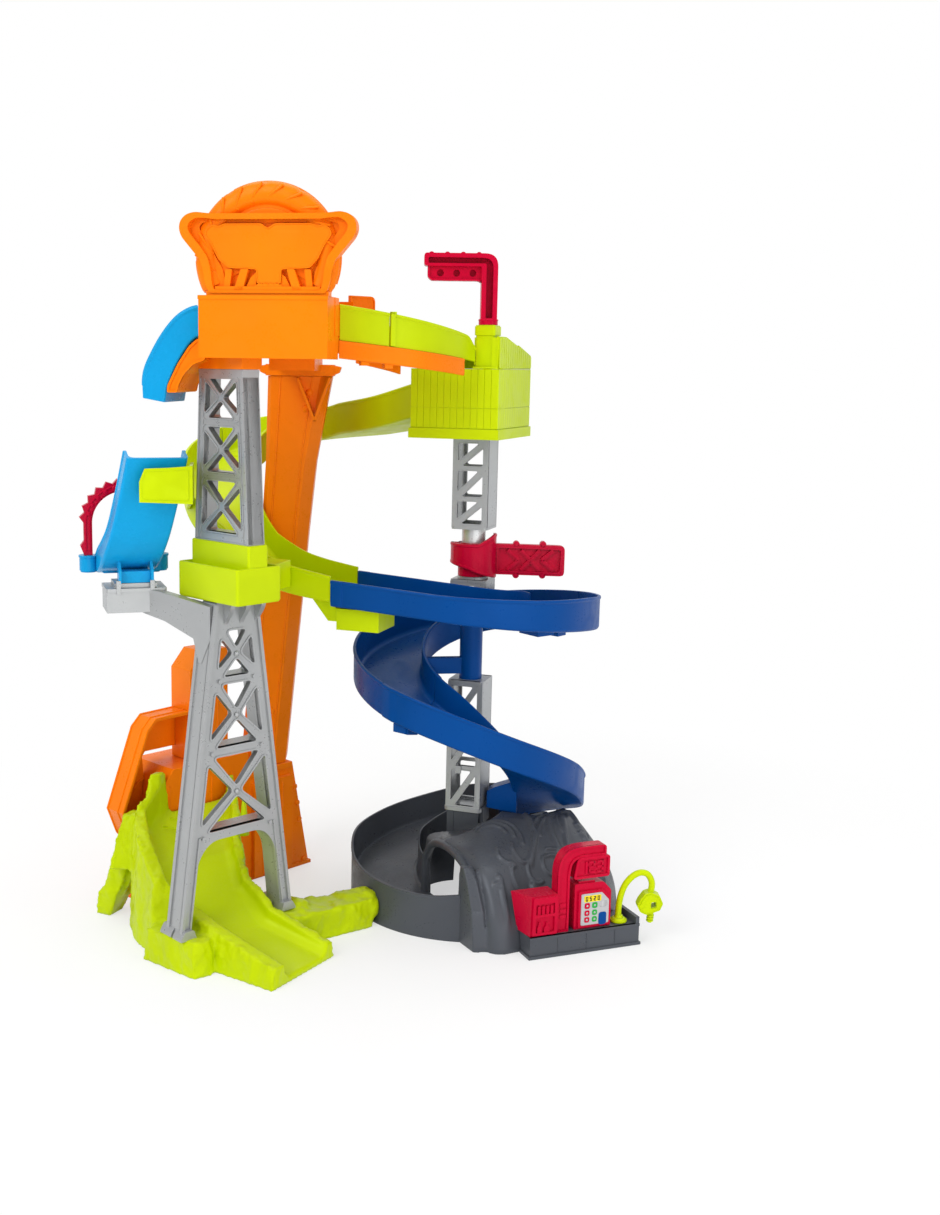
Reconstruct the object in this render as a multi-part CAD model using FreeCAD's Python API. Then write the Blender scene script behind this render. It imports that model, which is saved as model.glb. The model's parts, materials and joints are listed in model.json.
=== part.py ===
import FreeCAD, Part
import math
import os

# Toy race track: a tall tower set with a rock slide, a lime hairpin, a blue spiral
# and a grey channel with a hill and a small fuel station.
# Millimetres, +Z up. The origin is on the floor under the spiral column's axis.
# +X is to the right and +Y goes away from the side that the visitor sees.

Vec = FreeCAD.Vector

# Shared fits
SEAT_GAP = 0.3          # between curved or sloped faces that rest on each other
TURN_GAP = 0.05         # radial clearance of the pieces that turn
SHELL = 2.5             # wall of the moulded boxes

# Car channels
LANE = 70.0             # clear width between the walls
LANE_WALL = 2.5
LANE_FLOOR = 2.5
LANE_OUTER = LANE / 2 + LANE_WALL
SPIRAL_RADIUS = 87.5    # centre line of the spiral and of the hairpin
STEP_DEG = 10.0         # pitch of the stations round a bend
SEAM_GAP = 0.6          # between two channel pieces that follow each other
LEAD_TURN = -21.0       # direction of the straight between hairpin and spiral
LOOP_SPACING = 203.5    # from the hairpin's centre to the column's axis

# Right column
COLUMN_TURN = -20.0
COLUMN_SIDE = 38.0
COLUMN_POST = 6.0
COLUMN_FOOT_Z = 103.0
COLUMN_LOWER_TOP = 246.0
BLUE_POST_R = 12.0
MID_FRAME_Z = 310.0
MID_FRAME_TOP = 354.0
STEEL_TUBE_R = 12.5
UPPER_FRAME_Z = 407.0
PEDESTAL_SIDE = 35.0

# House on the column
HOUSE_TURN = -22.0
HOUSE_X = -6.0
HOUSE_Y = -2.0
HOUSE_WIDE = 92.0
HOUSE_DEEP = 112.0
HOUSE_Z = 502.5
HOUSE_EAVE = HOUSE_Z + 69.5
HOUSE_SKIRT = 11.0
HOUSE_SKIRT_OUT = 1.2
HOUSE_BACK_TOP = HOUSE_EAVE + 14.0
HOUSE_RIDGE = HOUSE_BACK_TOP + 18.0
CHIMNEY_SIDE = 21.5
CHIMNEY_U = 30.0
CHIMNEY_V = -43.5
CHIMNEY_TOP = HOUSE_RIDGE + 11.0
CHIMNEY_CAP = 10.0

# Lever on the chimney
LEVER_SHAFT_R = 4.0
LEVER_POST = 16.0
LEVER_FLANGE_R = 9.5
LEVER_FLANGE_T = 4.5
LEVER_TOP = CHIMNEY_TOP + 69.0
LEVER_REACH = 64.5
LEVER_BEAM = 12.5
LEVER_PANEL = 15.0
LEVER_SHAFT_END = HOUSE_EAVE - 12.0

# Gate arm on the steel tube
GATE_Z = MID_FRAME_TOP + 3.0
GATE_TALL = 35.0
GATE_HUB_WALL = 3.5
GATE_SHIELD_R = 24.0
GATE_SHIELD_WALL = 3.0
GATE_REACH = 96.0
GATE_PADDLE_THICK = 7.0

# Spiral heights: angle in degrees round the column, height of the channel's underside
SPIRAL_HEIGHTS = [
    (249.0, 327.0), (285.0, 320.0), (320.0, 312.5), (351.0, 305.0), (400.0, 294.0),
    (450.0, 281.0), (500.0, 262.0), (545.0, 241.0), (581.0, 222.5), (617.0, 202.0),
    (657.0, 168.0), (689.0, 137.0), (711.0, 112.0), (735.0, 92.0), (760.0, 76.0),
]
SPIRAL_WALL = 35.0
SPIRAL_ENTRY_WALL = 27.0
SPIRAL_LEAD_Z = 334.0
SPIRAL_FIRST_SEAM_DEG = 383.0
SPIRAL_SEAM_DEG = 581.0
SPIRAL_BULGE = 9.0      # how much wider the first turn is on its right side
SPIRAL_END_DEG = 760.0

# Grey channel: angle, height of the floor's top side, height of the rim
GREY_HEIGHTS = [
    (42.0, 64.0, 98.0), (75.0, 59.0, 93.0), (90.0, 56.0, 88.0), (113.0, 47.0, 78.0),
    (141.0, 38.0, 70.0), (170.0, 31.0, 65.0), (184.0, 27.0, 57.0), (207.0, 20.0, 50.0),
    (227.0, 15.0, 47.0), (248.0, 12.0, 46.0), (264.0, 10.0, 50.0),
]
GREY_SKIRT_START = 101.0
GREY_INNER_END = 217.0      # where the inner wall stops, at the tunnel's mouth

# Hairpin heights: run along the centre line, height of the channel's underside
HAIRPIN_HEIGHTS = [
    (0.0, 521.0), (70.0, 507.0), (141.0, 497.0), (266.0, 477.0), (330.0, 455.0),
    (365.0, 437.0), (412.0, 402.0), (450.0, 374.0), (494.0, 350.0), (520.0, 343.0),
    (560.0, 338.0),
]
HAIRPIN_WALL = 35.0
HAIRPIN_EXIT_WALL = 27.0
HAIRPIN_HEADING = 124.4
HAIRPIN_STRAIGHT = 141.0
HAIRPIN_EXIT = 93.0
HAIRPIN_SEAM = 300.0

# Top deck
DECK_CENTRE = (-160.7, 3.0)
DECK_INNER_R = 94.0
DECK_OUTER_R = 170.0
DECK_START_DEG = -88.0
DECK_END_DEG = -24.0
DECK_START_Z = 598.0    # a step below the platform's floor
DECK_END_Z = HOUSE_EAVE + 7.0
DECK_THICK = 16.0
RAIL_THICK = 3.0
RAIL_INSET = 2.0
RAIL_START_TALL = 33.0
RAIL_END_TALL = 22.0
RAIL_SEAM_DEG = -66.0
GUARD_END_DEG = -57.0
GUARD_TALL = 46.0

# Left tower
TOWER_X = -240.5
TOWER_Y = -157.0
TRUSS_TURN = -45.0
FRAME_TURN = 42.0
FOOT_Z = 34.0
FRAME_TOP = 354.0
FRAME_FOOT_HALF = 65.0
FRAME_TOP_HALF = 23.0
FRAME_DEEP = 22.0
FRAME_LEG = 10.0
FRAME_BARS = (124.0, 133.0, 205.0, 214.0, 275.0, 282.0, 326.0)
FRAME_BRACE = 7.0
BRACE_DEEP = 6.0
TRUSS_Z = FRAME_TOP + 42.0
TRUSS_TOP = TRUSS_Z + 176.0
TRUSS_FOOT_WIDE = 80.0
TRUSS_HEAD_WIDE = 62.0
TRUSS_DEEP = 18.0
TRUSS_POST = 9.0
TRUSS_BRACE = 5.0
TRUSS_BARS = (22.0, 70.0, 78.0, 120.0, 128.0, 166.0)
COLLAR_STEP_Z = FRAME_TOP + 34.5
COLLAR_TOP = COLLAR_STEP_Z + 20.5
COLLAR_LONG = 89.0
COLLAR_DEEP = 53.0
COLLAR_LIP = 3.0

# Top platform
PLATFORM_TURN = -10.0
PLATFORM_X = -205.5
PLATFORM_Y = -203.0
PLATFORM_WIDE = 118.0
PLATFORM_DEEP = 118.0
PLATFORM_Z = TRUSS_TOP + 7.0
PLATFORM_TOP = PLATFORM_Z + 55.0
PLATFORM_FLOOR_Z = PLATFORM_Z + 20.0
PLATFORM_FLOOR = 4.0
PLATFORM_RIGHT_WALL = 46.0
PLATFORM_LEFT_WALL = 18.0

# Sign
SIGN_LOCAL_X = 3.0
SIGN_LOCAL_Y = 3.5
SIGN_Z = PLATFORM_TOP + 2.0
SIGN_TYRE_R = 65.0
SIGN_TYRE_Z = SIGN_Z + 31.5
SIGN_TYRE_X = -2.5
SIGN_DEEP = 15.0
SIGN_SKIN = 2.5
SIGN_HALF = 80.5
SIGN_PLATE_TOP = SIGN_Z + 69.0

# Light-blue top ramp: run, underside above the platform's floor, pitch, wall
RAMP_HALF = 31.0
TOP_RAMP_Y = 51.0
TOP_RAMP = [
    (0.0, 0.0, 0.0, 27.0), (8.0, -1.5, -20.0, 27.0), (16.0, -8.0, -40.0, 26.0),
    (27.0, -24.0, -58.0, 26.0), (37.0, -44.0, -62.0, 26.0), (39.0, -61.0, -84.0, 20.0),
]
BRACKET_DROP = 52.0
# Landing ramp: centre line x, y, underside, pitch, wall
LANDING_HEADING = 107.0
LANDING_HALF = 28.5
LANDING_RAMP = [
    (-304.5, -172.0, 487.0, -76.0, 24.0), (-313.0, -165.0, 452.0, -73.0, 23.0),
    (-323.5, -155.0, 415.0, -69.0, 22.0), (-332.5, -145.0, 392.0, -52.0, 22.0),
    (-340.0, -130.0, 379.0, -28.0, 21.0), (-348.0, -106.0, 371.0, -8.0, 18.0),
    (-351.5, -94.0, 370.0, 0.0, 18.0),
]
ARCH_X = -350.0
ARCH_Y = -102.0
ARCH_FOOT = 34.5
ARCH_FOOT_Z = 376.0
ARCH_TOP = 460.0
ARCH_PIN_R = 3.5
ARM_HEAD_X = -336.0
ARM_HEAD_Y = -128.0
ARM_BOX_Z = 338.0
ARM_BOX_TOP = 366.0

# Orange base and rear column
BASE_CORNER = (-330.0, -53.0)
BASE_TURN = 45.2
BASE_LONG = 217.0
BASE_DEEP = 68.0
BASE_TALL = 127.0
BASE_STEP_TALL = 150.0
BASE_STEP_END = 126.0
BASE_TOWER_START = 56.0
BASE_TOWER_END = 107.0
BASE_TOWER_TOP = 269.0
# Rear column: centre x, y, height, width
REAR_DEEP = 46.0
REAR_STATIONS = [
    (-228.0, 90.0, 127.3, 50.0), (-202.5, 71.0, 395.0, 51.0), (-196.0, 66.0, 470.0, 54.0),
    (-186.0, 58.0, PLATFORM_Z - 17.0, 68.0),
]

# Rock slide: west edge x, y and height, floor, east edge x, y and height
SLIDE_SECTIONS = [
    (-332.0, -58.0, 142.0, 107.0, -256.0, 17.0, 132.0),
    (-347.0, -92.0, 122.0, 94.0, -247.0, -18.0, 112.0),
    (-336.0, -129.0, 104.0, 76.0, -239.0, -73.0, 88.0),
    (-314.0, -164.0, 72.0, 49.0, -225.0, -113.0, 64.0),
    (-290.0, -168.0, 53.0, 37.0, -210.0, -126.0, 53.0),
    (-261.0, -191.0, 42.0, 25.0, -197.0, -140.0, 42.0),
    (-190.0, -241.0, 20.0, 6.0, -139.0, -165.0, 16.0),
]
WEST_WALL = 14.0
EAST_WALL = 9.0
WALL_SPREAD = 5.0
PEDESTALS = [
    ([(-324, -176), (-268, -222), (-251, -210), (-255, -180), (-300, -150)],
     [(-321, -178), (-268, -218), (-254, -208), (-256, -180), (-300, -156)]),
    ([(-224, -116), (-196, -150), (-164, -134), (-160, -90), (-196, -80)],
     [(-219, -116), (-196, -142), (-169, -128), (-168, -98), (-196, -88)]),
]
BRIDGE = [(-190, -150), (-140, -117), (-101, -90), (-100, -66), (-118, -58), (-165, -84),
          (-205, -120)]
BRIDGE_TOP = 31.0
# Splayed foot beside the slide: height and plan
SPLAYED_FOOT = [
    (0.0, [(-390, -50), (-374, -56), (-366, -42), (-382, -36)]),
    (50.0, [(-374, -68), (-348, -76), (-344, -58), (-364, -54)]),
    (112.0, [(-362, -66), (-332, -76), (-330, -56), (-352, -56)]),
]

# Hill over the grey channel's end: height and the plan points, from the back left round by the mouth
# and the front to the back right
HILL_LEVELS = [
    (0.0, [(-46, -14), (-34, -62), (12, -148), (44, -148), (64, -129), (120, -118), (146, -98),
           (159, -50), (157, -3)]),
    (25.0, [(-46, -14), (-34, -62), (12, -143), (42, -143), (62, -124), (118, -113), (144, -93),
            (157, -46), (155, -3)]),
    (48.0, [(-46, -14), (-34, -62), (10, -134), (38, -132), (60, -113), (112, -103), (138, -82),
            (151, -40), (149, -3)]),
    (64.0, [(-45, -14), (-33, -62), (7, -126), (36, -121), (58, -101), (107, -89), (131, -69),
            (142, -35), (140, -3)]),
    (76.0, [(-40, -14), (-31, -62), (4, -116), (35, -110), (57, -91), (102, -79), (125, -60),
            (134, -31), (132, -3)]),
    (86.0, [(-8, -30), (-26, -62), (1, -101), (34, -97), (55, -80), (98, -66), (118, -51),
            (126, -26), (124, -3)]),
    (92.0, [(12, -34), (-8, -60), (6, -86), (34, -83), (55, -70), (96, -58), (112, -44),
            (120, -24), (118, -3)]),
    (97.0, [(26, -28), (14, -48), (16, -64), (36, -64), (55, -56), (95, -50), (107, -38),
            (112, -22), (111, -3)]),
    (101.0, [(36, -18), (32, -28), (34, -38), (44, -42), (56, -44), (92, -42), (104, -34),
             (106, -20), (105, -3)]),
]
HILL_SKIN = 3.0
HILL_TOP = 101.0
# Tunnel mouth: along the slanting mouth from its back end, and up
MOUTH_START = (-45.0, -26.0)
MOUTH_END = (0.0, -122.0)
MOUTH_ARCH = [
    (4, -2), (4, 50), (10, 64), (20, 74), (38, 80), (62, 81), (88, 75), (100, 62), (107, 40),
    (110, 20), (111, -2),
]
# Buttress beside the mouth: height and plan
BUTTRESS = [
    (0.0, [(-15, -121), (0, -148), (12, -147), (14, -121)]),
    (40.0, [(-15, -121), (-2, -142), (8, -141), (10, -121)]),
    (66.0, [(-15, -121), (-6, -132), (2, -131), (5, -121)]),
    (80.0, [(-13, -121), (-10, -124.5), (-6, -124), (-2, -121)]),
]
CORE_X = (-4.0, 18.0)
PEDESTAL_Z = 72.0

# Fuel station
TRAY_CORNER = (54.0, -165.0)
TRAY_TURN = 20.4
TRAY_LONG = 122.0
TRAY_DEEP = 40.0
TRAY_TALL = 22.0
POST_TALL = 86.0
NECK_X = 148.0
NECK_Y = -117.0
NECK_R = 3.2
NECK_TOP = 79.0
NECK_REACH = 30.0
NECK_PIN_R = 3.0



def turned(shape, degrees, x=0.0, y=0.0, z=0.0):
    """A copy turned about +Z at the origin and then moved."""
    copy = shape.copy()
    copy.rotate(Vec(0, 0, 0), Vec(0, 0, 1), degrees)
    copy.translate(Vec(x, y, z))
    return copy


def block(x0, x1, y0, y1, z0, z1):
    """A box between two corners."""
    return Part.makeBox(x1 - x0, y1 - y0, z1 - z0, Vec(x0, y0, z0))


def closed(points):
    """A closed wire through the points."""
    return Part.makePolygon(list(points) + [points[0]])


def prism(outline, z0, z1):
    """A plan outline raised from z0 to z1."""
    wire = closed([Vec(x, y, z0) for x, y in outline])
    return Part.Face(wire).extrude(Vec(0, 0, z1 - z0))


def slab(outline, y0, y1):
    """An outline in X and Z, made thick along Y."""
    wire = closed([Vec(x, y0, z) for x, z in outline])
    return Part.Face(wire).extrude(Vec(0, y1 - y0, 0))


def end_plate(outline, x0, x1):
    """An outline in Y and Z, made thick along X."""
    wire = closed([Vec(x0, y, z) for y, z in outline])
    return Part.Face(wire).extrude(Vec(x1 - x0, 0, 0))


def loft(wires):
    """A solid through the wires, with straight lines between them."""
    return Part.makeLoft(wires, True, True)


def fused(shapes):
    """One shape from several that touch."""
    first = shapes[0]
    if len(shapes) > 1:
        first = first.fuse(shapes[1:])
    return first.removeSplitter()


def bar(start, end, wide, y0, y1):
    """A straight brace in an XZ panel."""
    dx = end[0] - start[0]
    dz = end[1] - start[1]
    run = math.hypot(dx, dz)
    nx = -dz / run * wide / 2
    nz = dx / run * wide / 2
    outline = [
        (start[0] + nx, start[1] + nz),
        (end[0] + nx, end[1] + nz),
        (end[0] - nx, end[1] - nz),
        (start[0] - nx, start[1] - nz),
    ]
    return slab(outline, y0, y1)


def inset(outline, step):
    """The outline with every side moved inwards. The points go round counter-clockwise or back."""
    count = len(outline)
    area = 0.0
    for i in range(count):
        x0, y0 = outline[i]
        x1, y1 = outline[(i + 1) % count]
        area += x0 * y1 - x1 * y0
    sign = 1.0 if area > 0 else -1.0
    moved = []
    for i in range(count):
        ax, ay = outline[i - 1]
        bx, by = outline[i]
        cx, cy = outline[(i + 1) % count]
        first = math.atan2(by - ay, bx - ax) + sign * math.pi / 2
        second = math.atan2(cy - by, cx - bx) + sign * math.pi / 2
        half = (second - first) / 2
        half = (half + math.pi / 2) % math.pi - math.pi / 2
        middle = first + half
        reach = step / max(math.cos(half), 0.3)
        moved.append((bx + math.cos(middle) * reach, by + math.sin(middle) * reach))
    return moved


def height_at(table, where, column=1):
    """A smooth height between the rows of a table."""
    rows = table
    last = len(rows) - 1
    index = 0
    while index < last - 1 and where > rows[index + 1][0]:
        index += 1

    def slope(i):
        low = max(i - 1, 0)
        high = min(i + 1, last)
        return (rows[high][column] - rows[low][column]) / (rows[high][0] - rows[low][0])

    span = rows[index + 1][0] - rows[index][0]
    t = min(max((where - rows[index][0]) / span, 0.0), 1.0)
    a = rows[index][column]
    b = rows[index + 1][column]
    ma = slope(index) * span
    mb = slope(index + 1) * span
    return (
        (2 * t ** 3 - 3 * t ** 2 + 1) * a
        + (t ** 3 - 2 * t ** 2 + t) * ma
        + (3 * t ** 2 - 2 * t ** 3) * b
        + (t ** 3 - t ** 2) * mb
    )


def across(x, y, heading, offset):
    """The point at an offset to the left of a heading."""
    angle = math.radians(heading)
    return x - math.sin(angle) * offset, y + math.cos(angle) * offset


def channel_wire(x, y, heading, z, left_tall, right_tall):
    """The U section of a car channel. z is its underside."""
    inner = LANE / 2
    corners = [
        (-LANE_OUTER, 0.0), (LANE_OUTER, 0.0), (LANE_OUTER, left_tall), (inner, left_tall),
        (inner, LANE_FLOOR), (-inner, LANE_FLOOR), (-inner, right_tall), (-LANE_OUTER, right_tall),
    ]
    points = []
    for offset, up in corners:
        px, py = across(x, y, heading, offset)
        points.append(Vec(px, py, z + up))
    return closed(points)


def steps(start, end, pitch):
    """Evenly spaced values from start to end, both included."""
    count = max(1, int(math.ceil(abs(end - start) / pitch)))
    return [start + (end - start) * i / count for i in range(count + 1)]


def direction(degrees):
    return math.cos(math.radians(degrees)), math.sin(math.radians(degrees))


LEAD = direction(LEAD_TURN)
LOOP_X = -LOOP_SPACING * LEAD[0]
LOOP_Y = -LOOP_SPACING * LEAD[1]
LEAD_DEG = 270.0 + LEAD_TURN
BLUE_LEAD = LOOP_SPACING - HAIRPIN_EXIT - SEAM_GAP
FIRST_DEG = HAIRPIN_HEADING - 90.0
BEND_RUN = math.radians(LEAD_DEG - FIRST_DEG) * SPIRAL_RADIUS
HAIRPIN_RUN = HAIRPIN_STRAIGHT + BEND_RUN + HAIRPIN_EXIT


def hairpin_place(run):
    """Place and heading on the hairpin's centre line."""
    out = direction(FIRST_DEG)
    back = direction(HAIRPIN_HEADING)
    if run <= HAIRPIN_STRAIGHT:
        left = HAIRPIN_STRAIGHT - run
        x = LOOP_X + SPIRAL_RADIUS * out[0] - left * back[0]
        y = LOOP_Y + SPIRAL_RADIUS * out[1] - left * back[1]
        return x, y, HAIRPIN_HEADING
    if run <= HAIRPIN_STRAIGHT + BEND_RUN:
        angle = FIRST_DEG + math.degrees((run - HAIRPIN_STRAIGHT) / SPIRAL_RADIUS)
        out = direction(angle)
        return LOOP_X + SPIRAL_RADIUS * out[0], LOOP_Y + SPIRAL_RADIUS * out[1], angle + 90.0
    past = run - HAIRPIN_STRAIGHT - BEND_RUN
    out = direction(LEAD_DEG)
    x = LOOP_X + SPIRAL_RADIUS * out[0] + past * LEAD[0]
    y = LOOP_Y + SPIRAL_RADIUS * out[1] + past * LEAD[1]
    return x, y, LEAD_TURN


def hairpin_wall(run):
    """The wall gets lower on the last straight, to meet the spiral's wall."""
    start = HAIRPIN_STRAIGHT + BEND_RUN
    share = min(max((run - start + 40.0) / (HAIRPIN_EXIT + 40.0), 0.0), 1.0)
    return HAIRPIN_WALL + (HAIRPIN_EXIT_WALL - HAIRPIN_WALL) * share


def hairpin_piece(start, end):
    """A stretch of the hairpin channel."""
    bend_in = HAIRPIN_STRAIGHT
    bend_out = HAIRPIN_STRAIGHT + BEND_RUN
    pitch = math.radians(STEP_DEG) * SPIRAL_RADIUS
    runs = []
    for low, high, gap in ((start, bend_in, 35.0), (bend_in, bend_out, pitch), (bend_out, end, 24.0)):
        low = max(low, start)
        high = min(high, end)
        if high - low > 0.5:
            runs += steps(low, high, gap)
    wires = []
    previous = None
    for run in runs:
        if previous is not None and run - previous < 0.5:
            continue
        previous = run
        x, y, heading = hairpin_place(run)
        tall = hairpin_wall(run)
        wires.append(channel_wire(x, y, heading, height_at(HAIRPIN_HEIGHTS, run), tall, tall))
    return loft(wires)


def house_place(shape):
    return turned(shape, HOUSE_TURN, HOUSE_X, HOUSE_Y)


def make_upper_hairpin():
    """Lime channel from the house to the seam in the bend, cut along the house wall."""
    channel = hairpin_piece(-60.0, HAIRPIN_SEAM - SEAM_GAP / 2)
    keep_out = block(
        -HOUSE_WIDE / 2 - HOUSE_SKIRT_OUT - SEAT_GAP, HOUSE_WIDE, -HOUSE_DEEP, HOUSE_DEEP,
        HOUSE_Z - 50, CHIMNEY_TOP)
    return channel.cut(house_place(keep_out))


def make_lower_hairpin():
    """Lime channel from the seam to the joint, with the joint's block under its end."""
    channel = hairpin_piece(HAIRPIN_SEAM + SEAM_GAP / 2, HAIRPIN_RUN)
    x, y, heading = hairpin_place(HAIRPIN_RUN)
    top = spiral_lead_height(48.0) - SEAT_GAP
    end_z = height_at(HAIRPIN_HEIGHTS, HAIRPIN_RUN)
    shelf = block(2.0, 48.0, -26.0, 20.0, top - 22.0, top)
    web_outline = [(-26.0, end_z + 1.0), (-8.0, top - 14.0), (2.0, top - 14.0), (2.0, top), (0.0, top),
                   (0.0, end_z + 1.0)]
    web = slab(web_outline, -24.0, 18.0)
    lug = block(-0.5, 3.0, -24.0, 18.0, top - 14.0, top)
    parts = [turned(piece, heading, x, y) for piece in (shelf, web, lug)]
    return fused([channel] + parts)


def spiral_lead_height(run):
    """Underside of the spiral's straight, counted from the joint."""
    share = min(max(run / BLUE_LEAD, 0.0), 1.0)
    return SPIRAL_LEAD_Z + (SPIRAL_HEIGHTS[0][1] - SPIRAL_LEAD_Z) * share


def spiral_wall(angle):
    share = min(max((angle - SPIRAL_HEIGHTS[0][0]) / 80.0, 0.0), 1.0)
    return SPIRAL_ENTRY_WALL + (SPIRAL_WALL - SPIRAL_ENTRY_WALL) * share


def spiral_reach(angle):
    """Radius of the centre line, wider on the right side of the first turn."""
    first_turn = 270.0 < angle < 450.0
    return SPIRAL_RADIUS + SPIRAL_BULGE * max(direction(angle)[0], 0.0) * first_turn


def spiral_wire(angle):
    radius = spiral_reach(angle)
    out = direction(angle)
    z = height_at(SPIRAL_HEIGHTS, angle)
    tall = spiral_wall(angle)
    return channel_wire(radius * out[0], radius * out[1], angle + 90.0, z, tall, tall)


def make_spiral_entry():
    """Blue channel from the joint round the front of the column to its first seam."""
    out = direction(LEAD_DEG)
    wires = []
    for run in steps(0.0, BLUE_LEAD, 40.0)[:-1]:
        back = BLUE_LEAD - run
        x = SPIRAL_RADIUS * out[0] - back * LEAD[0]
        y = SPIRAL_RADIUS * out[1] - back * LEAD[1]
        tall = SPIRAL_ENTRY_WALL
        wires.append(channel_wire(x, y, LEAD_TURN, spiral_lead_height(run), tall, tall))
    for angle in steps(LEAD_DEG, SPIRAL_FIRST_SEAM_DEG, STEP_DEG):
        wires.append(spiral_wire(angle))
    return loft(wires)


def make_upper_spiral():
    """Blue channel from the first seam round the back of the column to the second."""
    gap_deg = math.degrees(SEAM_GAP / SPIRAL_RADIUS)
    return loft([spiral_wire(a) for a in steps(SPIRAL_FIRST_SEAM_DEG + gap_deg, SPIRAL_SEAM_DEG, STEP_DEG)])


def make_lower_spiral():
    """Blue channel from its seam to the grey channel, with its seam clip and column tab."""
    gap_deg = math.degrees(SEAM_GAP / SPIRAL_RADIUS)
    wires = [spiral_wire(a) for a in steps(SPIRAL_SEAM_DEG + gap_deg, SPIRAL_END_DEG, STEP_DEG)]
    channel = loft(wires)
    clip_deg = SPIRAL_SEAM_DEG + 8.0
    clip_z = height_at(SPIRAL_HEIGHTS, clip_deg)
    out = direction(clip_deg)
    clip = block(-22.0, 22.0, -9.0, 9.0, clip_z - 6.0, clip_z + 1.0)
    clip = turned(clip, clip_deg, SPIRAL_RADIUS * out[0], SPIRAL_RADIUS * out[1])
    tab_deg = 709.0
    tab_z = height_at(SPIRAL_HEIGHTS, tab_deg)
    inner = SPIRAL_RADIUS - LANE_OUTER
    reach = COLUMN_SIDE / 2 + SEAT_GAP + 2.5
    tab = block(reach, inner + 1.5, -9.0, 9.0, tab_z - 3.0, tab_z + 14.0)
    tab = turned(tab, tab_deg)
    return fused([channel, clip, tab])


def column_frame(z0, z1, bays):
    """A square open mast with a diagonal in each bay, seen through on all four sides."""
    side = COLUMN_SIDE
    half = side / 2
    inner = half - COLUMN_POST
    mast = block(-half, half, -half, half, z0, z1)
    core = block(-inner, inner, -inner, inner, z0 - 1, z1 + 1)
    mast = mast.cut(core)
    tall = (z1 - z0) / bays
    braces = []
    for bay in range(bays):
        low = z0 + bay * tall + COLUMN_POST / 2
        high = z0 + (bay + 1) * tall - COLUMN_POST / 2
        if bay == 0:
            low = z0 + COLUMN_POST
        if bay == bays - 1:
            high = z1 - COLUMN_POST
        window = block(-inner, inner, -side, side, low, high)
        side_window = block(-side, side, -inner, inner, low, high)
        mast = mast.cut(window).cut(side_window)
        skin = COLUMN_POST / 2
        for y in (-half + COLUMN_POST / 2, half - COLUMN_POST / 2):
            brace = bar((-inner - 1, low - 1), (inner + 1, high + 1), 3.0, y - skin / 2, y + skin / 2)
            braces.append(brace)
    mast = fused([mast] + braces)
    limit = block(-half, half, -half, half, z0, z1)
    mast = mast.common(limit)
    return turned(mast, COLUMN_TURN)


def capped_frame(z0, z1, bays):
    """A mast with a closed plate at both ends, which the tubes bear on."""
    half = COLUMN_SIDE / 2
    frame = column_frame(z0, z1, bays)
    plates = [block(-half, half, -half, half, z0, z0 + LANE_FLOOR),
              block(-half, half, -half, half, z1 - LANE_FLOOR, z1)]
    return fused([frame] + [turned(plate, COLUMN_TURN) for plate in plates])


def make_spiral_post():
    """Blue tube in the middle of the column, with the arm that carries the spiral."""
    tube = Part.makeCylinder(BLUE_POST_R, MID_FRAME_Z - COLUMN_LOWER_TOP, Vec(0, 0, COLUMN_LOWER_TOP))
    arm_deg = 548.0
    arm_z = height_at(SPIRAL_HEIGHTS, arm_deg) + 12.0
    inner = SPIRAL_RADIUS - LANE_OUTER
    arm = block(BLUE_POST_R - 3.0, inner - SEAT_GAP * 2, -5.0, 5.0, arm_z, arm_z + 17.0)
    return fused([tube, turned(arm, arm_deg)])


def make_gate_arm():
    """Red arm that turns on the steel tube: hub, curved shield and paddle."""
    hub_in = STEEL_TUBE_R + TURN_GAP
    hub_out = hub_in + GATE_HUB_WALL
    z1 = GATE_Z + GATE_TALL
    hub = Part.makeCylinder(hub_out, GATE_TALL, Vec(0, 0, GATE_Z))
    shield_low = GATE_Z - 4.0
    shield = Part.makeCylinder(GATE_SHIELD_R, GATE_TALL + 14.0, Vec(0, 0, shield_low))
    shield = shield.cut(Part.makeCylinder(
        GATE_SHIELD_R - GATE_SHIELD_WALL, GATE_TALL + 16.0, Vec(0, 0, shield_low - 1)))
    outline = [
        (-GATE_SHIELD_R - 1, GATE_Z + 13.0), (-8.0, GATE_Z + 9.0), (GATE_SHIELD_R + 1, GATE_Z - 2.0),
        (GATE_SHIELD_R + 1, z1 + 10.0), (4.0, z1), (-GATE_SHIELD_R - 1, z1)]
    shield = shield.common(slab(outline, -GATE_SHIELD_R - 1, 4.0))
    web = block(-GATE_SHIELD_R + 1.0, GATE_SHIELD_R - 1.0, -3.0, 3.0, GATE_Z + 13.0, z1)
    arm = block(hub_in, GATE_SHIELD_R, -GATE_PADDLE_THICK / 2, GATE_PADDLE_THICK / 2, GATE_Z + 4, z1 - 4)
    paddle = make_paddle()
    whole = fused([hub, shield, web, arm, paddle])
    return whole.cut(Part.makeCylinder(hub_in, GATE_TALL + 20.0, Vec(0, 0, shield_low - 2)))


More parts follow.
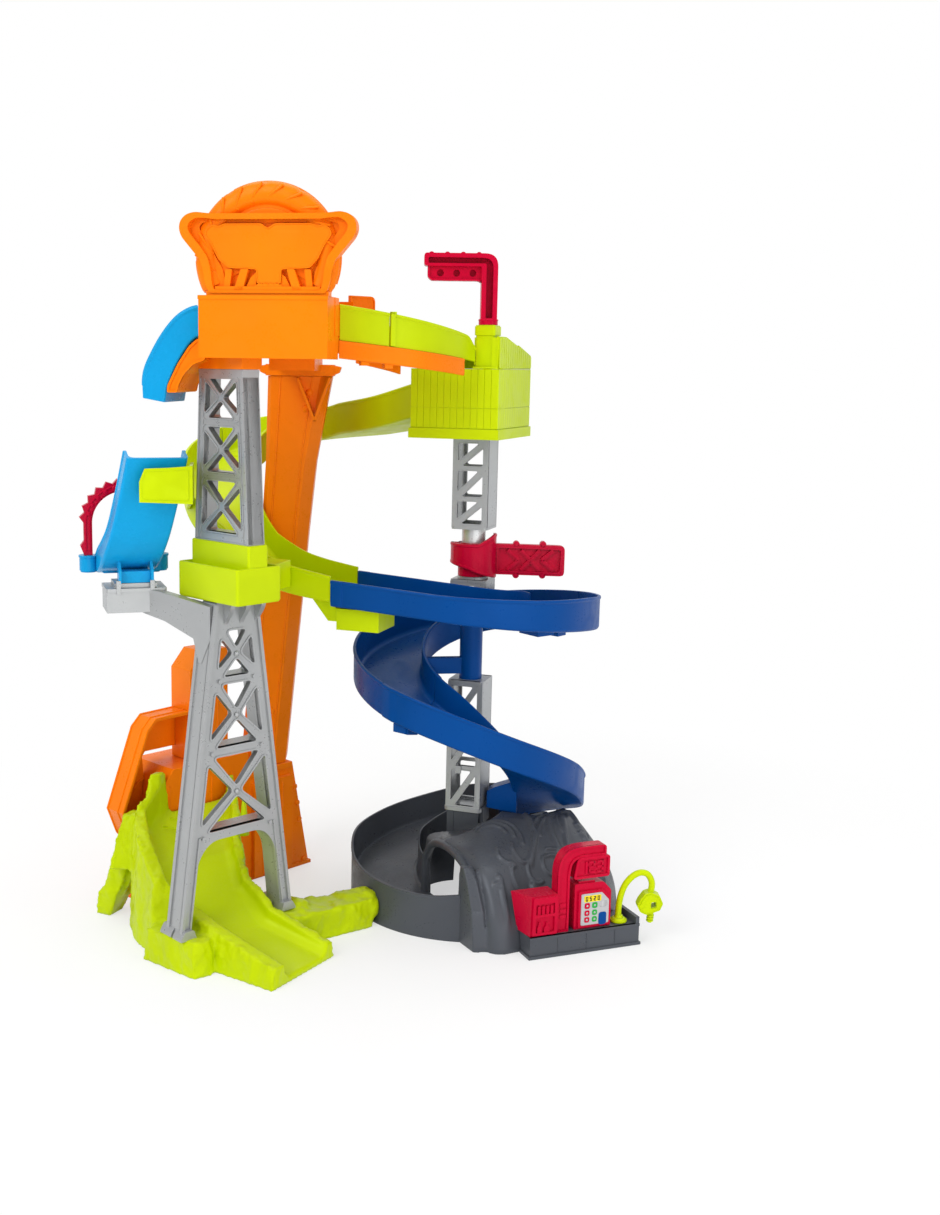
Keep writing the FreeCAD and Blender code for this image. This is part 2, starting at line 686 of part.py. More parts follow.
def make_paddle():
    """Flat paddle with a raised rim, a cross between two chevrons and four edge knobs."""
    x0 = GATE_SHIELD_R - 2.0
    x1 = GATE_REACH
    z0 = GATE_Z
    z1 = GATE_Z + GATE_TALL - 1.0
    half = GATE_PADDLE_THICK / 2
    outline = [(x0, z0 + 1.5), (x1 - 4, z0), (x1, z0 + 4), (x1, z1 - 6), (x1 - 4, z1 - 3), (x0, z1)]
    plate = slab(outline, -half, half)
    rim = 3.5
    pocket = [(x0 + rim, z0 + 5.0), (x1 - rim - 1, z0 + rim), (x1 - rim, z1 - rim - 3), (x0 + rim, z1 - rim)]
    plate = plate.cut(slab(pocket, -half - 1, -half + 2.5))
    mid_z = (z0 + z1) / 2 - 0.5
    mid_x = (x0 + x1) / 2
    reach = 10.5
    ribs = []
    for side in (-1, 1):
        ribs.append(bar((mid_x - reach, mid_z - side * reach), (mid_x + reach, mid_z + side * reach),
                        4.0, -half, 0.0))
        tip = mid_x + side * 11.0
        far = mid_x + side * 23.0
        for up in (-1, 1):
            ribs.append(bar((tip, mid_z), (far, mid_z + up * reach), 4.0, -half, 0.0))
    knobs = []
    for x in (mid_x - 15.0, mid_x + 13.0):
        for z in (z0 + 0.8, z1 - 1.2):
            knobs.append(Part.makeCylinder(3.2, 2 * half, Vec(x, -half, z), Vec(0, 1, 0)))
    return fused([plate] + ribs + knobs)


def make_house_body():
    """Lime box that drops the car to the lower level, with its floor and its way out."""
    half_w = HOUSE_WIDE / 2
    half_d = HOUSE_DEEP / 2
    box = block(-half_w, half_w, -half_d, half_d, HOUSE_Z, HOUSE_EAVE)
    room = block(-half_w + SHELL, half_w - SHELL, -half_d + SHELL, half_d - SHELL,
                 HOUSE_Z + SHELL, HOUSE_EAVE + 1)
    box = box.cut(room)
    skirt = block(-half_w - HOUSE_SKIRT_OUT, half_w + HOUSE_SKIRT_OUT, -half_d - HOUSE_SKIRT_OUT,
                  half_d + HOUSE_SKIRT_OUT, HOUSE_Z, HOUSE_Z + HOUSE_SKIRT)
    skirt = skirt.cut(block(-half_w + 1, half_w - 1, -half_d + 1, half_d - 1, HOUSE_Z - 1, HOUSE_Z + 50))
    way_out_z = HAIRPIN_HEIGHTS[0][1]
    floor = block(-half_w + 1, half_w - 1, -half_d + 1, half_d - 1, way_out_z, way_out_z + LANE_FLOOR)
    way_out = block(-half_w - 5, -half_w + SHELL + 1, -40.0, 44.0, way_out_z + LANE_FLOOR, way_out_z + 38.0)
    house = fused([box, skirt, floor]).cut(way_out)
    shaft_hole = Part.makeCylinder(
        LEVER_SHAFT_R + 1.0, 200.0, Vec(CHIMNEY_U, CHIMNEY_V, way_out_z + 10.0))
    return house_place(house.cut(shaft_hole))


def make_house_top():
    """Lime upper storey, open at the front left where the deck comes in."""
    half_w = HOUSE_WIDE / 2
    half_d = HOUSE_DEEP / 2
    z0 = HOUSE_EAVE
    front_y = CHIMNEY_V + CHIMNEY_SIDE / 2
    gable = [(-half_d, z0), (half_d, z0), (half_d, HOUSE_BACK_TOP), (front_y, HOUSE_RIDGE),
             (-half_d, HOUSE_RIDGE)]
    right = end_plate(gable, half_w - SHELL, half_w)
    left_outline = [(-20.0, z0), (half_d, z0), (half_d, HOUSE_BACK_TOP), (8.0, HOUSE_RIDGE - 6.0),
                    (-20.0, z0 + 12.0)]
    left = end_plate(left_outline, -half_w, -half_w + SHELL)
    back = block(-half_w, half_w, half_d - SHELL, half_d, z0, HOUSE_BACK_TOP)
    slope = end_plate(
        [(half_d, HOUSE_BACK_TOP - SHELL), (half_d, HOUSE_BACK_TOP), (12.0, HOUSE_RIDGE - 8.0),
         (12.0, HOUSE_RIDGE - 8.0 - SHELL)], -half_w, half_w)
    tower_x0 = CHIMNEY_U - CHIMNEY_SIDE / 2
    tower_x1 = CHIMNEY_U + CHIMNEY_SIDE / 2
    tower_y0 = CHIMNEY_V - CHIMNEY_SIDE / 2
    neck_in = 1.2
    neck = block(tower_x0 + neck_in, tower_x1 - neck_in, tower_y0 + neck_in, front_y - neck_in,
                 z0, CHIMNEY_TOP)
    cap = block(tower_x0, tower_x1, tower_y0, front_y, CHIMNEY_TOP - CHIMNEY_CAP, CHIMNEY_TOP)
    ledge = block(tower_x0, half_w, -half_d, front_y, z0, z0 + SHELL)
    top = fused([right, left, back, slope, neck, cap, ledge])
    hollow = block(tower_x0 + 3.5, tower_x1 - 3.5, tower_y0 + 3.5, front_y - 3.5, z0 - 1, CHIMNEY_TOP - 6.0)
    bore = Part.makeCylinder(
        LEVER_SHAFT_R + TURN_GAP, 100.0, Vec(CHIMNEY_U, CHIMNEY_V, CHIMNEY_TOP - 50.0))
    return house_place(top.cut(hollow).cut(bore))


def lever_axis():
    u, v = CHIMNEY_U, CHIMNEY_V
    c, s = direction(HOUSE_TURN)
    return HOUSE_X + u * c - v * s, HOUSE_Y + u * s + v * c


def make_lever():
    """Red crank on the chimney: shaft, flange, post and arm, in one piece."""
    z0 = CHIMNEY_TOP + SEAT_GAP
    shaft = Part.makeCylinder(LEVER_SHAFT_R, z0 - LEVER_SHAFT_END + 5.0, Vec(0, 0, LEVER_SHAFT_END))
    flange = Part.makeCylinder(LEVER_FLANGE_R, LEVER_FLANGE_T, Vec(0, 0, z0))
    half = LEVER_POST / 2
    corner = 14.0
    inner = LEVER_POST
    outline = [
        (half, z0 + LEVER_FLANGE_T - 1), (half, LEVER_TOP - corner), (half - 4, LEVER_TOP - 4),
        (half - corner, LEVER_TOP), (-LEVER_REACH, LEVER_TOP), (-LEVER_REACH, LEVER_TOP - LEVER_BEAM),
        (-half, LEVER_TOP - LEVER_BEAM), (-half, z0 + LEVER_FLANGE_T - 1)]
    crank = slab(outline, -half, half)
    groove = [
        (half - 4, z0 + LEVER_FLANGE_T + 3), (half - 4, LEVER_TOP - inner),
        (-LEVER_REACH + 6, LEVER_TOP - 4.0),
        (-LEVER_REACH + 6, LEVER_TOP - LEVER_BEAM + 3.0), (-half + 3, LEVER_TOP - LEVER_BEAM - 4.0),
        (-half + 3, z0 + LEVER_FLANGE_T + 3)]
    crank = crank.cut(slab(groove, -half - 1, -half + 3.0))
    z2 = LEVER_TOP - LEVER_BEAM + 1.0
    z3 = z2 - LEVER_PANEL
    panel_x0 = -LEVER_REACH + 4.0
    panel_outline = [
        (panel_x0, z2), (-half + 1, z2), (-half + 1, z3 - 3.0), (-half - 3, z3), (panel_x0 + 4, z3),
        (panel_x0, z3 + 4)]
    panel = slab(panel_outline, -3.5, 3.5)
    holes = []
    for i in range(3):
        x = panel_x0 + 12.0 + 16.0 * i
        holes.append(Part.makeCylinder(3.2, 4.0, Vec(x, -4.0, (z2 + z3) / 2), Vec(0, 1, 0)))
    for hole in holes:
        panel = panel.cut(hole)
    bumps = []
    for i in range(4):
        x = -LEVER_REACH + 7.0 + 15.5 * i
        foot = Vec(x, -half + 1.0, LEVER_TOP - 0.8)
        bumps.append(Part.makeCylinder(2.6, LEVER_POST - 2.0, foot, Vec(0, 1, 0)))
    lever = fused([shaft, flange, crank, panel] + bumps)
    x, y = lever_axis()
    return turned(lever, 0.0, x, y)


def make_lever_clip():
    """Ring that holds the lever's shaft from below."""
    ring = Part.makeCylinder(8.0, 4.0, Vec(0, 0, LEVER_SHAFT_END + 2.0))
    ring = ring.cut(Part.makeCylinder(LEVER_SHAFT_R, 10.0, Vec(0, 0, LEVER_SHAFT_END)))
    x, y = lever_axis()
    return turned(ring, 0.0, x, y)


def deck_height(angle):
    share = (angle - DECK_START_DEG) / (DECK_END_DEG - DECK_START_DEG)
    return DECK_START_Z + (DECK_END_Z - DECK_START_Z) * share


def deck_strip(r0, r1, a0, a1, low, high):
    """A curved strip of the deck between two radii. low and high are above its top side."""
    wires = []
    for angle in steps(a0, a1, 6.0):
        out = direction(angle)
        z = deck_height(angle)
        base = z + low(angle)
        top = z + high(angle)
        points = [
            Vec(DECK_CENTRE[0] + r0 * out[0], DECK_CENTRE[1] + r0 * out[1], base),
            Vec(DECK_CENTRE[0] + r1 * out[0], DECK_CENTRE[1] + r1 * out[1], base),
            Vec(DECK_CENTRE[0] + r1 * out[0], DECK_CENTRE[1] + r1 * out[1], top),
            Vec(DECK_CENTRE[0] + r0 * out[0], DECK_CENTRE[1] + r0 * out[1], top),
        ]
        wires.append(closed(points))
    return loft(wires)


def deck_room(shape):
    """The shape without what would be in the house or in the platform."""
    house = block(-HOUSE_WIDE / 2 - SEAT_GAP, HOUSE_WIDE, -HOUSE_DEEP / 2 - SEAT_GAP, HOUSE_DEEP,
                  HOUSE_Z - 50, CHIMNEY_TOP + 40)
    half = PLATFORM_WIDE / 2 + SEAT_GAP
    platform = block(-half, half, -5.0, PLATFORM_DEEP + 30.0, PLATFORM_Z - 50, PLATFORM_TOP + 40)
    return shape.cut(house_place(house)).cut(platform_place(platform))


def make_deck():
    """Orange curved deck from the platform to the house, with a skirt under both edges."""
    plate = deck_strip(DECK_INNER_R, DECK_OUTER_R, DECK_START_DEG, DECK_END_DEG,
                       lambda a: -3.0, lambda a: 0.0)
    skirts = []
    for r0, r1 in ((DECK_INNER_R, DECK_INNER_R + SHELL), (DECK_OUTER_R - SHELL, DECK_OUTER_R)):
        skirts.append(deck_strip(r0, r1, DECK_START_DEG, DECK_END_DEG,
                                 lambda a: -DECK_THICK, lambda a: -2.0))
    return deck_room(fused([plate] + skirts))


def rail_tall(angle):
    share = (angle - DECK_START_DEG) / (DECK_END_DEG - DECK_START_DEG)
    return RAIL_START_TALL + (RAIL_END_TALL - RAIL_START_TALL) * share ** 1.5


def rail(r0, a0, a1):
    """A lime rail that stands on the deck."""
    return deck_room(deck_strip(r0, r0 + RAIL_THICK, a0, a1, lambda a: 0.0, rail_tall))


def make_deck_guard():
    """Orange guard that carries the platform's back wall on along the deck's inner edge."""
    r0 = DECK_INNER_R + RAIL_INSET
    strip = deck_strip(r0, r0 + RAIL_THICK, DECK_START_DEG, GUARD_END_DEG,
                       lambda a: 0.0, lambda a: GUARD_TALL)
    return deck_room(strip)


def tower_place(shape, turn):
    return turned(shape, turn, TOWER_X, TOWER_Y)


def frame_half(z):
    share = (z - FOOT_Z) / (FRAME_TOP - FOOT_Z)
    return FRAME_FOOT_HALF + (FRAME_TOP_HALF - FRAME_FOOT_HALF) * share


def make_lower_frame():
    """Silver A-frame that stands over the slide: two legs, bars and crossed braces."""
    half_deep = FRAME_DEEP / 2
    outline = [(-frame_half(FOOT_Z), FOOT_Z), (frame_half(FOOT_Z), FOOT_Z),
               (FRAME_TOP_HALF, FRAME_TOP), (-FRAME_TOP_HALF, FRAME_TOP)]
    frame = slab(outline, -half_deep, half_deep)
    z_arch = FRAME_BARS[0]
    foot_in = frame_half(FOOT_Z) - FRAME_LEG
    arch_in = frame_half(z_arch) - FRAME_LEG
    arch = [(-foot_in, FOOT_Z - 1), (foot_in, FOOT_Z - 1), (arch_in + 2, z_arch - 16),
            (arch_in - 10, z_arch - 2), (0, z_arch), (-arch_in + 10, z_arch - 2),
            (-arch_in - 2, z_arch - 16)]
    frame = frame.cut(slab(arch, -half_deep - 1, half_deep + 1))
    braces = []
    for low, high in zip(FRAME_BARS[1::2], FRAME_BARS[2::2]):
        a = frame_half(low) - FRAME_LEG
        b = frame_half(high) - FRAME_LEG
        window = [(-a, low), (a, low), (b, high), (-b, high)]
        frame = frame.cut(slab(window, -half_deep - 1, half_deep + 1))
        for side in (-1, 1):
            braces.append(bar((-side * (a + 2), low - 2), (side * (b + 2), high + 2), FRAME_BRACE,
                              -half_deep, -half_deep + BRACE_DEEP))
    for side in (-1, 1):
        x0 = side * (frame_half(FOOT_Z) - FRAME_LEG / 2)
        foot_half = FRAME_LEG / 2 + 4.0
        braces.append(block(x0 - foot_half, x0 + foot_half, -half_deep - 6.0, half_deep + 10.0,
                            FOOT_Z, FOOT_Z + 4.0))
    tongue_half = COLLAR_DEEP / 2 - SHELL - 7.0
    tongue_top = COLLAR_STEP_Z - COLLAR_LIP - SHELL
    braces.append(block(-tongue_half, tongue_half, -half_deep, half_deep, FRAME_TOP - 1.0, tongue_top))
    return tower_place(fused([frame] + braces), FRAME_TURN)


def make_collar():
    """Lime collar between the two silver frames, with the arm to the channel behind."""
    half_l = COLLAR_LONG / 2
    half_d = COLLAR_DEEP / 2
    z0 = FRAME_TOP + SEAT_GAP
    lower = block(-half_l, half_l, -half_d, half_d, z0, COLLAR_STEP_Z)
    lower = lower.cut(block(-half_l + SHELL, half_l - SHELL, -half_d + SHELL, half_d - SHELL,
                            z0 - 1, COLLAR_STEP_Z - COLLAR_LIP - SHELL))
    lower = lower.cut(block(-half_l + SHELL, half_l - SHELL, -half_d + SHELL, half_d - SHELL,
                            COLLAR_STEP_Z - COLLAR_LIP, COLLAR_STEP_Z + 1))
    up_l = TRUSS_FOOT_WIDE / 2 + SEAT_GAP + SHELL
    up_d = TRUSS_DEEP / 2 + SEAT_GAP + SHELL
    upper = block(-up_l, up_l, -up_d, up_d, COLLAR_STEP_Z - COLLAR_LIP - SHELL, COLLAR_TOP)
    pocket = block(-up_l + SHELL, up_l - SHELL, -up_d + SHELL, up_d - SHELL, TRUSS_Z, COLLAR_TOP + 1)
    collar = fused([lower, upper]).cut(pocket)
    return tower_place(collar, TRUSS_TURN)


def make_collar_arm():
    """Lime bracket from the collar to the near wall of the hairpin's last straight."""
    run = HAIRPIN_STRAIGHT + BEND_RUN + 14.0
    x, y, heading = hairpin_place(run)
    near_x, near_y = across(x, y, heading, -LANE_OUTER - SEAT_GAP)
    z = height_at(HAIRPIN_HEIGHTS, run)
    arm = block(-14.0, 36.0, -62.0, 0.0, z - 4.0, z + 24.0)
    arm = arm.cut(block(-14.0 + SHELL, 36.0 - SHELL, -62.0 - 1, -SHELL, z - 5.0, z + 24.0 - SHELL))
    arm = turned(arm, heading, near_x, near_y)
    keep_out = block(-COLLAR_LONG / 2 - 0.2, COLLAR_LONG / 2 + 0.2, -COLLAR_DEEP / 2, COLLAR_DEEP / 2 + 0.2,
                     FRAME_TOP - 30, COLLAR_TOP + 5)
    cleared = arm.cut(tower_place(keep_out, TRUSS_TURN))
    pieces = sorted(cleared.Solids, key=lambda solid: solid.Volume)
    return pieces[-1]


def truss_half(z):
    share = (z - TRUSS_Z) / (TRUSS_TOP - TRUSS_Z)
    return (TRUSS_FOOT_WIDE + (TRUSS_HEAD_WIDE - TRUSS_FOOT_WIDE) * share) / 2


def make_upper_truss():
    """Silver upper frame with three crossed panels."""
    half_deep = TRUSS_DEEP / 2
    outline = [(-truss_half(TRUSS_Z), TRUSS_Z), (truss_half(TRUSS_Z), TRUSS_Z),
               (truss_half(TRUSS_TOP), TRUSS_TOP), (-truss_half(TRUSS_TOP), TRUSS_TOP)]
    frame = slab(outline, -half_deep, half_deep)
    braces = []
    for i in range(0, len(TRUSS_BARS), 2):
        low = TRUSS_Z + TRUSS_BARS[i]
        high = TRUSS_Z + TRUSS_BARS[i + 1]
        a = truss_half(low) - TRUSS_POST
        b = truss_half(high) - TRUSS_POST
        window = [(-a, low), (a, low), (b, high), (-b, high)]
        frame = frame.cut(slab(window, -half_deep - 1, half_deep + 1))
        for side in (-1, 1):
            braces.append(bar((-side * (a + 2), low - 2), (side * (b + 2), high + 2), TRUSS_BRACE,
                              -half_deep, -half_deep + BRACE_DEEP))
    return tower_place(fused([frame] + braces), TRUSS_TURN)


def platform_place(shape):
    return turned(shape, PLATFORM_TURN, PLATFORM_X, PLATFORM_Y)


def make_platform():
    """Orange start platform: a tray on the tower's head, with a high front wall."""
    half = PLATFORM_WIDE / 2
    deep = PLATFORM_DEEP
    z_floor = PLATFORM_FLOOR_Z - PLATFORM_FLOOR
    z_skirt = PLATFORM_Z + 6.0
    floor = block(-half, half, 0.0, deep, z_floor, PLATFORM_FLOOR_Z)
    front = block(-half, half, 0.0, SHELL, PLATFORM_Z, PLATFORM_TOP)
    back = block(-half, half, deep - SHELL, deep, z_skirt, PLATFORM_TOP)
    sides = []
    for x0, length in ((-half, PLATFORM_LEFT_WALL), (half - SHELL, PLATFORM_RIGHT_WALL)):
        sides.append(block(x0, x0 + SHELL, 0.0, length, PLATFORM_Z, PLATFORM_TOP))
        sides.append(block(x0, x0 + SHELL, 0.0, deep, z_skirt, PLATFORM_FLOOR_Z))
    return platform_place(fused([floor, front, back] + sides))


def make_platform_socket():
    """Orange socket between the platform's floor and the tower's head."""
    up_l = TRUSS_HEAD_WIDE / 2 + SEAT_GAP + SHELL
    up_d = TRUSS_DEEP / 2 + SEAT_GAP + SHELL
    z1 = PLATFORM_FLOOR_Z - PLATFORM_FLOOR
    z0 = TRUSS_TOP - 3.0
    socket = block(-up_l, up_l, -up_d, up_d, z0, z1)
    socket = socket.cut(block(-up_l + SHELL, up_l - SHELL, -up_d + SHELL, up_d - SHELL, z0 - 1, TRUSS_TOP))
    rib_z = TRUSS_TOP + 3.0
    socket = socket.cut(block(-up_l + SHELL, up_l - SHELL, -up_d + SHELL, up_d - SHELL, rib_z, z1 + 1))
    inner_face = -PLATFORM_WIDE / 2 + SHELL + SEAT_GAP
    skirt_room = block(-PLATFORM_WIDE, inner_face, 0.0, PLATFORM_DEEP, PLATFORM_Z + 6.0 - SEAT_GAP, z1 + 2)
    return tower_place(socket, TRUSS_TURN).cut(platform_place(skirt_room))


def arc_points(cx, cz, radius, a0, a1, count):
    """Points on an arc in XZ."""
    points = []
    for i in range(count + 1):
        angle = math.radians(a0 + (a1 - a0) * i / count)
        points.append((cx + radius * math.cos(angle), cz + radius * math.sin(angle)))
    return points


def make_sign():
    """Orange sign seen from behind: a tyre with a wide tray in front, both hollow at the back."""
    cut = math.degrees(math.asin((SIGN_Z - SIGN_TYRE_Z) / SIGN_TYRE_R))
    cx = SIGN_TYRE_X
    tyre = slab(arc_points(cx, SIGN_TYRE_Z, SIGN_TYRE_R, cut, 180.0 - cut, 36), 0.0, SIGN_DEEP)
    inside = slab(arc_points(cx, SIGN_TYRE_Z, SIGN_TYRE_R - SIGN_SKIN, cut + 2.0, 178.0 - cut, 36),
                  -1.0, SIGN_DEEP - SIGN_SKIN)
    hub = slab(arc_points(cx, SIGN_TYRE_Z, 26.0, 0.0, 180.0, 18), SIGN_DEEP - 8.0, SIGN_DEEP)
    top = SIGN_PLATE_TOP
    half = SIGN_HALF
    right = [
        (half - 16.0, top), (half - 5.0, top - 5.0), (half, top - 14.0), (half - 3.0, top - 23.0),
        (half - 20.0, top - 42.0), (half - 27.0, top - 66.0)]
    outline = right + [(-x, z) for x, z in reversed(right)]
    plate = slab(outline, 0.0, SIGN_DEEP - 3.0)
    pocket = inset(outline, 4.0)
    plate = plate.cut(slab(pocket, -1.0, SIGN_DEEP - 6.0))
    z_foot = PLATFORM_FLOOR_Z
    foot = block(-48.0, 48.0, 2.0, SIGN_DEEP - 4.0, z_foot, SIGN_Z + 6.0)
    whole = fused([tyre.cut(inside), hub, plate, foot])
    return platform_place(turned(whole, 0.0, SIGN_LOCAL_X, SIGN_LOCAL_Y))


def ramp_section(x, y, heading, outer, row):
    """The U section of a ramp, square to its own slope."""
    z, pitch, tall = row
    inner = outer - LANE_WALL
    lean = -math.sin(math.radians(pitch))
    rise = math.cos(math.radians(pitch))
    ahead = direction(heading)
    corners = [(-outer, 0.0), (outer, 0.0), (outer, tall), (inner, tall),
               (inner, LANE_FLOOR), (-inner, LANE_FLOOR), (-inner, tall), (-outer, tall)]
    points = []
    for offset, up in corners:
        px, py = across(x, y, heading, offset)
        points.append(Vec(px + ahead[0] * lean * up, py + ahead[1] * lean * up, z + rise * up))
    return closed(points)


def make_top_ramp():
    """Light-blue chute that drops from the platform's left side."""
    x0 = -PLATFORM_WIDE / 2 - SEAT_GAP
    wires = []
    for run, up, pitch, tall in TOP_RAMP:
        row = (PLATFORM_FLOOR_Z + up, pitch, tall)
        wires.append(ramp_section(x0 - run, TOP_RAMP_Y, 180.0, RAMP_HALF, row))
    return platform_place(loft(wires))


def make_ramp_bracket():
    """Orange curved bracket under the light-blue chute."""
    x0 = -PLATFORM_WIDE / 2 - SEAT_GAP
    top = PLATFORM_FLOOR_Z
    low = top - BRACKET_DROP
    under = [(x0 - run + 0.8, top + up - 1.6) for run, up, pitch, tall in TOP_RAMP[:-1]]
    outline = [(x0, top - 1.6)] + under[1:] + [(x0 - 36.5, low), (x0, low)]
    half = RAMP_HALF - 1.0
    body = slab(outline, TOP_RAMP_Y - half, TOP_RAMP_Y + half)
    room = [(x0 + 1.0, top - 5.0), (x0 - 8.0, top - 7.0), (x0 - 15.0, top - 14.0),
            (x0 - 31.0, top - 39.0), (x0 - 34.0, low + 3.0), (x0 + 1.0, low + 3.0)]
    body = body.cut(slab(room, TOP_RAMP_Y - half + SHELL, TOP_RAMP_Y + half - SHELL))
    room_l = TRUSS_HEAD_WIDE / 2 + SEAT_GAP * 2 + SHELL + 1.0
    room_d = TRUSS_DEEP / 2 + SEAT_GAP * 2 + SHELL + 1.0
    tower_room = block(-room_l, room_l, -room_d, room_d, low - 50.0, top + 1.0)
    cleared = platform_place(body).cut(tower_place(tower_room, TRUSS_TURN))
    return sorted(cleared.Solids, key=lambda solid: solid.Volume)[-1]


def landing_place(shape, x, y):
    """Turn a piece that runs along +X to the landing ramp's heading."""
    return turned(shape, LANDING_HEADING, x, y)


def make_landing_ramp():
    """Light-blue landing ramp, closed towards the visitor, with two sockets at its foot."""
    wires = []
    for x, y, z, pitch, tall in LANDING_RAMP:
        wires.append(ramp_section(x, y, LANDING_HEADING, LANDING_HALF, (z, pitch, tall)))
    pieces = [loft(wires)]
    for side in (-1, 1):
        cup = Part.makeCylinder(8.5, 16.0, Vec(0, side * ARCH_FOOT, ARCH_FOOT_Z - 4.0))
        pieces.append(landing_place(cup, ARCH_X, ARCH_Y))
    foot = block(-16.0, 16.0, -14.0, 14.0, ARM_BOX_TOP, 375.0)
    pieces.append(landing_place(foot, ARM_HEAD_X, ARM_HEAD_Y))
    ramp = fused(pieces)
    lane_half = LANDING_HALF - LANE_WALL
    lane = block(-14.0, 30.0, -lane_half, lane_half, 374.0, 400.0)
    ramp = ramp.cut(landing_place(lane, ARCH_X, ARCH_Y))
    for side in (-1, 1):
        pin_hole = Part.makeCylinder(ARCH_PIN_R + TURN_GAP, 20.0, Vec(0, side * ARCH_FOOT, ARCH_FOOT_Z))
        ramp = ramp.cut(landing_place(pin_hole, ARCH_X, ARCH_Y))
    return ramp


def make_flame_arch():
    """Red arch over the landing ramp's exit, with pointed tongues along its outside."""
    z_spring = ARCH_TOP - ARCH_FOOT - 6.0
    outer = []
    inner = []
    count = 24
    for i in range(count + 1):
        angle = math.pi * i / count
        spike = 0.0 if i in (0, count) else (4.5 if i % 2 else 0.5)
        radius = ARCH_FOOT + 4.0 + spike
        outer.append((radius * math.cos(angle), z_spring + radius * math.sin(angle)))
        inner.append(((ARCH_FOOT - 4.0) * math.cos(angle), z_spring + (ARCH_FOOT - 4.0) * math.sin(angle)))
    z_low = ARCH_FOOT_Z + 12.0 + SEAT_GAP
    left = [(-ARCH_FOOT - 4.0, z_low + 14.0), (-ARCH_FOOT - 7.5, z_low + 9.0), (-ARCH_FOOT - 4.0, z_low)]
    right = [(ARCH_FOOT + 4.0, z_low), (ARCH_FOOT + 7.5, z_low + 9.0), (ARCH_FOOT + 4.0, z_low + 14.0)]
    inside = [(-ARCH_FOOT + 4.0, z_low)] + list(reversed(inner)) + [(ARCH_FOOT - 4.0, z_low)]
    outline = right + outer + left + inside
    pieces = [end_plate(outline, -4.0, 4.0)]
    for side in (-1, 1):
        pieces.append(Part.makeCylinder(ARCH_PIN_R, 14.0, Vec(0, side * ARCH_FOOT, ARCH_FOOT_Z)))
    return landing_place(fused(pieces), ARCH_X, ARCH_Y)


def make_ramp_arm():
    """Silver arm from the lower frame to the landing ramp."""
    step = ARM_BOX_TOP - 5.0
    head = block(-21.0, 21.0, -28.0, 28.0, ARM_BOX_Z, step)
    cap = block(-17.0, 17.0, -20.0, 20.0, step, ARM_BOX_TOP - SEAT_GAP)
    head = landing_place(fused([head, cap]), ARM_HEAD_X, ARM_HEAD_Y)
    c, s = direction(FRAME_TURN)
    reach = frame_half(325.0)
    back = FRAME_DEEP / 2 - 6.0
    leg_x = TOWER_X - c * reach - s * back
    leg_y = TOWER_Y - s * reach + c * back
    run = math.hypot(leg_x - ARM_HEAD_X, leg_y - ARM_HEAD_Y)
    turn = math.degrees(math.atan2(leg_y - ARM_HEAD_Y, leg_x - ARM_HEAD_X))
    outline = [(8.0, step), (run * 0.4, step - 2.0), (run + 12.0, 350.0), (run + 12.0, 290.0),
               (run - 2.0, 296.0), (run - 8.0, 318.0), (run * 0.5, 331.0), (8.0, ARM_BOX_Z)]
    strut = turned(slab(outline, -5.0, 5.0), turn, ARM_HEAD_X, ARM_HEAD_Y)
    whole = fused([head, strut])
    wide = 200.0
    frame_room = slab([(-frame_half(200.0) - SEAT_GAP, 200.0), (wide, 200.0), (wide, FRAME_TOP + 1),
                       (-frame_half(FRAME_TOP) - SEAT_GAP, FRAME_TOP + 1)], -wide, wide)
    whole = whole.cut(tower_place(frame_room, FRAME_TURN))
    collar_room = block(-COLLAR_LONG / 2 - 1, COLLAR_LONG / 2 + 1, -COLLAR_DEEP / 2 - 1, COLLAR_DEEP / 2 + 1,
                        FRAME_TOP, COLLAR_TOP)
    whole = whole.cut(tower_place(collar_room, TRUSS_TURN))
    return sorted(whole.Solids, key=lambda solid: solid.Volume)[-1]


def base_place(shape):
    return turned(shape, BASE_TURN, BASE_CORNER[0], BASE_CORNER[1])


def base_profile(grow):
    """The housing's outline, seen from the front of the base."""
    outline = [(0.0, 0.0), (BASE_LONG, 0.0), (BASE_LONG - 26.0, BASE_TALL), (BASE_STEP_END + 2.0, BASE_TALL),
               (BASE_STEP_END, BASE_STEP_TALL), (24.0, BASE_STEP_TALL), (14.0, BASE_STEP_TALL - 12.0)]
    return inset(outline, -grow) if grow else outline


def make_base_housing():
    """Orange foot under the rear column, closed on all sides and open below."""
    housing = slab(base_profile(0.0), 0.0, BASE_DEEP)
    room = slab([(x, -1.0 if z < 3.0 else z) for x, z in base_profile(-SHELL)], SHELL, BASE_DEEP - SHELL)
    housing = housing.cut(room)
    rim = block(BASE_LONG - 60.0, BASE_LONG + 2.0, -2.0, BASE_DEEP + 2.0, 0.0, 4.0)
    rim = rim.cut(block(BASE_LONG - 70.0, BASE_LONG - 2.0, 1.0, BASE_DEEP - 1.0, -1.0, 5.0))
    front_box = block(BASE_STEP_END + 4.0, BASE_LONG - 30.0, -6.0, 1.0, 4.0, BASE_TALL - 14.0)
    return base_place(fused([housing, rim, front_box]))


def make_base_tower():
    """Orange stub tower on the base, behind the A-frame."""
    z0 = BASE_STEP_TALL + SEAT_GAP
    x0 = BASE_TOWER_START
    x1 = BASE_TOWER_END
    outline = [(x0, z0), (x1, z0), (x1, BASE_TOWER_TOP), (x0 + 17.0, BASE_TOWER_TOP),
               (x0, BASE_TOWER_TOP - 19.0)]
    tower = slab(outline, 12.0, 46.0)
    room = inset(outline, SHELL)
    room[0] = (room[0][0], z0 - 1.0)
    room[1] = (room[1][0], z0 - 1.0)
    return base_place(tower.cut(slab(room, 12.0 + SHELL, 46.0 - SHELL)))


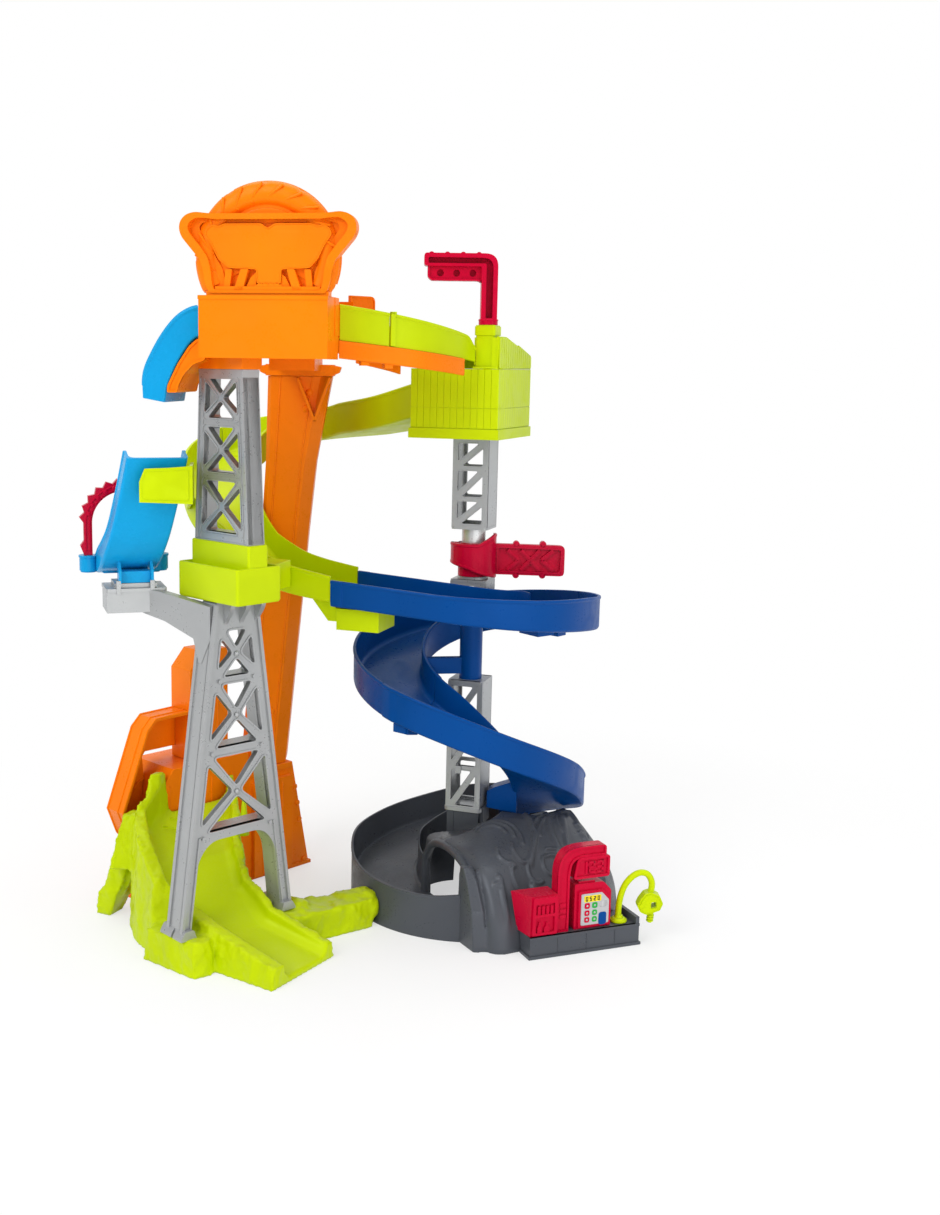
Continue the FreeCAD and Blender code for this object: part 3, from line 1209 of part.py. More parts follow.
def make_landing_wing():
    """Orange wing at the base's left end: an open chute wall with a window under its top bar."""
    x1 = BASE_TOWER_START - SEAT_GAP
    outline = [(x1, 205.0), (12.0, 204.0), (1.0, 193.0), (-31.0, 110.0), (-20.0, 82.0),
               (0.0, 56.0), (x1, 56.0)]
    window = [(14.0, 136.0), (x1 + 1.0, 136.0), (x1 + 1.0, 163.0), (16.0, 163.0), (12.0, 158.0)]
    sheet = slab(outline, 40.0, 43.0).cut(slab(window, 39.0, 44.0))
    edge = outline[:-1] + [(0.0, 60.0), (-17.5, 83.0), (-28.0, 110.0), (3.0, 191.0), (13.0, 201.0),
                           (x1, 202.0)]
    flange = slab(edge, 14.0, 43.0)
    wing = fused([sheet, flange])
    housing = slab(base_profile(SEAT_GAP), -5.0, BASE_DEEP + 5.0)
    return base_place(wing.cut(housing))


def rear_at(z):
    """Centre and width of the rear column at a height."""
    low = REAR_STATIONS[0]
    high = REAR_STATIONS[-1]
    for a, b in zip(REAR_STATIONS, REAR_STATIONS[1:]):
        if a[2] <= z <= b[2]:
            low, high = a, b
    share = (z - low[2]) / (high[2] - low[2])
    return [low[i] + (high[i] - low[i]) * share for i in (0, 1, 3)]


def make_rear_column():
    """Orange rear column that leans to the platform, with chamfered corners."""
    chamfer = 12.0
    wires = []
    for cx, cy, z, wide in REAR_STATIONS:
        a = wide / 2
        b = REAR_DEEP / 2
        points = [(-a, -b + 4), (-a + 4, -b), (a - chamfer, -b), (a, -b + chamfer), (a, b),
                  (-a + chamfer, b), (-a, b - chamfer)]
        wires.append(closed([Vec(cx + x, cy + y, z) for x, y in points]))
    return loft(wires)


def make_column_head():
    """Orange bracket from the rear column to the back of the platform."""
    x, y, wide = rear_at(REAR_STATIONS[-1][2])
    z0 = REAR_STATIONS[-1][2] + SEAT_GAP
    z1 = PLATFORM_Z + 6.0 - SEAT_GAP
    a = wide / 2 + 2.0
    b = REAR_DEEP / 2 + 3.0
    cap = block(x - a, x + a, y - b, y + b, z0, z0 + 12.0)
    beam = block(x - 22.0, x + 22.0, PLATFORM_Y + 104.0, y + b - 4.0, z0 + 6.0, z1)
    return fused([cap, beam])


def slide_section(row):
    """One section across the slide: the rock's outline and the trough's, both as closed wires."""
    wx, wy, west_top, floor, ex, ey, east_top = row
    wide = math.hypot(ex - wx, ey - wy)
    cx = (ex - wx) / wide
    cy = (ey - wy) / wide
    over = max(west_top, east_top) + 20.0
    rock = [(-WALL_SPREAD, 0.0), (wide + WALL_SPREAD, 0.0), (wide, east_top), (wide - EAST_WALL, east_top),
            (WEST_WALL, west_top), (0.0, west_top)]
    trough = [(WEST_WALL + 8.0, floor), (wide - EAST_WALL - 8.0, floor),
              (wide - EAST_WALL - 1.0, floor + 6.0), (wide - EAST_WALL, over), (WEST_WALL, over),
              (WEST_WALL + 1.0, floor + 6.0)]
    wires = []
    for outline in (rock, trough):
        wires.append(closed([Vec(wx + a * cx, wy + a * cy, z) for a, z in outline]))
    return wires


def level_loft(levels):
    return loft([closed([Vec(x, y, z) for x, y in points]) for z, points in levels])


def make_rock_base():
    """Lime rock slide with the A-frame's two pedestals, a splayed foot and the bridge to the hill."""
    sections = [slide_section(row) for row in SLIDE_SECTIONS]
    pieces = [loft([rock for rock, trough in sections])]
    for low, high in PEDESTALS:
        pieces.append(level_loft([(0.0, low), (FOOT_Z, high)]))
    pieces.append(prism(BRIDGE, 0.0, BRIDGE_TOP))
    pieces.append(level_loft(SPLAYED_FOOT))
    rock = fused(pieces).cut(loft([trough for rock, trough in sections]))
    housing_room = block(-SEAT_GAP, BASE_LONG + 5, -SEAT_GAP, BASE_DEEP + 60.0, -1.0, 300.0)
    wing_room = block(-60.0, 60.0, 14.0 - SEAT_GAP, BASE_DEEP, 56.0, 300.0)
    rock = rock.cut(base_place(housing_room)).cut(base_place(wing_room))
    grey_room = Part.makeCylinder(SPIRAL_RADIUS + LANE_OUTER + SEAT_GAP, 200.0, Vec(0, 0, -1))
    return rock.cut(grey_room)


def grey_wire(angle, inner_wall):
    """Section of the grey channel, whose outer wall stands on the floor of the room."""
    floor = height_at(GREY_HEIGHTS, angle, 1)
    rim = height_at(GREY_HEIGHTS, angle, 2)
    inner = SPIRAL_RADIUS - LANE / 2
    outer = SPIRAL_RADIUS + LANE / 2
    wall = LANE_WALL
    under = floor - LANE_FLOOR
    points = [(inner - wall, under), (outer, under), (outer, 0.0), (outer + wall, 0.0),
              (outer + wall, rim), (outer, rim), (outer, floor)]
    if inner_wall:
        points += [(inner, floor), (inner, rim + 4.0), (inner - wall, rim + 4.0)]
    else:
        points += [(inner - wall, floor)]
    out = direction(angle)
    return closed([Vec(r * out[0], r * out[1], z) for r, z in points])


def grey_skirt(angle):
    """Section of the skirt under the channel's inner wall."""
    inner = SPIRAL_RADIUS - LANE / 2
    under = height_at(GREY_HEIGHTS, angle, 1) - LANE_FLOOR / 2
    out = direction(angle)
    points = [(inner - LANE_WALL, 0.0), (inner, 0.0), (inner, under), (inner - LANE_WALL, under)]
    return closed([Vec(r * out[0], r * out[1], z) for r, z in points])


def make_grey_channel():
    """Grey channel round the column, with the column's pedestal."""
    start = GREY_HEIGHTS[0][0]
    end = GREY_HEIGHTS[-1][0]
    walled = loft([grey_wire(a, True) for a in steps(start, GREY_INNER_END, STEP_DEG)])
    open_part = loft([grey_wire(a, False) for a in steps(GREY_INNER_END, end, STEP_DEG)])
    skirt = loft([grey_skirt(a) for a in steps(GREY_SKIRT_START, GREY_INNER_END, STEP_DEG)])
    shelf_z = height_at(SPIRAL_HEIGHTS, SPIRAL_END_DEG) - SEAT_GAP
    shelf = block(SPIRAL_RADIUS - 30.0, SPIRAL_RADIUS + 30.0, 0.5, 8.0, 0.0, shelf_z)
    shelf = turned(shelf, SPIRAL_END_DEG - 360.0 * 2 - 3.0)
    half = PEDESTAL_SIDE / 2
    pedestal = turned(block(-half, half, -half, half, PEDESTAL_Z, COLUMN_FOOT_Z), COLUMN_TURN)
    core = block(CORE_X[0], CORE_X[1], -half + 4.0, half - 4.0, 0.0, PEDESTAL_Z + 5.0)
    rib = turned(block(0.0, SPIRAL_RADIUS - LANE / 2 - 1.0, -3.0, 3.0, 0.0, 66.0), 56.0)
    return fused([walled, open_part, skirt, shelf, pedestal, core, rib])


def make_hill(channel):
    """Grey hill shell with a slanting tunnel mouth, open below and at its back."""
    shell = level_loft(HILL_LEVELS)
    wires = []
    for z, points in HILL_LEVELS:
        inner = inset(points, HILL_SKIN)
        inner[0] = (inner[0][0], 10.0)
        inner[-1] = (inner[-1][0], 10.0)
        level = z - 1.0 if z == 0.0 else z
        if z == HILL_LEVELS[-1][0]:
            level = HILL_TOP - HILL_SKIN
        wires.append(closed([Vec(x, y, level) for x, y in inner]))
    shell = shell.cut(loft(wires))
    dx = MOUTH_END[0] - MOUTH_START[0]
    dy = MOUTH_END[1] - MOUTH_START[1]
    turn = math.degrees(math.atan2(dy, dx))
    mouth = turned(slab(MOUTH_ARCH, -30.0, 50.0), turn, MOUTH_START[0], MOUTH_START[1])
    shell = shell.cut(mouth)
    hill = fused([shell, level_loft(BUTTRESS)]).cut(channel)
    return sorted(hill.Solids, key=lambda solid: solid.Volume)[-1]


def make_tray():
    """Grey tray of the fuel station, open below and cut along the hill."""
    tray = block(0.0, TRAY_LONG, 0.0, TRAY_DEEP, 0.0, TRAY_TALL)
    tray = tray.cut(block(SHELL, TRAY_LONG - SHELL, SHELL, TRAY_DEEP - SHELL, -1.0, TRAY_TALL - SHELL))
    foot = block(-1.5, TRAY_LONG + 1.5, -1.5, TRAY_DEEP, 0.0, 3.0)
    foot = foot.cut(block(SHELL, TRAY_LONG - SHELL, SHELL, TRAY_DEEP, -1.0, 4.0))
    end = block(TRAY_LONG - 4.0, TRAY_LONG, 0.0, TRAY_DEEP, TRAY_TALL - 1.0, TRAY_TALL + 7.0)
    tray = station_place(fused([tray, foot, end]))
    pin_hole = Part.makeCylinder(NECK_PIN_R + TURN_GAP, 10.0, Vec(NECK_X, NECK_Y, TRAY_TALL - 6.0))
    cleared = tray.cut(level_loft(HILL_LEVELS)).cut(pin_hole)
    return sorted(cleared.Solids, key=lambda solid: solid.Volume)[-1]


def station_place(shape):
    return turned(shape, TRAY_TURN, TRAY_CORNER[0], TRAY_CORNER[1])


def make_cabinet():
    """Red cabinet with a shelf and bottles in relief."""
    z0 = TRAY_TALL
    z1 = z0 + 41.0
    cabinet = block(1.0, 30.0, 3.0, 26.0, z0, z1)
    cabinet = cabinet.cut(block(4.0, 27.0, 2.0, 5.0, z0 + 22.0, z1 - 4.0))
    cabinet = cabinet.cut(block(4.0, 27.0, 2.0, 5.0, z0 + 4.0, z0 + 20.0))
    goods = []
    for i in range(4):
        goods.append(block(6.0 + 5.0 * i, 9.5 + 5.0 * i, 3.6, 5.5, z0 + 22.0, z0 + 33.0))
    for x, r, tall in ((9.5, 3.0, 12.0), (19.5, 4.5, 10.0)):
        goods.append(Part.makeCylinder(r, tall, Vec(x, 6.5, z0 + 4.0)))
    return station_place(fused([cabinet] + goods))


def make_station_post():
    """Red post that bends over the pump."""
    z0 = TRAY_TALL
    top = z0 + POST_TALL
    outline = [(31.0, z0), (44.0, z0), (44.0, top - 24.0), (48.0, top - 14.0), (56.0, top - 11.0),
               (84.0, top - 11.0), (84.0, top - 4.0), (80.0, top), (50.0, top), (38.0, top - 6.0),
               (31.0, top - 18.0)]
    return station_place(slab(outline, 6.0, 18.0))


def make_station_sign():
    """Red hanging board with plain numbers left to the finish."""
    top = TRAY_TALL + POST_TALL - 11.0
    z0 = top - 22.0
    board = slab([(48.0, z0), (88.0, z0), (88.0, top), (56.5, top), (48.0, top - 4.0)], 4.0, 15.0)
    board = board.cut(block(51.0, 85.0, 3.0, 5.5, z0 + 3.0, top - 4.5))
    return station_place(board)


def make_pump():
    """Red pump with a raised front for its panel."""
    z0 = TRAY_TALL
    pump = slab([(51.0, z0), (92.0, z0), (92.0, z0 + 38.0), (84.0, z0 + 47.0), (51.0, z0 + 47.0)], 4.0, 24.0)
    return station_place(pump)


def make_pump_panel():
    """Thin printed panel on the pump's front."""
    z0 = TRAY_TALL + 5.0
    panel = slab([(57.0, z0), (88.0, z0), (88.0, z0 + 28.0), (80.0, z0 + 37.0), (57.0, z0 + 37.0)], 3.2, 4.0)
    return station_place(panel)


def make_gooseneck():
    """Lime neck that turns on the tray: pin, flange and a bent tube."""
    z0 = TRAY_TALL + SEAT_GAP
    flange = Part.makeCylinder(8.5, 3.5, Vec(0, 0, z0))
    pin = Part.makeCylinder(NECK_PIN_R, SHELL + 4.0, Vec(0, 0, z0 + 1.0 - SHELL - 4.0))
    bend = NECK_REACH / 2
    z1 = NECK_TOP - bend
    line = [Part.LineSegment(Vec(0, 0, z0 + 2.0), Vec(0, 0, z1)),
            Part.Arc(Vec(0, 0, z1), Vec(bend, 0, NECK_TOP), Vec(NECK_REACH, 0, z1)),
            Part.LineSegment(Vec(NECK_REACH, 0, z1), Vec(NECK_REACH, 0, z1 - 8.0))]
    path = Part.Wire([piece.toShape() for piece in line])
    ring = Part.Wire([Part.Circle(Vec(0, 0, z0 + 2.0), Vec(0, 0, 1), NECK_R).toShape()])
    tube = path.makePipeShell([ring], True, False)
    return turned(fused([flange, pin, tube]), 0.0, NECK_X, NECK_Y)


def make_nozzle():
    """Lime nozzle at the neck's end: a rounded body, a grip and a spout."""
    top = NECK_TOP - NECK_REACH / 2 - 8.0
    body = Part.makeCylinder(11.0, 12.0, Vec(NECK_REACH - 1.0, 6.0, top - 9.0), Vec(0, -1, 0))
    ear = block(NECK_REACH + 4.0, NECK_REACH + 16.0, -5.0, 5.0, top - 12.0, top - 4.0)
    spout = Part.makeCylinder(3.6, 12.0, Vec(NECK_REACH + 4.0, 0, top - 28.5))
    nozzle = fused([body, ear, spout])
    nozzle = nozzle.cut(block(NECK_REACH - 6.0, NECK_REACH + 6.0, -7.0, 7.0, top, top + 20.0))
    return turned(nozzle, 0.0, NECK_X, NECK_Y)


def make_clip():
    """Lime clip from the hairpin's wall, past the tower, to the back of the landing ramp."""
    tab = slab([(-320.0, 447.0), (-271.0, 446.0), (-271.0, 481.0), (-294.0, 479.0), (-315.0, 478.0),
                (-320.0, 466.0)], -184.0, -180.5)
    pieces = [tab]
    path = [(-272.5, -182.0, 446.0, 481.0), (-277.5, -137.0, 446.0, 481.0), (-306.0, 34.0, 418.0, 444.0)]
    for (x0, y0, low0, high0), (x1, y1, low1, high1) in zip(path, path[1:]):
        run = math.hypot(x1 - x0, y1 - y0)
        plate = slab([(-1.0, low0), (run + 1.0, low1), (run + 1.0, high1), (-1.0, high0)], -1.5, 1.5)
        pieces.append(turned(plate, math.degrees(math.atan2(y1 - y0, x1 - x0)), x0, y0))
    clip = fused(pieces)
    bend_room = Part.makeCylinder(
        SPIRAL_RADIUS + LANE_OUTER + SEAT_GAP, 200.0, Vec(LOOP_X, LOOP_Y, 380.0))
    return clip.cut(bend_room)


def build():
    """Every node's name and shape."""
    nodes = {}
    nodes["rock_base"] = make_rock_base()
    nodes["lower_tower_frame"] = make_lower_frame()
    nodes["tower_collar"] = make_collar()
    nodes["collar_arm"] = make_collar_arm()
    nodes["upper_tower_frame"] = make_upper_truss()
    nodes["platform_socket"] = make_platform_socket()
    nodes["top_platform"] = make_platform()
    nodes["tyre_sign"] = make_sign()
    nodes["top_ramp"] = make_top_ramp()
    nodes["ramp_bracket"] = make_ramp_bracket()
    nodes["landing_ramp"] = make_landing_ramp()
    nodes["flame_arch"] = make_flame_arch()
    nodes["ramp_arm"] = make_ramp_arm()
    nodes["ramp_clip"] = make_clip()
    nodes["base_housing"] = make_base_housing()
    nodes["base_tower"] = make_base_tower()
    nodes["landing_wing"] = make_landing_wing()
    nodes["rear_column"] = make_rear_column()
    nodes["column_head"] = make_column_head()
    nodes["deck"] = make_deck()
    nodes["near_rail_start"] = rail(DECK_OUTER_R - RAIL_INSET - RAIL_THICK, DECK_START_DEG, RAIL_SEAM_DEG)
    nodes["near_rail_end"] = rail(DECK_OUTER_R - RAIL_INSET - RAIL_THICK, RAIL_SEAM_DEG + 0.3, DECK_END_DEG)
    nodes["deck_guard"] = make_deck_guard()
    nodes["far_rail"] = rail(DECK_INNER_R + RAIL_INSET, GUARD_END_DEG + 0.4, DECK_END_DEG)
    nodes["house_body"] = make_house_body()
    nodes["house_top"] = make_house_top()
    nodes["lever"] = make_lever()
    nodes["lever_clip"] = make_lever_clip()
    nodes["upper_column_frame"] = capped_frame(UPPER_FRAME_Z, HOUSE_Z, 3)
    nodes["steel_tube"] = Part.makeCylinder(
        STEEL_TUBE_R, UPPER_FRAME_Z - MID_FRAME_TOP, Vec(0, 0, MID_FRAME_TOP))
    nodes["middle_column_frame"] = capped_frame(MID_FRAME_Z, MID_FRAME_TOP, 1)
    nodes["spiral_post"] = make_spiral_post()
    nodes["lower_column_frame"] = capped_frame(COLUMN_FOOT_Z, COLUMN_LOWER_TOP, 3)
    nodes["gate_arm"] = make_gate_arm()
    nodes["hairpin_upper"] = make_upper_hairpin()
    nodes["hairpin_lower"] = make_lower_hairpin()
    nodes["spiral_entry"] = make_spiral_entry()
    nodes["spiral_upper"] = make_upper_spiral()
    nodes["spiral_lower"] = make_lower_spiral()
    nodes["grey_channel"] = make_grey_channel()
    nodes["hill"] = make_hill(nodes["grey_channel"])
    nodes["station_tray"] = make_tray()
    nodes["cabinet"] = make_cabinet()
    nodes["station_post"] = make_station_post()
    nodes["station_board"] = make_station_sign()
    nodes["pump"] = make_pump()
    nodes["pump_panel"] = make_pump_panel()
    nodes["gooseneck"] = make_gooseneck()
    nodes["nozzle"] = make_nozzle()
    return nodes


os.makedirs("parts", exist_ok=True)
for name, shape in build().items():
    shape.exportStep(os.path.join("parts", name + ".step"))
    print(name, "solids", len(shape.Solids), "valid", shape.isValid(), "volume", round(shape.Volume))
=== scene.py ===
import json
import math

import bmesh
import bpy
from mathutils import Matrix, Vector, noise


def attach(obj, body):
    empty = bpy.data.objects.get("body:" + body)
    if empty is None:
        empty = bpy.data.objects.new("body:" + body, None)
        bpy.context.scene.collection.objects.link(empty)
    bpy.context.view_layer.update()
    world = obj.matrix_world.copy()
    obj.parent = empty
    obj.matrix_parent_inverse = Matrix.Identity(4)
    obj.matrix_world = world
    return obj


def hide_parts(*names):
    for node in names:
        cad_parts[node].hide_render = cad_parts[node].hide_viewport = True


# Looks of the toy race track. Metres in the scene, and millimetres in the numbers below, which
# MM turns into metres. The frame is the CAD part's: +X right, +Y away from the camera, +Z up.

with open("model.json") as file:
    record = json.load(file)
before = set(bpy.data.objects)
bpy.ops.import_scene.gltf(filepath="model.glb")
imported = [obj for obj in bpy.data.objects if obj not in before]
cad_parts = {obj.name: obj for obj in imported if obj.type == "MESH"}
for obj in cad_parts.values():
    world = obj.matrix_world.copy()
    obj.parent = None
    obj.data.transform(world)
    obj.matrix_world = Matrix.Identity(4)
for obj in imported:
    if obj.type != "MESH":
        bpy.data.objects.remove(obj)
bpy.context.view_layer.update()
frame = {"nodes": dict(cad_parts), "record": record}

MM = 0.001
METAL_FROM = 0.4

# Camera, found from the photo
CAMERA_PLACE = (-98.0, -1465.0, 574.0)
CAMERA_DOWN_DEG = 9.1
CAMERA_ROLL_DEG = 0.8
CAMERA_LENS = 41.48
CAMERA_SHIFT = (0.0741, -0.0144)

# Base colour in linear light, how rough and how metallic the plastic is
FINISHES = {
    "orange": ((0.96, 0.212, 0.002), 0.33, 0.0),
    "lime": ((0.52, 0.655, 0.0005), 0.35, 0.0),
    "silver": ((0.40, 0.41, 0.415), 0.30, 0.45),
    "red": ((0.53, 0.0008, 0.030), 0.26, 0.0),
    "deep_blue": ((0.0002, 0.056, 0.250), 0.34, 0.0),
    "light_blue": ((0.006, 0.33, 0.68), 0.25, 0.0),
    "grey": ((0.070, 0.076, 0.088), 0.34, 0.0),
    "steel": ((0.58, 0.59, 0.59), 0.28, 0.5),
    "panel": ((0.46, 0.46, 0.47), 0.42, 0.0),
    "yellow": ((0.88, 0.70, 0.02), 0.40, 0.0),
    "ink": ((0.02, 0.02, 0.022), 0.45, 0.0),
    "green_ink": ((0.03, 0.36, 0.06), 0.42, 0.0),
}

# Sizes shared with the CAD part
HOUSE_TURN = -22.0
HOUSE_X = -6.0
HOUSE_Y = -2.0
HOUSE_WIDE = 92.0
HOUSE_DEEP = 112.0
HOUSE_Z = 502.5
HOUSE_EAVE = 572.0
HOUSE_BACK_TOP = 586.0
HOUSE_RIDGE = 604.0
CHIMNEY_TOP = 615.0
CHIMNEY_X = 30.0
CHIMNEY_Y = -43.5
CHIMNEY_HALF = 10.75


# Materials

def math_node(tree, operation, a, b):
    node = tree.nodes.new("ShaderNodeMath")
    node.operation = operation
    for socket, value in zip(node.inputs, (a, b)):
        if isinstance(value, (int, float)):
            socket.default_value = value
        else:
            tree.links.new(value, socket)
    return node.outputs[0]


def noise_node(tree, vector, scale, detail=3.0, distortion=0.0):
    node = tree.nodes.new("ShaderNodeTexNoise")
    node.inputs["Scale"].default_value = scale
    node.inputs["Detail"].default_value = detail
    node.inputs["Distortion"].default_value = distortion
    tree.links.new(vector, node.inputs["Vector"])
    return node.outputs["Fac"]


def ranged(tree, value, low, high, out_low, out_high):
    node = tree.nodes.new("ShaderNodeMapRange")
    tree.links.new(value, node.inputs["Value"])
    limits = (("From Min", low), ("From Max", high), ("To Min", out_low), ("To Max", out_high))
    for name, amount in limits:
        node.inputs[name].default_value = amount
    return node.outputs["Result"]


def mixed(tree, share, first, second):
    node = tree.nodes.new("ShaderNodeMix")
    node.data_type = "RGBA"
    colours = [s for s in node.inputs if s.type == "RGBA"]
    for socket, value in zip((node.inputs[0], colours[0], colours[1]), (share, first, second)):
        if isinstance(value, (int, float)):
            socket.default_value = value
        elif isinstance(value, tuple):
            socket.default_value = (*value, 1.0)
        else:
            tree.links.new(value, socket)
    return [s for s in node.outputs if s.type == "RGBA"][0]


def moulded_plastic(name, colour, roughness, metallic):
    """Moulded plastic: cloudy colour, rubbed edges, painted shade in seams and creases, dust on top, scuffs
    and a fine grain.
    """
    material = bpy.data.materials.new("looks_" + name)
    material.use_nodes = True
    tree = material.node_tree
    shader = tree.nodes["Principled BSDF"]
    place = tree.nodes.new("ShaderNodeTexCoord").outputs["Object"]
    surface = tree.nodes.new("ShaderNodeNewGeometry")

    metal = metallic >= METAL_FROM
    cloud = noise_node(tree, place, 9.0, 4.0, 0.4)
    speck = noise_node(tree, place, 420.0, 2.0)
    grain = noise_node(tree, place, 1500.0, 2.0)
    smear = noise_node(tree, place, 38.0, 5.0, 1.2)

    deep = tuple(c * (0.96 if metal else 0.91) for c in colour)
    light = tuple(min(1.0, c * 1.05) for c in colour)
    shade = mixed(tree, ranged(tree, cloud, 0.35, 0.65, 0.0, 1.0), deep, light)

    worn = tuple(min(1.0, c * 1.18 + 0.008) for c in colour)
    edge = ranged(tree, surface.outputs["Pointiness"], 0.53, 0.64, 0.0, 0.22)
    edge = math_node(tree, "MULTIPLY", edge, ranged(tree, smear, 0.42, 0.60, 0.1, 1.0))
    shade = mixed(tree, edge, shade, worn)

    # Painted shade: ambient occlusion darkens creases, seams and hollows toward half the base colour, on
    # plastics only.
    if not metal:
        corner = tree.nodes.new("ShaderNodeAmbientOcclusion")
        corner.samples = 8
        corner.inputs["Distance"].default_value = 0.005
        hollow = ranged(tree, corner.outputs["AO"], 0.20, 0.75, 0.20, 0.0)
        shade = mixed(tree, hollow, shade, tuple(c * 0.5 for c in colour))

    split = tree.nodes.new("ShaderNodeSeparateXYZ")
    tree.links.new(surface.outputs["Normal"], split.inputs[0])
    upward = ranged(tree, split.outputs["Z"], 0.6, 1.0, 0.0, 0.035)
    dust = math_node(tree, "MULTIPLY", upward, ranged(tree, speck, 0.35, 0.75, 0.2, 1.0))
    shade = mixed(tree, dust, shade, (0.74, 0.72, 0.69))
    tree.links.new(shade, shader.inputs["Base Color"])

    wear = 0.03 if metal else 0.11
    scuff = ranged(tree, smear, 0.42, 0.72, roughness - wear / 2, roughness + wear)
    tree.links.new(math_node(tree, "ADD", scuff, ranged(tree, speck, 0.3, 0.7, -0.02, 0.03)),
                   shader.inputs["Roughness"])
    shader.inputs["Metallic"].default_value = metallic
    shader.inputs["IOR"].default_value = 1.47
    strongest = max(colour)
    tint = tuple(0.22 + 0.78 * c / strongest for c in colour)
    shader.inputs["Specular Tint"].default_value = (*tint, 1.0)
    facing = tree.nodes.new("ShaderNodeLayerWeight").outputs["Facing"]
    tree.links.new(ranged(tree, facing, 0.45, 0.9, 0.36, 0.03), shader.inputs["Specular IOR Level"])

    bump = tree.nodes.new("ShaderNodeBump")
    bump.inputs["Strength"].default_value = 0.02 if metal else 0.14
    bump.inputs["Distance"].default_value = 0.00012
    height = cloud
    if not metal:
        height = math_node(tree, "ADD", grain, math_node(tree, "MULTIPLY", smear, 1.8))
    tree.links.new(height, bump.inputs["Height"])
    tree.links.new(bump.outputs["Normal"], shader.inputs["Normal"])
    return material


MATERIALS = {}
for slot_name, (base, rough, metal) in FINISHES.items():
    MATERIALS[slot_name] = moulded_plastic(slot_name, base, rough, metal)


def smooth_faces(mesh):
    mesh.polygons.foreach_set("use_smooth", [True] * len(mesh.polygons))


def linked(name, data):
    """A new object of the scene that holds the data."""
    made = bpy.data.objects.new(name, data)
    bpy.context.scene.collection.objects.link(made)
    return made


def evaluated_mesh(holder):
    """The object's mesh with its modifiers applied."""
    bpy.context.view_layer.update()
    return bpy.data.meshes.new_from_object(holder.evaluated_get(bpy.context.evaluated_depsgraph_get()))


def soften(piece, width=0.7, angle=24.0, segments=2):
    """Rounded edges and smooth faces on a piece made of flat ones."""
    smooth_faces(piece.data)
    weld = piece.modifiers.new("join", "WELD")
    weld.merge_threshold = 0.00002
    bevel = piece.modifiers.new("round_edges", "BEVEL")
    bevel.width = width * MM
    bevel.segments = segments
    bevel.limit_method = "ANGLE"
    bevel.angle_limit = math.radians(angle)
    bevel.miter_outer = "MITER_ARC"
    weighted = piece.modifiers.new("flat_faces", "WEIGHTED_NORMAL")
    weighted.weight = 80
    weighted.keep_sharp = False


# Mesh helpers. Every builder works in millimetres.

LANE_HALF = 37.5
LANE_WALL = 2.5

STILL = Matrix.Identity(4)


def placed(x=0.0, y=0.0, turn=0.0, z=0.0):
    """A place in the row frame: turned about +Z, then moved."""
    return Matrix.Translation((x, y, z)) @ Matrix.Rotation(math.radians(turn), 4, "Z")


def direction(degrees):
    return math.cos(math.radians(degrees)), math.sin(math.radians(degrees))


def steps(start, end, pitch):
    count = max(1, int(math.ceil(abs(end - start) / pitch)))
    return [start + (end - start) * i / count for i in range(count + 1)]


def clamped(value):
    return min(max(value, 0.0), 1.0)


def smooth_share(value, low, high):
    t = clamped((value - low) / (high - low))
    return t * t * (3.0 - 2.0 * t)


def between(table, where, column=1):
    """A smooth value between the rows of a table."""
    last = len(table) - 1
    index = 0
    while index < last - 1 and where > table[index + 1][0]:
        index += 1

    def slope(i):
        low, high = max(i - 1, 0), min(i + 1, last)
        return (table[high][column] - table[low][column]) / (table[high][0] - table[low][0])

    span = table[index + 1][0] - table[index][0]
    t = clamped((where - table[index][0]) / span)
    a, b = table[index][column], table[index + 1][column]
    ma, mb = slope(index) * span, slope(index + 1) * span
    return ((2 * t ** 3 - 3 * t ** 2 + 1) * a + (t ** 3 - 2 * t ** 2 + t) * ma
            + (3 * t ** 2 - 2 * t ** 3) * b + (t ** 3 - t ** 2) * mb)


def rounded(points, radius, count=5):
    """The outline with its corners rounded. The radius is one value or one for each corner."""
    radii = radius if isinstance(radius, (list, tuple)) else [radius] * len(points)
    made = []
    for i, (x, y) in enumerate(points):
        here = Vector((x, y))
        back = Vector(points[i - 1]) - here
        ahead = Vector(points[(i + 1) % len(points)]) - here
        if radii[i] < 0.05:
            made.append((x, y))
            continue
        a = back.normalized() * min(radii[i], back.length * 0.48)
        b = ahead.normalized() * min(radii[i], ahead.length * 0.48)
        for k in range(count + 1):
            t = k / count
            spot = here + a * (1 - t) ** 2 + b * t ** 2
            made.append((spot.x, spot.y))
    return made


def oblong(x0, z0, x1, z1):
    return [(x0, z0), (x1, z0), (x1, z1), (x0, z1)]


def arc(cx, cy, radius, start, end, count):
    spots = []
    for i in range(count + 1):
        c, s = direction(start + (end - start) * i / count)
        spots.append((cx + radius * c, cy + radius * s))
    return spots


def add_rows(kit, rows, caps=True, closed=True):
    """Faces between rows of points, each row a loop with the same number of points."""
    made = [[kit.verts.new(p) for p in row] for row in rows]
    for low, high in zip(made, made[1:]):
        count = len(low)
        for i in range(count if closed else count - 1):
            j = (i + 1) % count
            kit.faces.new((low[i], low[j], high[j], high[i]))
    if caps:
        kit.faces.new(made[0])
        kit.faces.new(list(reversed(made[-1])))


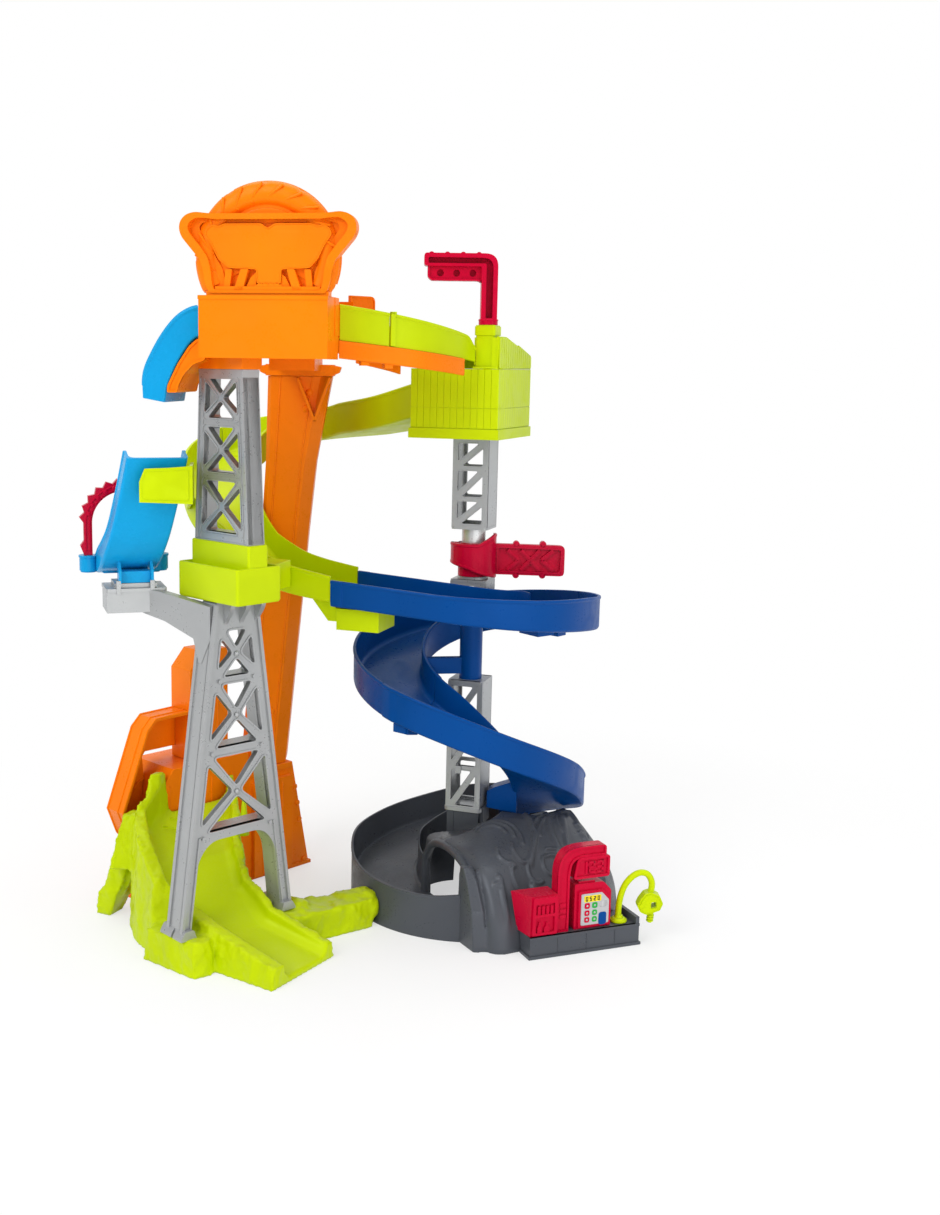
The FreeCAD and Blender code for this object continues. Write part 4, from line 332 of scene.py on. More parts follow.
def add_slab(kit, outline, y0, y1, holes=(), place=STILL, flat=False):
    """An outline in X and Z with holes, made thick along Y, or lying in X and Y when flat."""
    curve = bpy.data.curves.new("outline", "CURVE")
    curve.dimensions = "2D"
    curve.fill_mode = "BOTH"
    curve.extrude = abs(y1 - y0) / 2
    for loop in [outline] + list(holes):
        spline = curve.splines.new("POLY")
        spline.points.add(len(loop) - 1)
        for point, (x, y) in zip(spline.points, loop):
            point.co = (x, y, 0.0, 1.0)
        spline.use_cyclic_u = True
    holder = linked("outline", curve)
    mesh = evaluated_mesh(holder)
    if flat:
        mesh.transform(place @ Matrix.Translation((0, 0, (y0 + y1) / 2)))
    else:
        stand = Matrix.Rotation(math.radians(90), 4, "X")
        mesh.transform(place @ Matrix.Translation((0, (y0 + y1) / 2, 0)) @ stand)
    kit.from_mesh(mesh)
    bpy.data.meshes.remove(mesh)
    bpy.data.objects.remove(holder)
    bpy.data.curves.remove(curve)


def add_levels(kit, levels, place=STILL):
    """A solid through outlines in plan, each with its height."""
    add_rows(kit, [[place @ Vector((x, y, z)) for x, y in plan] for z, plan in levels])


def add_box(kit, x0, x1, y0, y1, z0, z1, place=STILL):
    corners = oblong(x0, y0, x1, y1)
    add_rows(kit, [[place @ Vector((x, y, z)) for x, y in corners] for z in (z0, z1)])


def ring_row(spot, side, other, radius, place, count):
    return [place @ (spot + side * radius * math.cos(math.tau * i / count)
                     + other * radius * math.sin(math.tau * i / count)) for i in range(count)]


def add_rod(kit, start, end, radius, place=STILL, end_radius=None, count=28):
    """A round bar or cone between two points."""
    a, b = Vector(start), Vector(end)
    axis = b - a
    side = axis.orthogonal().normalized()
    other = axis.cross(side).normalized()
    rows = []
    for spot, r in ((a, radius), (b, radius if end_radius is None else end_radius)):
        rows.append(ring_row(spot, side, other, r, place, count))
    add_rows(kit, rows)


def add_tube(kit, path, radius, place=STILL, count=20):
    """A round tube along a path."""
    spots = [Vector(p) for p in path]
    rows = []
    side = None
    for i, spot in enumerate(spots):
        ahead = (spots[min(i + 1, len(spots) - 1)] - spots[max(i - 1, 0)]).normalized()
        side = (ahead.orthogonal() if side is None else side - ahead * side.dot(ahead)).normalized()
        other = ahead.cross(side)
        rows.append(ring_row(spot, side, other, radius, place, count))
    add_rows(kit, rows)


def add_dome(kit, centre, radius, squash=(1.0, 1.0, 1.0), place=STILL):
    """A flattened ball, for knobs, screws and rounded bosses."""
    made = bmesh.ops.create_uvsphere(kit, u_segments=24, v_segments=12, radius=radius)
    matrix = place @ Matrix.Translation(centre) @ Matrix.Diagonal((*squash, 1.0))
    bmesh.ops.transform(kit, matrix=matrix, verts=made["verts"])


def finish_piece(kit, name, slot, body, nodes, round_edges=0.7, angle=24.0, segments=2, ink=None):
    bmesh.ops.remove_doubles(kit, verts=kit.verts, dist=0.002)
    bmesh.ops.recalc_face_normals(kit, faces=kit.faces)
    bmesh.ops.scale(kit, vec=(MM, MM, MM), verts=kit.verts)
    mesh = bpy.data.meshes.new(name)
    kit.to_mesh(mesh)
    kit.free()
    piece = linked(name, mesh)
    mesh.materials.append(MATERIALS[ink or slot])
    if round_edges:
        soften(piece, round_edges, angle, segments)
    else:
        smooth_faces(mesh)
    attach(piece, body)
    if nodes:
        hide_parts(*nodes)


# Car channels

SPIRAL_RADIUS = 87.5
LEAD_TURN = -21.0
LOOP_SPACING = 203.5
LEAD = direction(LEAD_TURN)
LOOP_X = -LOOP_SPACING * LEAD[0]
LOOP_Y = -LOOP_SPACING * LEAD[1]
LEAD_DEG = 270.0 + LEAD_TURN
HAIRPIN_HEADING = 124.4
HAIRPIN_STRAIGHT = 141.0
HAIRPIN_EXIT = 93.0
HAIRPIN_SEAM = 300.0
FIRST_DEG = HAIRPIN_HEADING - 90.0
BEND_RUN = math.radians(LEAD_DEG - FIRST_DEG) * SPIRAL_RADIUS
HAIRPIN_RUN = HAIRPIN_STRAIGHT + BEND_RUN + HAIRPIN_EXIT
BLUE_LEAD = LOOP_SPACING - HAIRPIN_EXIT - 0.6
FIRST_SEAM_DEG = 383.0
SEAM_DEG = 581.0
END_DEG = 760.0
# Angle round the column and height of the channel's underside
SPIRAL_HEIGHTS = [
    (249.0, 327.0), (285.0, 320.0), (320.0, 312.5), (351.0, 305.0), (400.0, 294.0),
    (450.0, 281.0), (500.0, 262.0), (545.0, 241.0), (581.0, 222.5), (617.0, 202.0),
    (657.0, 168.0), (689.0, 137.0), (711.0, 112.0), (735.0, 92.0), (760.0, 76.0),
]
# Run along the centre line and height of the channel's underside
HAIRPIN_HEIGHTS = [
    (0.0, 521.0), (70.0, 507.0), (141.0, 497.0), (266.0, 477.0), (330.0, 455.0),
    (365.0, 437.0), (412.0, 402.0), (450.0, 374.0), (494.0, 350.0), (520.0, 343.0),
    (560.0, 338.0),
]
# Angle, height of the floor's top side, height of the rim
GREY_HEIGHTS = [
    (42.0, 64.0, 98.0), (75.0, 59.0, 93.0), (90.0, 56.0, 88.0), (113.0, 47.0, 78.0),
    (141.0, 38.0, 70.0), (170.0, 31.0, 65.0), (184.0, 27.0, 57.0), (207.0, 20.0, 50.0),
    (227.0, 15.0, 47.0), (248.0, 12.0, 46.0), (264.0, 10.0, 50.0),
]


def channel_side(tall, grow=0.0, half=LANE_HALF):
    """One wall of the channel's section from the middle of its underside to the middle of its floor."""
    out = half + grow
    inner = half - LANE_WALL
    return [(out - 3.0, 0.0), (out - 1.4, 0.4), (out - 0.4, 1.5), (out, 3.2), (out, tall - 4.2),
              (out + 0.25, tall - 3.4), (out + 0.8, tall - 2.8), (out + 0.95, tall - 1.6),
              (out + 0.6, tall - 0.4), (out - 0.3, tall), (inner + 0.5, tall), (inner, tall - 0.7),
              (inner, 8.5), (inner - 0.5, 6.2), (inner - 1.7, 4.3), (inner - 3.6, 3.0), (inner - 6.0, 2.5)]


def channel_section(left_tall, right_tall, grow=0.0):
    """Closed section of a channel as offsets to the left and heights above its underside."""
    left = channel_side(left_tall, grow)
    right = [(-a, b) for a, b in reversed(channel_side(right_tall, grow))]
    return left + right


def channel_row(x, y, heading, z, left_tall, right_tall, grow=0.0):
    c, s = direction(heading)
    return [Vector((x - s * a, y + c * a, z + b)) for a, b in channel_section(left_tall, right_tall, grow)]


def hairpin_place(run):
    out = direction(FIRST_DEG)
    back = direction(HAIRPIN_HEADING)
    if run <= HAIRPIN_STRAIGHT:
        left = HAIRPIN_STRAIGHT - run
        return (LOOP_X + SPIRAL_RADIUS * out[0] - left * back[0],
                LOOP_Y + SPIRAL_RADIUS * out[1] - left * back[1], HAIRPIN_HEADING)
    if run <= HAIRPIN_STRAIGHT + BEND_RUN:
        angle = FIRST_DEG + math.degrees((run - HAIRPIN_STRAIGHT) / SPIRAL_RADIUS)
        out = direction(angle)
        return LOOP_X + SPIRAL_RADIUS * out[0], LOOP_Y + SPIRAL_RADIUS * out[1], angle + 90.0
    past = run - HAIRPIN_STRAIGHT - BEND_RUN
    out = direction(LEAD_DEG)
    return (LOOP_X + SPIRAL_RADIUS * out[0] + past * LEAD[0],
            LOOP_Y + SPIRAL_RADIUS * out[1] + past * LEAD[1], LEAD_TURN)


def hairpin_wall(run):
    start = HAIRPIN_STRAIGHT + BEND_RUN
    share = clamped((run - start + 40.0) / (HAIRPIN_EXIT + 40.0))
    return 35.0 - 8.0 * share


def hairpin_rows(start, end, pitch=5.0):
    rows = []
    for run in steps(start, end, pitch):
        x, y, heading = hairpin_place(run)
        tall = hairpin_wall(run)
        grow = 1.1 * (1.0 - smooth_share(abs(run - HAIRPIN_SEAM), 9.0, 10.5)) if start > 200 else 0.0
        rows.append(channel_row(x, y, heading, between(HAIRPIN_HEIGHTS, run), tall, tall, grow))
    return rows


def lead_height(run):
    share = clamped(run / BLUE_LEAD)
    return 334.0 + (SPIRAL_HEIGHTS[0][1] - 334.0) * share


def make_hairpins():
    """Lime channel in two lengths, from the house round the loop to the joint."""
    kit = bmesh.new()
    add_rows(kit, hairpin_rows(-50.0, HAIRPIN_SEAM - 0.5))
    turn = math.radians(HOUSE_TURN)
    wall = Vector((HOUSE_X, HOUSE_Y, 0)) + Vector((math.cos(turn), math.sin(turn),
                                                   0)) * (-HOUSE_WIDE / 2 - 1.4)
    geometry = kit.verts[:] + kit.edges[:] + kit.faces[:]
    cut = bmesh.ops.bisect_plane(kit, geom=geometry, plane_co=wall, clear_outer=True,
                                 plane_no=(math.cos(turn), math.sin(turn), 0))
    bmesh.ops.holes_fill(kit, edges=[e for e in cut["geom_cut"] if isinstance(e, bmesh.types.BMEdge)])
    finish_piece(kit, "hairpin_upper_run", "lime", "track", ["hairpin_upper"], 0)

    kit = bmesh.new()
    add_rows(kit, hairpin_rows(HAIRPIN_SEAM + 0.5, HAIRPIN_RUN))
    x, y, heading = hairpin_place(HAIRPIN_RUN)
    place = placed(x, y, heading)
    top = lead_height(48.0) - 0.3
    end_z = between(HAIRPIN_HEIGHTS, HAIRPIN_RUN)
    add_box(kit, 2.0, 48.0, -26.0, 20.0, top - 22.0, top, place)
    web = [(-26.0, end_z + 1.0), (-8.0, top - 14.0), (2.5, top - 14.0), (2.5, top), (0.0, top),
           (0.0, end_z + 1.0)]
    add_slab(kit, web, -24.0, 18.0, place=place)
    finish_piece(kit, "hairpin_lower_run", "lime", "track", ["hairpin_lower"], 0.8, 40.0)


def spiral_reach(angle):
    """Radius of the centre line, wider on the right side of the first turn."""
    bulge = 9.0 * max(direction(angle)[0], 0.0) if 270.0 < angle < 450.0 else 0.0
    return SPIRAL_RADIUS + bulge


def spiral_row(angle, grow=0.0):
    c, s = direction(angle)
    reach = spiral_reach(angle)
    tall = 27.0 + 8.0 * clamped((angle - SPIRAL_HEIGHTS[0][0]) / 80.0)
    z = between(SPIRAL_HEIGHTS, angle)
    return channel_row(reach * c, reach * s, angle + 90.0, z, tall, tall, grow)


def make_spirals():
    """Blue channel in two lengths, with the sleeves at its joints and the clips below."""
    kit = bmesh.new()
    rows = []
    out = direction(LEAD_DEG)
    for run in steps(0.0, 12.0, 2.0) + steps(12.5, BLUE_LEAD, 8.0)[:-1]:
        back = BLUE_LEAD - run
        x = SPIRAL_RADIUS * out[0] - back * LEAD[0]
        y = SPIRAL_RADIUS * out[1] - back * LEAD[1]
        grow = 1.4 if run <= 12.0 else 0.0
        rows.append(channel_row(x, y, LEAD_TURN, lead_height(run), 27.0, 27.0, grow))
    for angle in steps(LEAD_DEG, FIRST_SEAM_DEG, 2.5):
        rows.append(spiral_row(angle))
    add_rows(kit, rows)
    rows = []
    for angle in steps(FIRST_SEAM_DEG + 0.4, SEAM_DEG, 2.5):
        rows.append(spiral_row(angle))
    add_rows(kit, rows)
    for degrees, reach in ((306.0, 11.0), (318.0, 7.0)):
        c, s = direction(degrees)
        z = between(SPIRAL_HEIGHTS, degrees)
        add_box(kit, -14.0, 14.0, -reach, reach, z - 5.5, z + 1.0,
                placed(102.0 * c, 102.0 * s, degrees))
    finish_piece(kit, "spiral_upper_run", "deep_blue", "track", ["spiral_entry", "spiral_upper"], 0.4, 50.0)

    kit = bmesh.new()
    rows = []
    for angle in steps(SEAM_DEG + 0.4, END_DEG, 2.0):
        sleeve = 1.3 * (1.0 - smooth_share(angle, SEAM_DEG + 7.5, SEAM_DEG + 8.5))
        rows.append(spiral_row(angle, sleeve))
    add_rows(kit, rows)
    degrees = SEAM_DEG + 8.0
    c, s = direction(degrees)
    z = between(SPIRAL_HEIGHTS, degrees)
    hook = placed(SPIRAL_RADIUS * c, SPIRAL_RADIUS * s, degrees)
    add_box(kit, -24.0, 30.0, -7.0, 7.0, z - 6.0, z + 1.0, hook)
    add_slab(kit, [(14.0, z - 14.0), (30.0, z - 11.0), (32.0, z + 4.0), (14.0, z + 1.0)], 8.0, 12.0,
             place=hook)
    add_box(kit, 18.0, 33.0, -5.0, 11.0, z - 10.0, z - 1.0, hook)
    tab_deg = 709.0
    tab_z = between(SPIRAL_HEIGHTS, tab_deg)
    inner = SPIRAL_RADIUS - LANE_HALF
    tab = [(22.0, tab_z - 8.0), (inner + 4.0, tab_z - 12.0), (inner + 4.0, tab_z + 24.0),
           (30.0, tab_z + 15.0),
           (22.0, tab_z + 10.0)]
    add_slab(kit, tab, -9.0, 9.0, place=placed(0, 0, tab_deg))
    finish_piece(kit, "spiral_lower_run", "deep_blue", "track", ["spiral_lower"], 0.5, 45.0)


# Rock work: solids made even, smoothed and roughened

def solid_copy(node):
    """A bmesh of a CAD node, in millimetres, with its loose corners joined."""
    kit = bmesh.new()
    kit.from_mesh(frame["nodes"][node].data)
    bmesh.ops.scale(kit, vec=(1000, 1000, 1000), verts=kit.verts)
    bmesh.ops.remove_doubles(kit, verts=kit.verts, dist=0.01)
    return kit


def remeshed(kit, voxel, smooth_steps):
    mesh = bpy.data.meshes.new("rough")
    kit.to_mesh(mesh)
    kit.free()
    holder = linked("rough", mesh)
    remesh = holder.modifiers.new("even", "REMESH")
    remesh.mode = "VOXEL"
    remesh.voxel_size = voxel
    smooth = holder.modifiers.new("smooth", "SMOOTH")
    smooth.factor = 0.5
    smooth.iterations = smooth_steps
    made = bmesh.new()
    even = evaluated_mesh(holder)
    made.from_mesh(even)
    bpy.data.objects.remove(holder)
    bpy.data.meshes.remove(mesh)
    bpy.data.meshes.remove(even)
    return made


def nearest(spot, ax, ay, bx, by):
    """Where a place in plan comes nearest to a line, as the share along it, and how far away it is."""
    run = (bx - ax) ** 2 + (by - ay) ** 2
    t = clamped(((spot.x - ax) * (bx - ax) + (spot.y - ay) * (by - ay)) / run)
    return t, math.hypot(spot.x - ax - t * (bx - ax), spot.y - ay - t * (by - ay))


# The slide's middle line: place, half width of the trough and height of its floor
SLIDE_LINE = [
    (-294.0, -20.0, 30.0, 107.0), (-297.0, -55.0, 40.0, 94.0), (-287.0, -101.0, 42.0, 76.0),
    (-269.0, -138.0, 38.0, 49.0), (-250.0, -147.0, 33.0, 37.0), (-229.0, -165.0, 32.0, 25.0),
    (-165.0, -203.0, 36.0, 6.0),
]


def in_trough(spot):
    """1 on the slide's running surface, 0 on the rock around it."""
    best = 0.0
    for a, b in zip(SLIDE_LINE, SLIDE_LINE[1:]):
        t, away = nearest(spot, *a[:2], *b[:2])
        half = a[2] + (b[2] - a[2]) * t
        floor = a[3] + (b[3] - a[3]) * t
        across = 1.0 - smooth_share(away, half - 1.0, half + 5.0)
        above = smooth_share(spot.z, floor - 9.0, floor - 3.0)
        best = max(best, across * above)
    return best


def make_rock():
    """Lime rock: smooth trough, chiselled outside with ledges, feet and a small spike."""
    kit = solid_copy("rock_base")
    add_levels(kit, (
        (104.0, [(-341, -66), (-322, -56), (-316, -40), (-338, -44)]),
        (134.0, [(-339, -62), (-325, -56), (-319, -40), (-334, -44)]),
        (150.0, [(-336, -56), (-325, -53), (-321, -42), (-331, -44)])))
    add_levels(kit, (
        (60.0, [(-372, -92), (-346, -96), (-340, -66), (-366, -64)]),
        (100.0, [(-364, -90), (-344, -94), (-340, -64), (-360, -62)]),
        (116.0, [(-356, -84), (-345, -86), (-342, -66), (-353, -64)])))
    add_levels(kit, (
        (0.0, [(-392, -62), (-376, -70), (-366, -48), (-384, -40)]),
        (26.0, [(-391, -66), (-368, -76), (-358, -52), (-382, -42)]),
        (34.0, [(-382, -66), (-364, -76), (-354, -52), (-376, -44)]),
        (74.0, [(-372, -78), (-350, -84), (-344, -56), (-364, -52)])))
    for x, y, r, z in ((-150, -96, 20, 26), (-124, -84, 22, 30), (-178, -112, 22, 33), (-112, -76, 20, 34)):
        add_dome(kit, (x, y, z - 14.0), r, (1.0, 0.85, 0.9))
    made = remeshed(kit, 2.2, 3)
    made.normal_update()
    moves = []
    for vert in made.verts:
        spot = vert.co
        keep = 1.0 - in_trough(spot)
        keep *= smooth_share(spot.z, 0.5, 5.0)
        big = noise.noise(spot * 0.055) * 2.0
        ledge = noise.noise(Vector((spot.x * 0.10, spot.y * 0.10, spot.z * 0.035))) * 1.9
        chips = abs(noise.noise(spot * 0.17)) * 1.9 - 0.6
        moves.append(vert.normal * (big + ledge + chips) * keep)
    for vert, move in zip(made.verts, moves):
        vert.co += move
        vert.co.z = max(vert.co.z, 0.02)
    add_rod(made, (-236.0, -66.0, 90.0), (-236.0, -66.0, 132.0), 5.5, end_radius=1.6, count=10)
    for x, y, z, half in ((-304.0, -66.0, 105.3, 10.0), (-307.0, -78.0, 99.8, 13.0)):
        add_box(made, -half, half, -0.9, 0.9, -0.8, 0.4, placed(x, y, -24.0, z))
    finish_piece(made, "rock_slide", "lime", "track", ["rock_base"], 0)


# Ridges on the hill, as arcs of (centre x, centre y, radius, start, end) in plan
HILL_ARCS = [
    (22.0, -74.0, 15.0, 20.0, 150.0), (24.0, -74.0, 21.0, 5.0, 150.0), (26.0, -76.0, 27.0, -5.0, 140.0),
    (50.0, -86.0, 9.0, 150.0, 330.0), (66.0, -96.0, 9.0, 130.0, 320.0), (82.0, -88.0, 9.0, 160.0, 350.0),
    (34.0, -98.0, 9.0, 140.0, 320.0), (48.0, -112.0, 9.0, 120.0, 310.0),
    (96.0, -60.0, 30.0, 95.0, 200.0), (96.0, -60.0, 24.0, 80.0, 190.0), (118.0, -40.0, 26.0, 100.0, 230.0),
    (86.0, -104.0, 22.0, 30.0, 120.0), (86.0, -104.0, 28.0, 35.0, 110.0),
]
HILL_FOLDS = [
    [(96, -20), (100, -60), (106, -100), (110, -120)], [(110, -10), (122, -50), (134, -90), (138, -100)],
    [(62, -108), (70, -118), (80, -124)], [(26, -124), (30, -136), (34, -146)],
    [(60, -34), (68, -62), (60, -92)], [(82, -30), (84, -56), (92, -78)], [(114, -36), (124, -40)],
    [(117, -46), (128, -52)], [(120, -57), (132, -65)], [(124, -69), (137, -78)], [(128, -82), (142, -92)],
]


def ridge_height(spot):
    """How far the hill's relief stands out at a place."""
    best = 0.0
    for cx, cy, radius, start, end in HILL_ARCS:
        turn = math.degrees(math.atan2(spot.y - cy, spot.x - cx)) % 360.0
        inside = start <= turn <= end or start <= turn - 360.0 <= end
        if inside:
            away = abs(math.hypot(spot.x - cx, spot.y - cy) - radius)
            best = max(best, 1.0 - smooth_share(away, 0.2, 2.6))
    for line in HILL_FOLDS:
        for a, b in zip(line, line[1:]):
            away = nearest(spot, *a, *b)[1]
            best = max(best, 1.2 * (1.0 - smooth_share(away, 0.5, 5.0)))
    return best


def smooth_line(points, count):
    """Points on a smooth curve through the given ones."""
    spots = [Vector(p) for p in points]
    made = []
    last = len(spots) - 1
    for i in range(last):
        before, a, b, after = spots[max(i - 1, 0)], spots[i], spots[i + 1], spots[min(i + 2, last)]
        for k in range(count):
            t = k / count
            made.append(0.5 * (2 * a + (b - before) * t + (2 * before - 5 * a + 4 * b - after) * t ** 2
                               + (3 * a - before - 3 * b + after) * t ** 3))
    made.append(spots[-1])
    return made


# The hill: height and the plan points, from the back left round by the mouth and the front
HILL_LEVELS = [
    (0.0, [(-46, -14), (-34, -62), (12, -148), (44, -148), (64, -129), (120, -118), (146, -98),
           (159, -50), (157, -3)]),
    (25.0, [(-46, -14), (-34, -62), (12, -143), (42, -143), (62, -124), (118, -113), (144, -93),
            (157, -46), (155, -3)]),
    (48.0, [(-46, -14), (-34, -62), (10, -134), (38, -132), (60, -113), (112, -103), (138, -82),
            (151, -40), (149, -3)]),
    (64.0, [(-45, -14), (-33, -62), (7, -126), (36, -121), (58, -101), (107, -89), (131, -69),
            (142, -35), (140, -3)]),
    (76.0, [(-40, -14), (-31, -62), (4, -116), (35, -110), (57, -91), (102, -79), (125, -60),
            (134, -31), (132, -3)]),
    (86.0, [(-8, -30), (-26, -62), (1, -101), (34, -97), (55, -80), (98, -66), (118, -51),
            (126, -26), (124, -3)]),
    (92.0, [(12, -34), (-8, -60), (6, -86), (34, -83), (55, -70), (96, -58), (112, -44),
            (120, -24), (118, -3)]),
    (98.5, [(26, -28), (14, -48), (16, -64), (36, -64), (55, -56), (95, -50), (107, -38),
            (112, -22), (111, -3)]),
    (104.0, [(36, -18), (32, -28), (34, -38), (44, -42), (56, -44), (92, -42), (104, -34),
             (106, -20), (105, -3)]),
]
MOUTH_ARCH = [(4, -2), (4, 50), (10, 64), (20, 74), (38, 80), (62, 81), (88, 75), (100, 62), (107, 40),
              (110, 20), (111, -2)]


def make_hill():
    """Grey hill: smooth shell with a thick rounded mouth, scalloped ridges and two round bosses."""
    kit = bmesh.new()
    grid = []
    for z, points in HILL_LEVELS:
        line = smooth_line(points[1:], 12)
        grid.append([Vector(points[0])] + line)
    columns = []
    for i in range(len(grid[0])):
        heights = [Vector((row[i].x, row[i].y, level[0])) for row, level in zip(grid, HILL_LEVELS)]
        columns.append(smooth_line(heights, 5))
    rows = []
    for k in range(len(columns[0])):
        rows.append([column[k].copy() for column in columns])
    top = [spot.copy() for spot in rows[-1]]
    middle = sum(top, Vector((0, 0, 0))) / len(top)
    for share in (0.35, 0.7, 1.0):
        rows.append([spot.lerp(middle + Vector((0, 0, 1.0)), share) for spot in top])
    rows[0] = [Vector((spot.x, spot.y, -6.0)) for spot in rows[0]]
    add_rows(kit, rows, caps=False, closed=False)
    bmesh.ops.remove_doubles(kit, verts=kit.verts, dist=0.05)
    mesh = bpy.data.meshes.new("hill_skin")
    kit.to_mesh(mesh)
    kit.free()
    holder = linked("hill_skin", mesh)
    skin = holder.modifiers.new("skin", "SOLIDIFY")
    skin.thickness = 3.4
    skin.offset = -1.0
    cutter = bmesh.new()
    place = placed(-45.0, -26.0, math.degrees(math.atan2(-96.0, 45.0)))
    add_slab(cutter, rounded([(x, z if z > 0 else -12.0) for x, z in MOUTH_ARCH], 5.0), -34.0, 50.0,
             place=place)
    add_box(cutter, -80.0, 200.0, -200.0, 50.0, -20.0, -0.01)
    bmesh.ops.recalc_face_normals(cutter, faces=cutter.faces)
    cut_mesh = bpy.data.meshes.new("mouth")
    cutter.to_mesh(cut_mesh)
    cutter.free()
    tool = linked("mouth", cut_mesh)
    cut = holder.modifiers.new("cut", "BOOLEAN")
    cut.operation = "DIFFERENCE"
    cut.solver = "EXACT"
    cut.use_self = True
    cut.object = tool
    shell = bmesh.new()
    shell.from_mesh(evaluated_mesh(holder))
    for thing in (holder, tool):
        bpy.data.objects.remove(thing)
    add_levels(shell, (
        (0.0, [(-16, -119), (-1, -150), (13, -149), (16, -119)]),
        (40.0, [(-16, -119), (-3, -144), (9, -143), (12, -119)]),
        (66.0, [(-15, -119), (-7, -134), (3, -133), (6, -119)]),
        (80.0, [(-14, -119), (-11, -127), (-6, -127), (-1, -119)])))
    edge = smooth_line([(x, 0.0, z) for x, z in [(3, 0)] + MOUTH_ARCH[1:-1]], 5)
    add_tube(shell, [place @ Vector((p.x, -2.0, p.z + 1.0)) for p in edge], 4.2, count=14)
    for x, y, z in ((22.0, -128.0, 62.0), (30.0, -131.0, 44.0)):
        add_dome(shell, (x, y, z), 4.6, (1, 1, 1))
    made = remeshed(shell, 1.3, 4)
    made.normal_update()
    moves = []
    for vert in made.verts:
        spot = vert.co
        outer = smooth_share(vert.normal.z + vert.normal.x * 0.4 - vert.normal.y * 0.7, 0.25, 0.6)
        relief = ridge_height(spot) * 2.5 * outer * smooth_share(spot.z, 20.0, 46.0)
        wave = noise.noise(spot * 0.03) * 1.2 * outer
        moves.append(vert.normal * (relief + wave) * smooth_share(spot.z, 0.5, 6.0))
    for vert, move in zip(made.verts, moves):
        vert.co += move
        vert.co.z = max(vert.co.z, 0.02)
    finish_piece(made, "hill_shell", "grey", "track", ["hill"], 0)


def make_grey_channel():
    """Grey channel with a rounded rim, its skirt, the shelf under the blue lane and the pedestal."""
    kit = bmesh.new()
    inner, outer = SPIRAL_RADIUS - 35.0, SPIRAL_RADIUS + 35.0
    rows = []
    for angle in steps(42.0, 217.0, 2.5):
        floor, rim = between(GREY_HEIGHTS, angle, 1), between(GREY_HEIGHTS, angle, 2)
        foot = 0.0 if angle > 101.0 else floor - 2.5
        section = [(inner - 2.5, foot), (inner - 2.5, rim + 2.8), (inner - 2.0, rim + 3.8),
                   (inner - 0.5, rim + 4.0),
                   (inner, rim + 3.2), (inner, floor + 5.0), (inner + 1.5, floor + 1.6),
                   (inner + 5.0, floor),
                   (inner + 5.0, floor - 2.5), (inner, floor - 2.6), (inner, foot)]
        c, s = direction(angle)
        rows.append([Vector((r * c, r * s, z)) for r, z in section])
    add_rows(kit, rows)
    rows = []
    for angle in steps(42.0, 264.0, 2.5):
        floor, rim = between(GREY_HEIGHTS, angle, 1), between(GREY_HEIGHTS, angle, 2)
        section = [(inner - 1.0, floor - 2.5), (inner - 1.0, floor), (outer - 6.0, floor),
                   (outer - 2.0, floor + 1.4),
                   (outer, floor + 5.0), (outer, rim - 0.9), (outer + 0.6, rim), (outer + 2.2, rim),
                   (outer + 3.1, rim - 0.7), (outer + 3.1, rim - 2.6), (outer + 2.5, rim - 3.4),
                   (outer + 2.5, 0.0), (outer, 0.0), (outer, floor - 2.5)]
        c, s = direction(angle)
        rows.append([Vector((r * c, r * s, z)) for r, z in section])
    add_rows(kit, rows)
    shelf_z = between(SPIRAL_HEIGHTS, END_DEG) - 0.3
    add_box(kit, SPIRAL_RADIUS - 30.0, SPIRAL_RADIUS + 30.0, 0.5, 8.0, 0.0, shelf_z,
            placed(0, 0, END_DEG - 723.0))
    half = 17.5
    base = placed(0, 0, -20.0)
    add_box(kit, -half, half, -half, half, 66.0, 103.0, base)
    add_box(kit, -half + 6.0, -half + 7.5, -half - 0.8, -half, 74.0, 102.0, base)
    add_box(kit, half - 1.0, half + 4.5, -half + 4.0, half - 8.0, 90.0, 108.0, base)
    add_box(kit, -4.0, 18.0, -13.5, 13.5, 0.0, 77.0)
    add_box(kit, 0.0, inner - 1.0, -3.0, 3.0, 0.0, 66.0, placed(0, 0, 56.0))
    finish_piece(kit, "grey_channel_run", "grey", "track", ["grey_channel"], 0.5, 40.0)


# Left tower

TOWER = placed(-240.5, -157.0, -45.0)
TOWER_FRAME = placed(-240.5, -157.0, 42.0)
FOOT_Z = 34.0
FRAME_TOP = 354.0
TRUSS_Z = 396.0
TRUSS_TOP = 572.0


def inset_loop(points, step):
    """The outline with every side moved inwards."""
    area = sum(a[0] * b[1] - b[0] * a[1] for a, b in zip(points, points[1:] + points[:1]))
    sign = 1.0 if area > 0 else -1.0
    moved = []
    for i, here in enumerate(points):
        back = Vector(here) - Vector(points[i - 1])
        ahead = Vector(points[(i + 1) % len(points)]) - Vector(here)
        first = Vector((-back.y, back.x)).normalized() * sign
        second = Vector((-ahead.y, ahead.x)).normalized() * sign
        middle = (first + second).normalized()
        reach = step / max(middle.dot(first), 0.3)
        moved.append((here[0] + middle.x * reach, here[1] + middle.y * reach))
    return moved


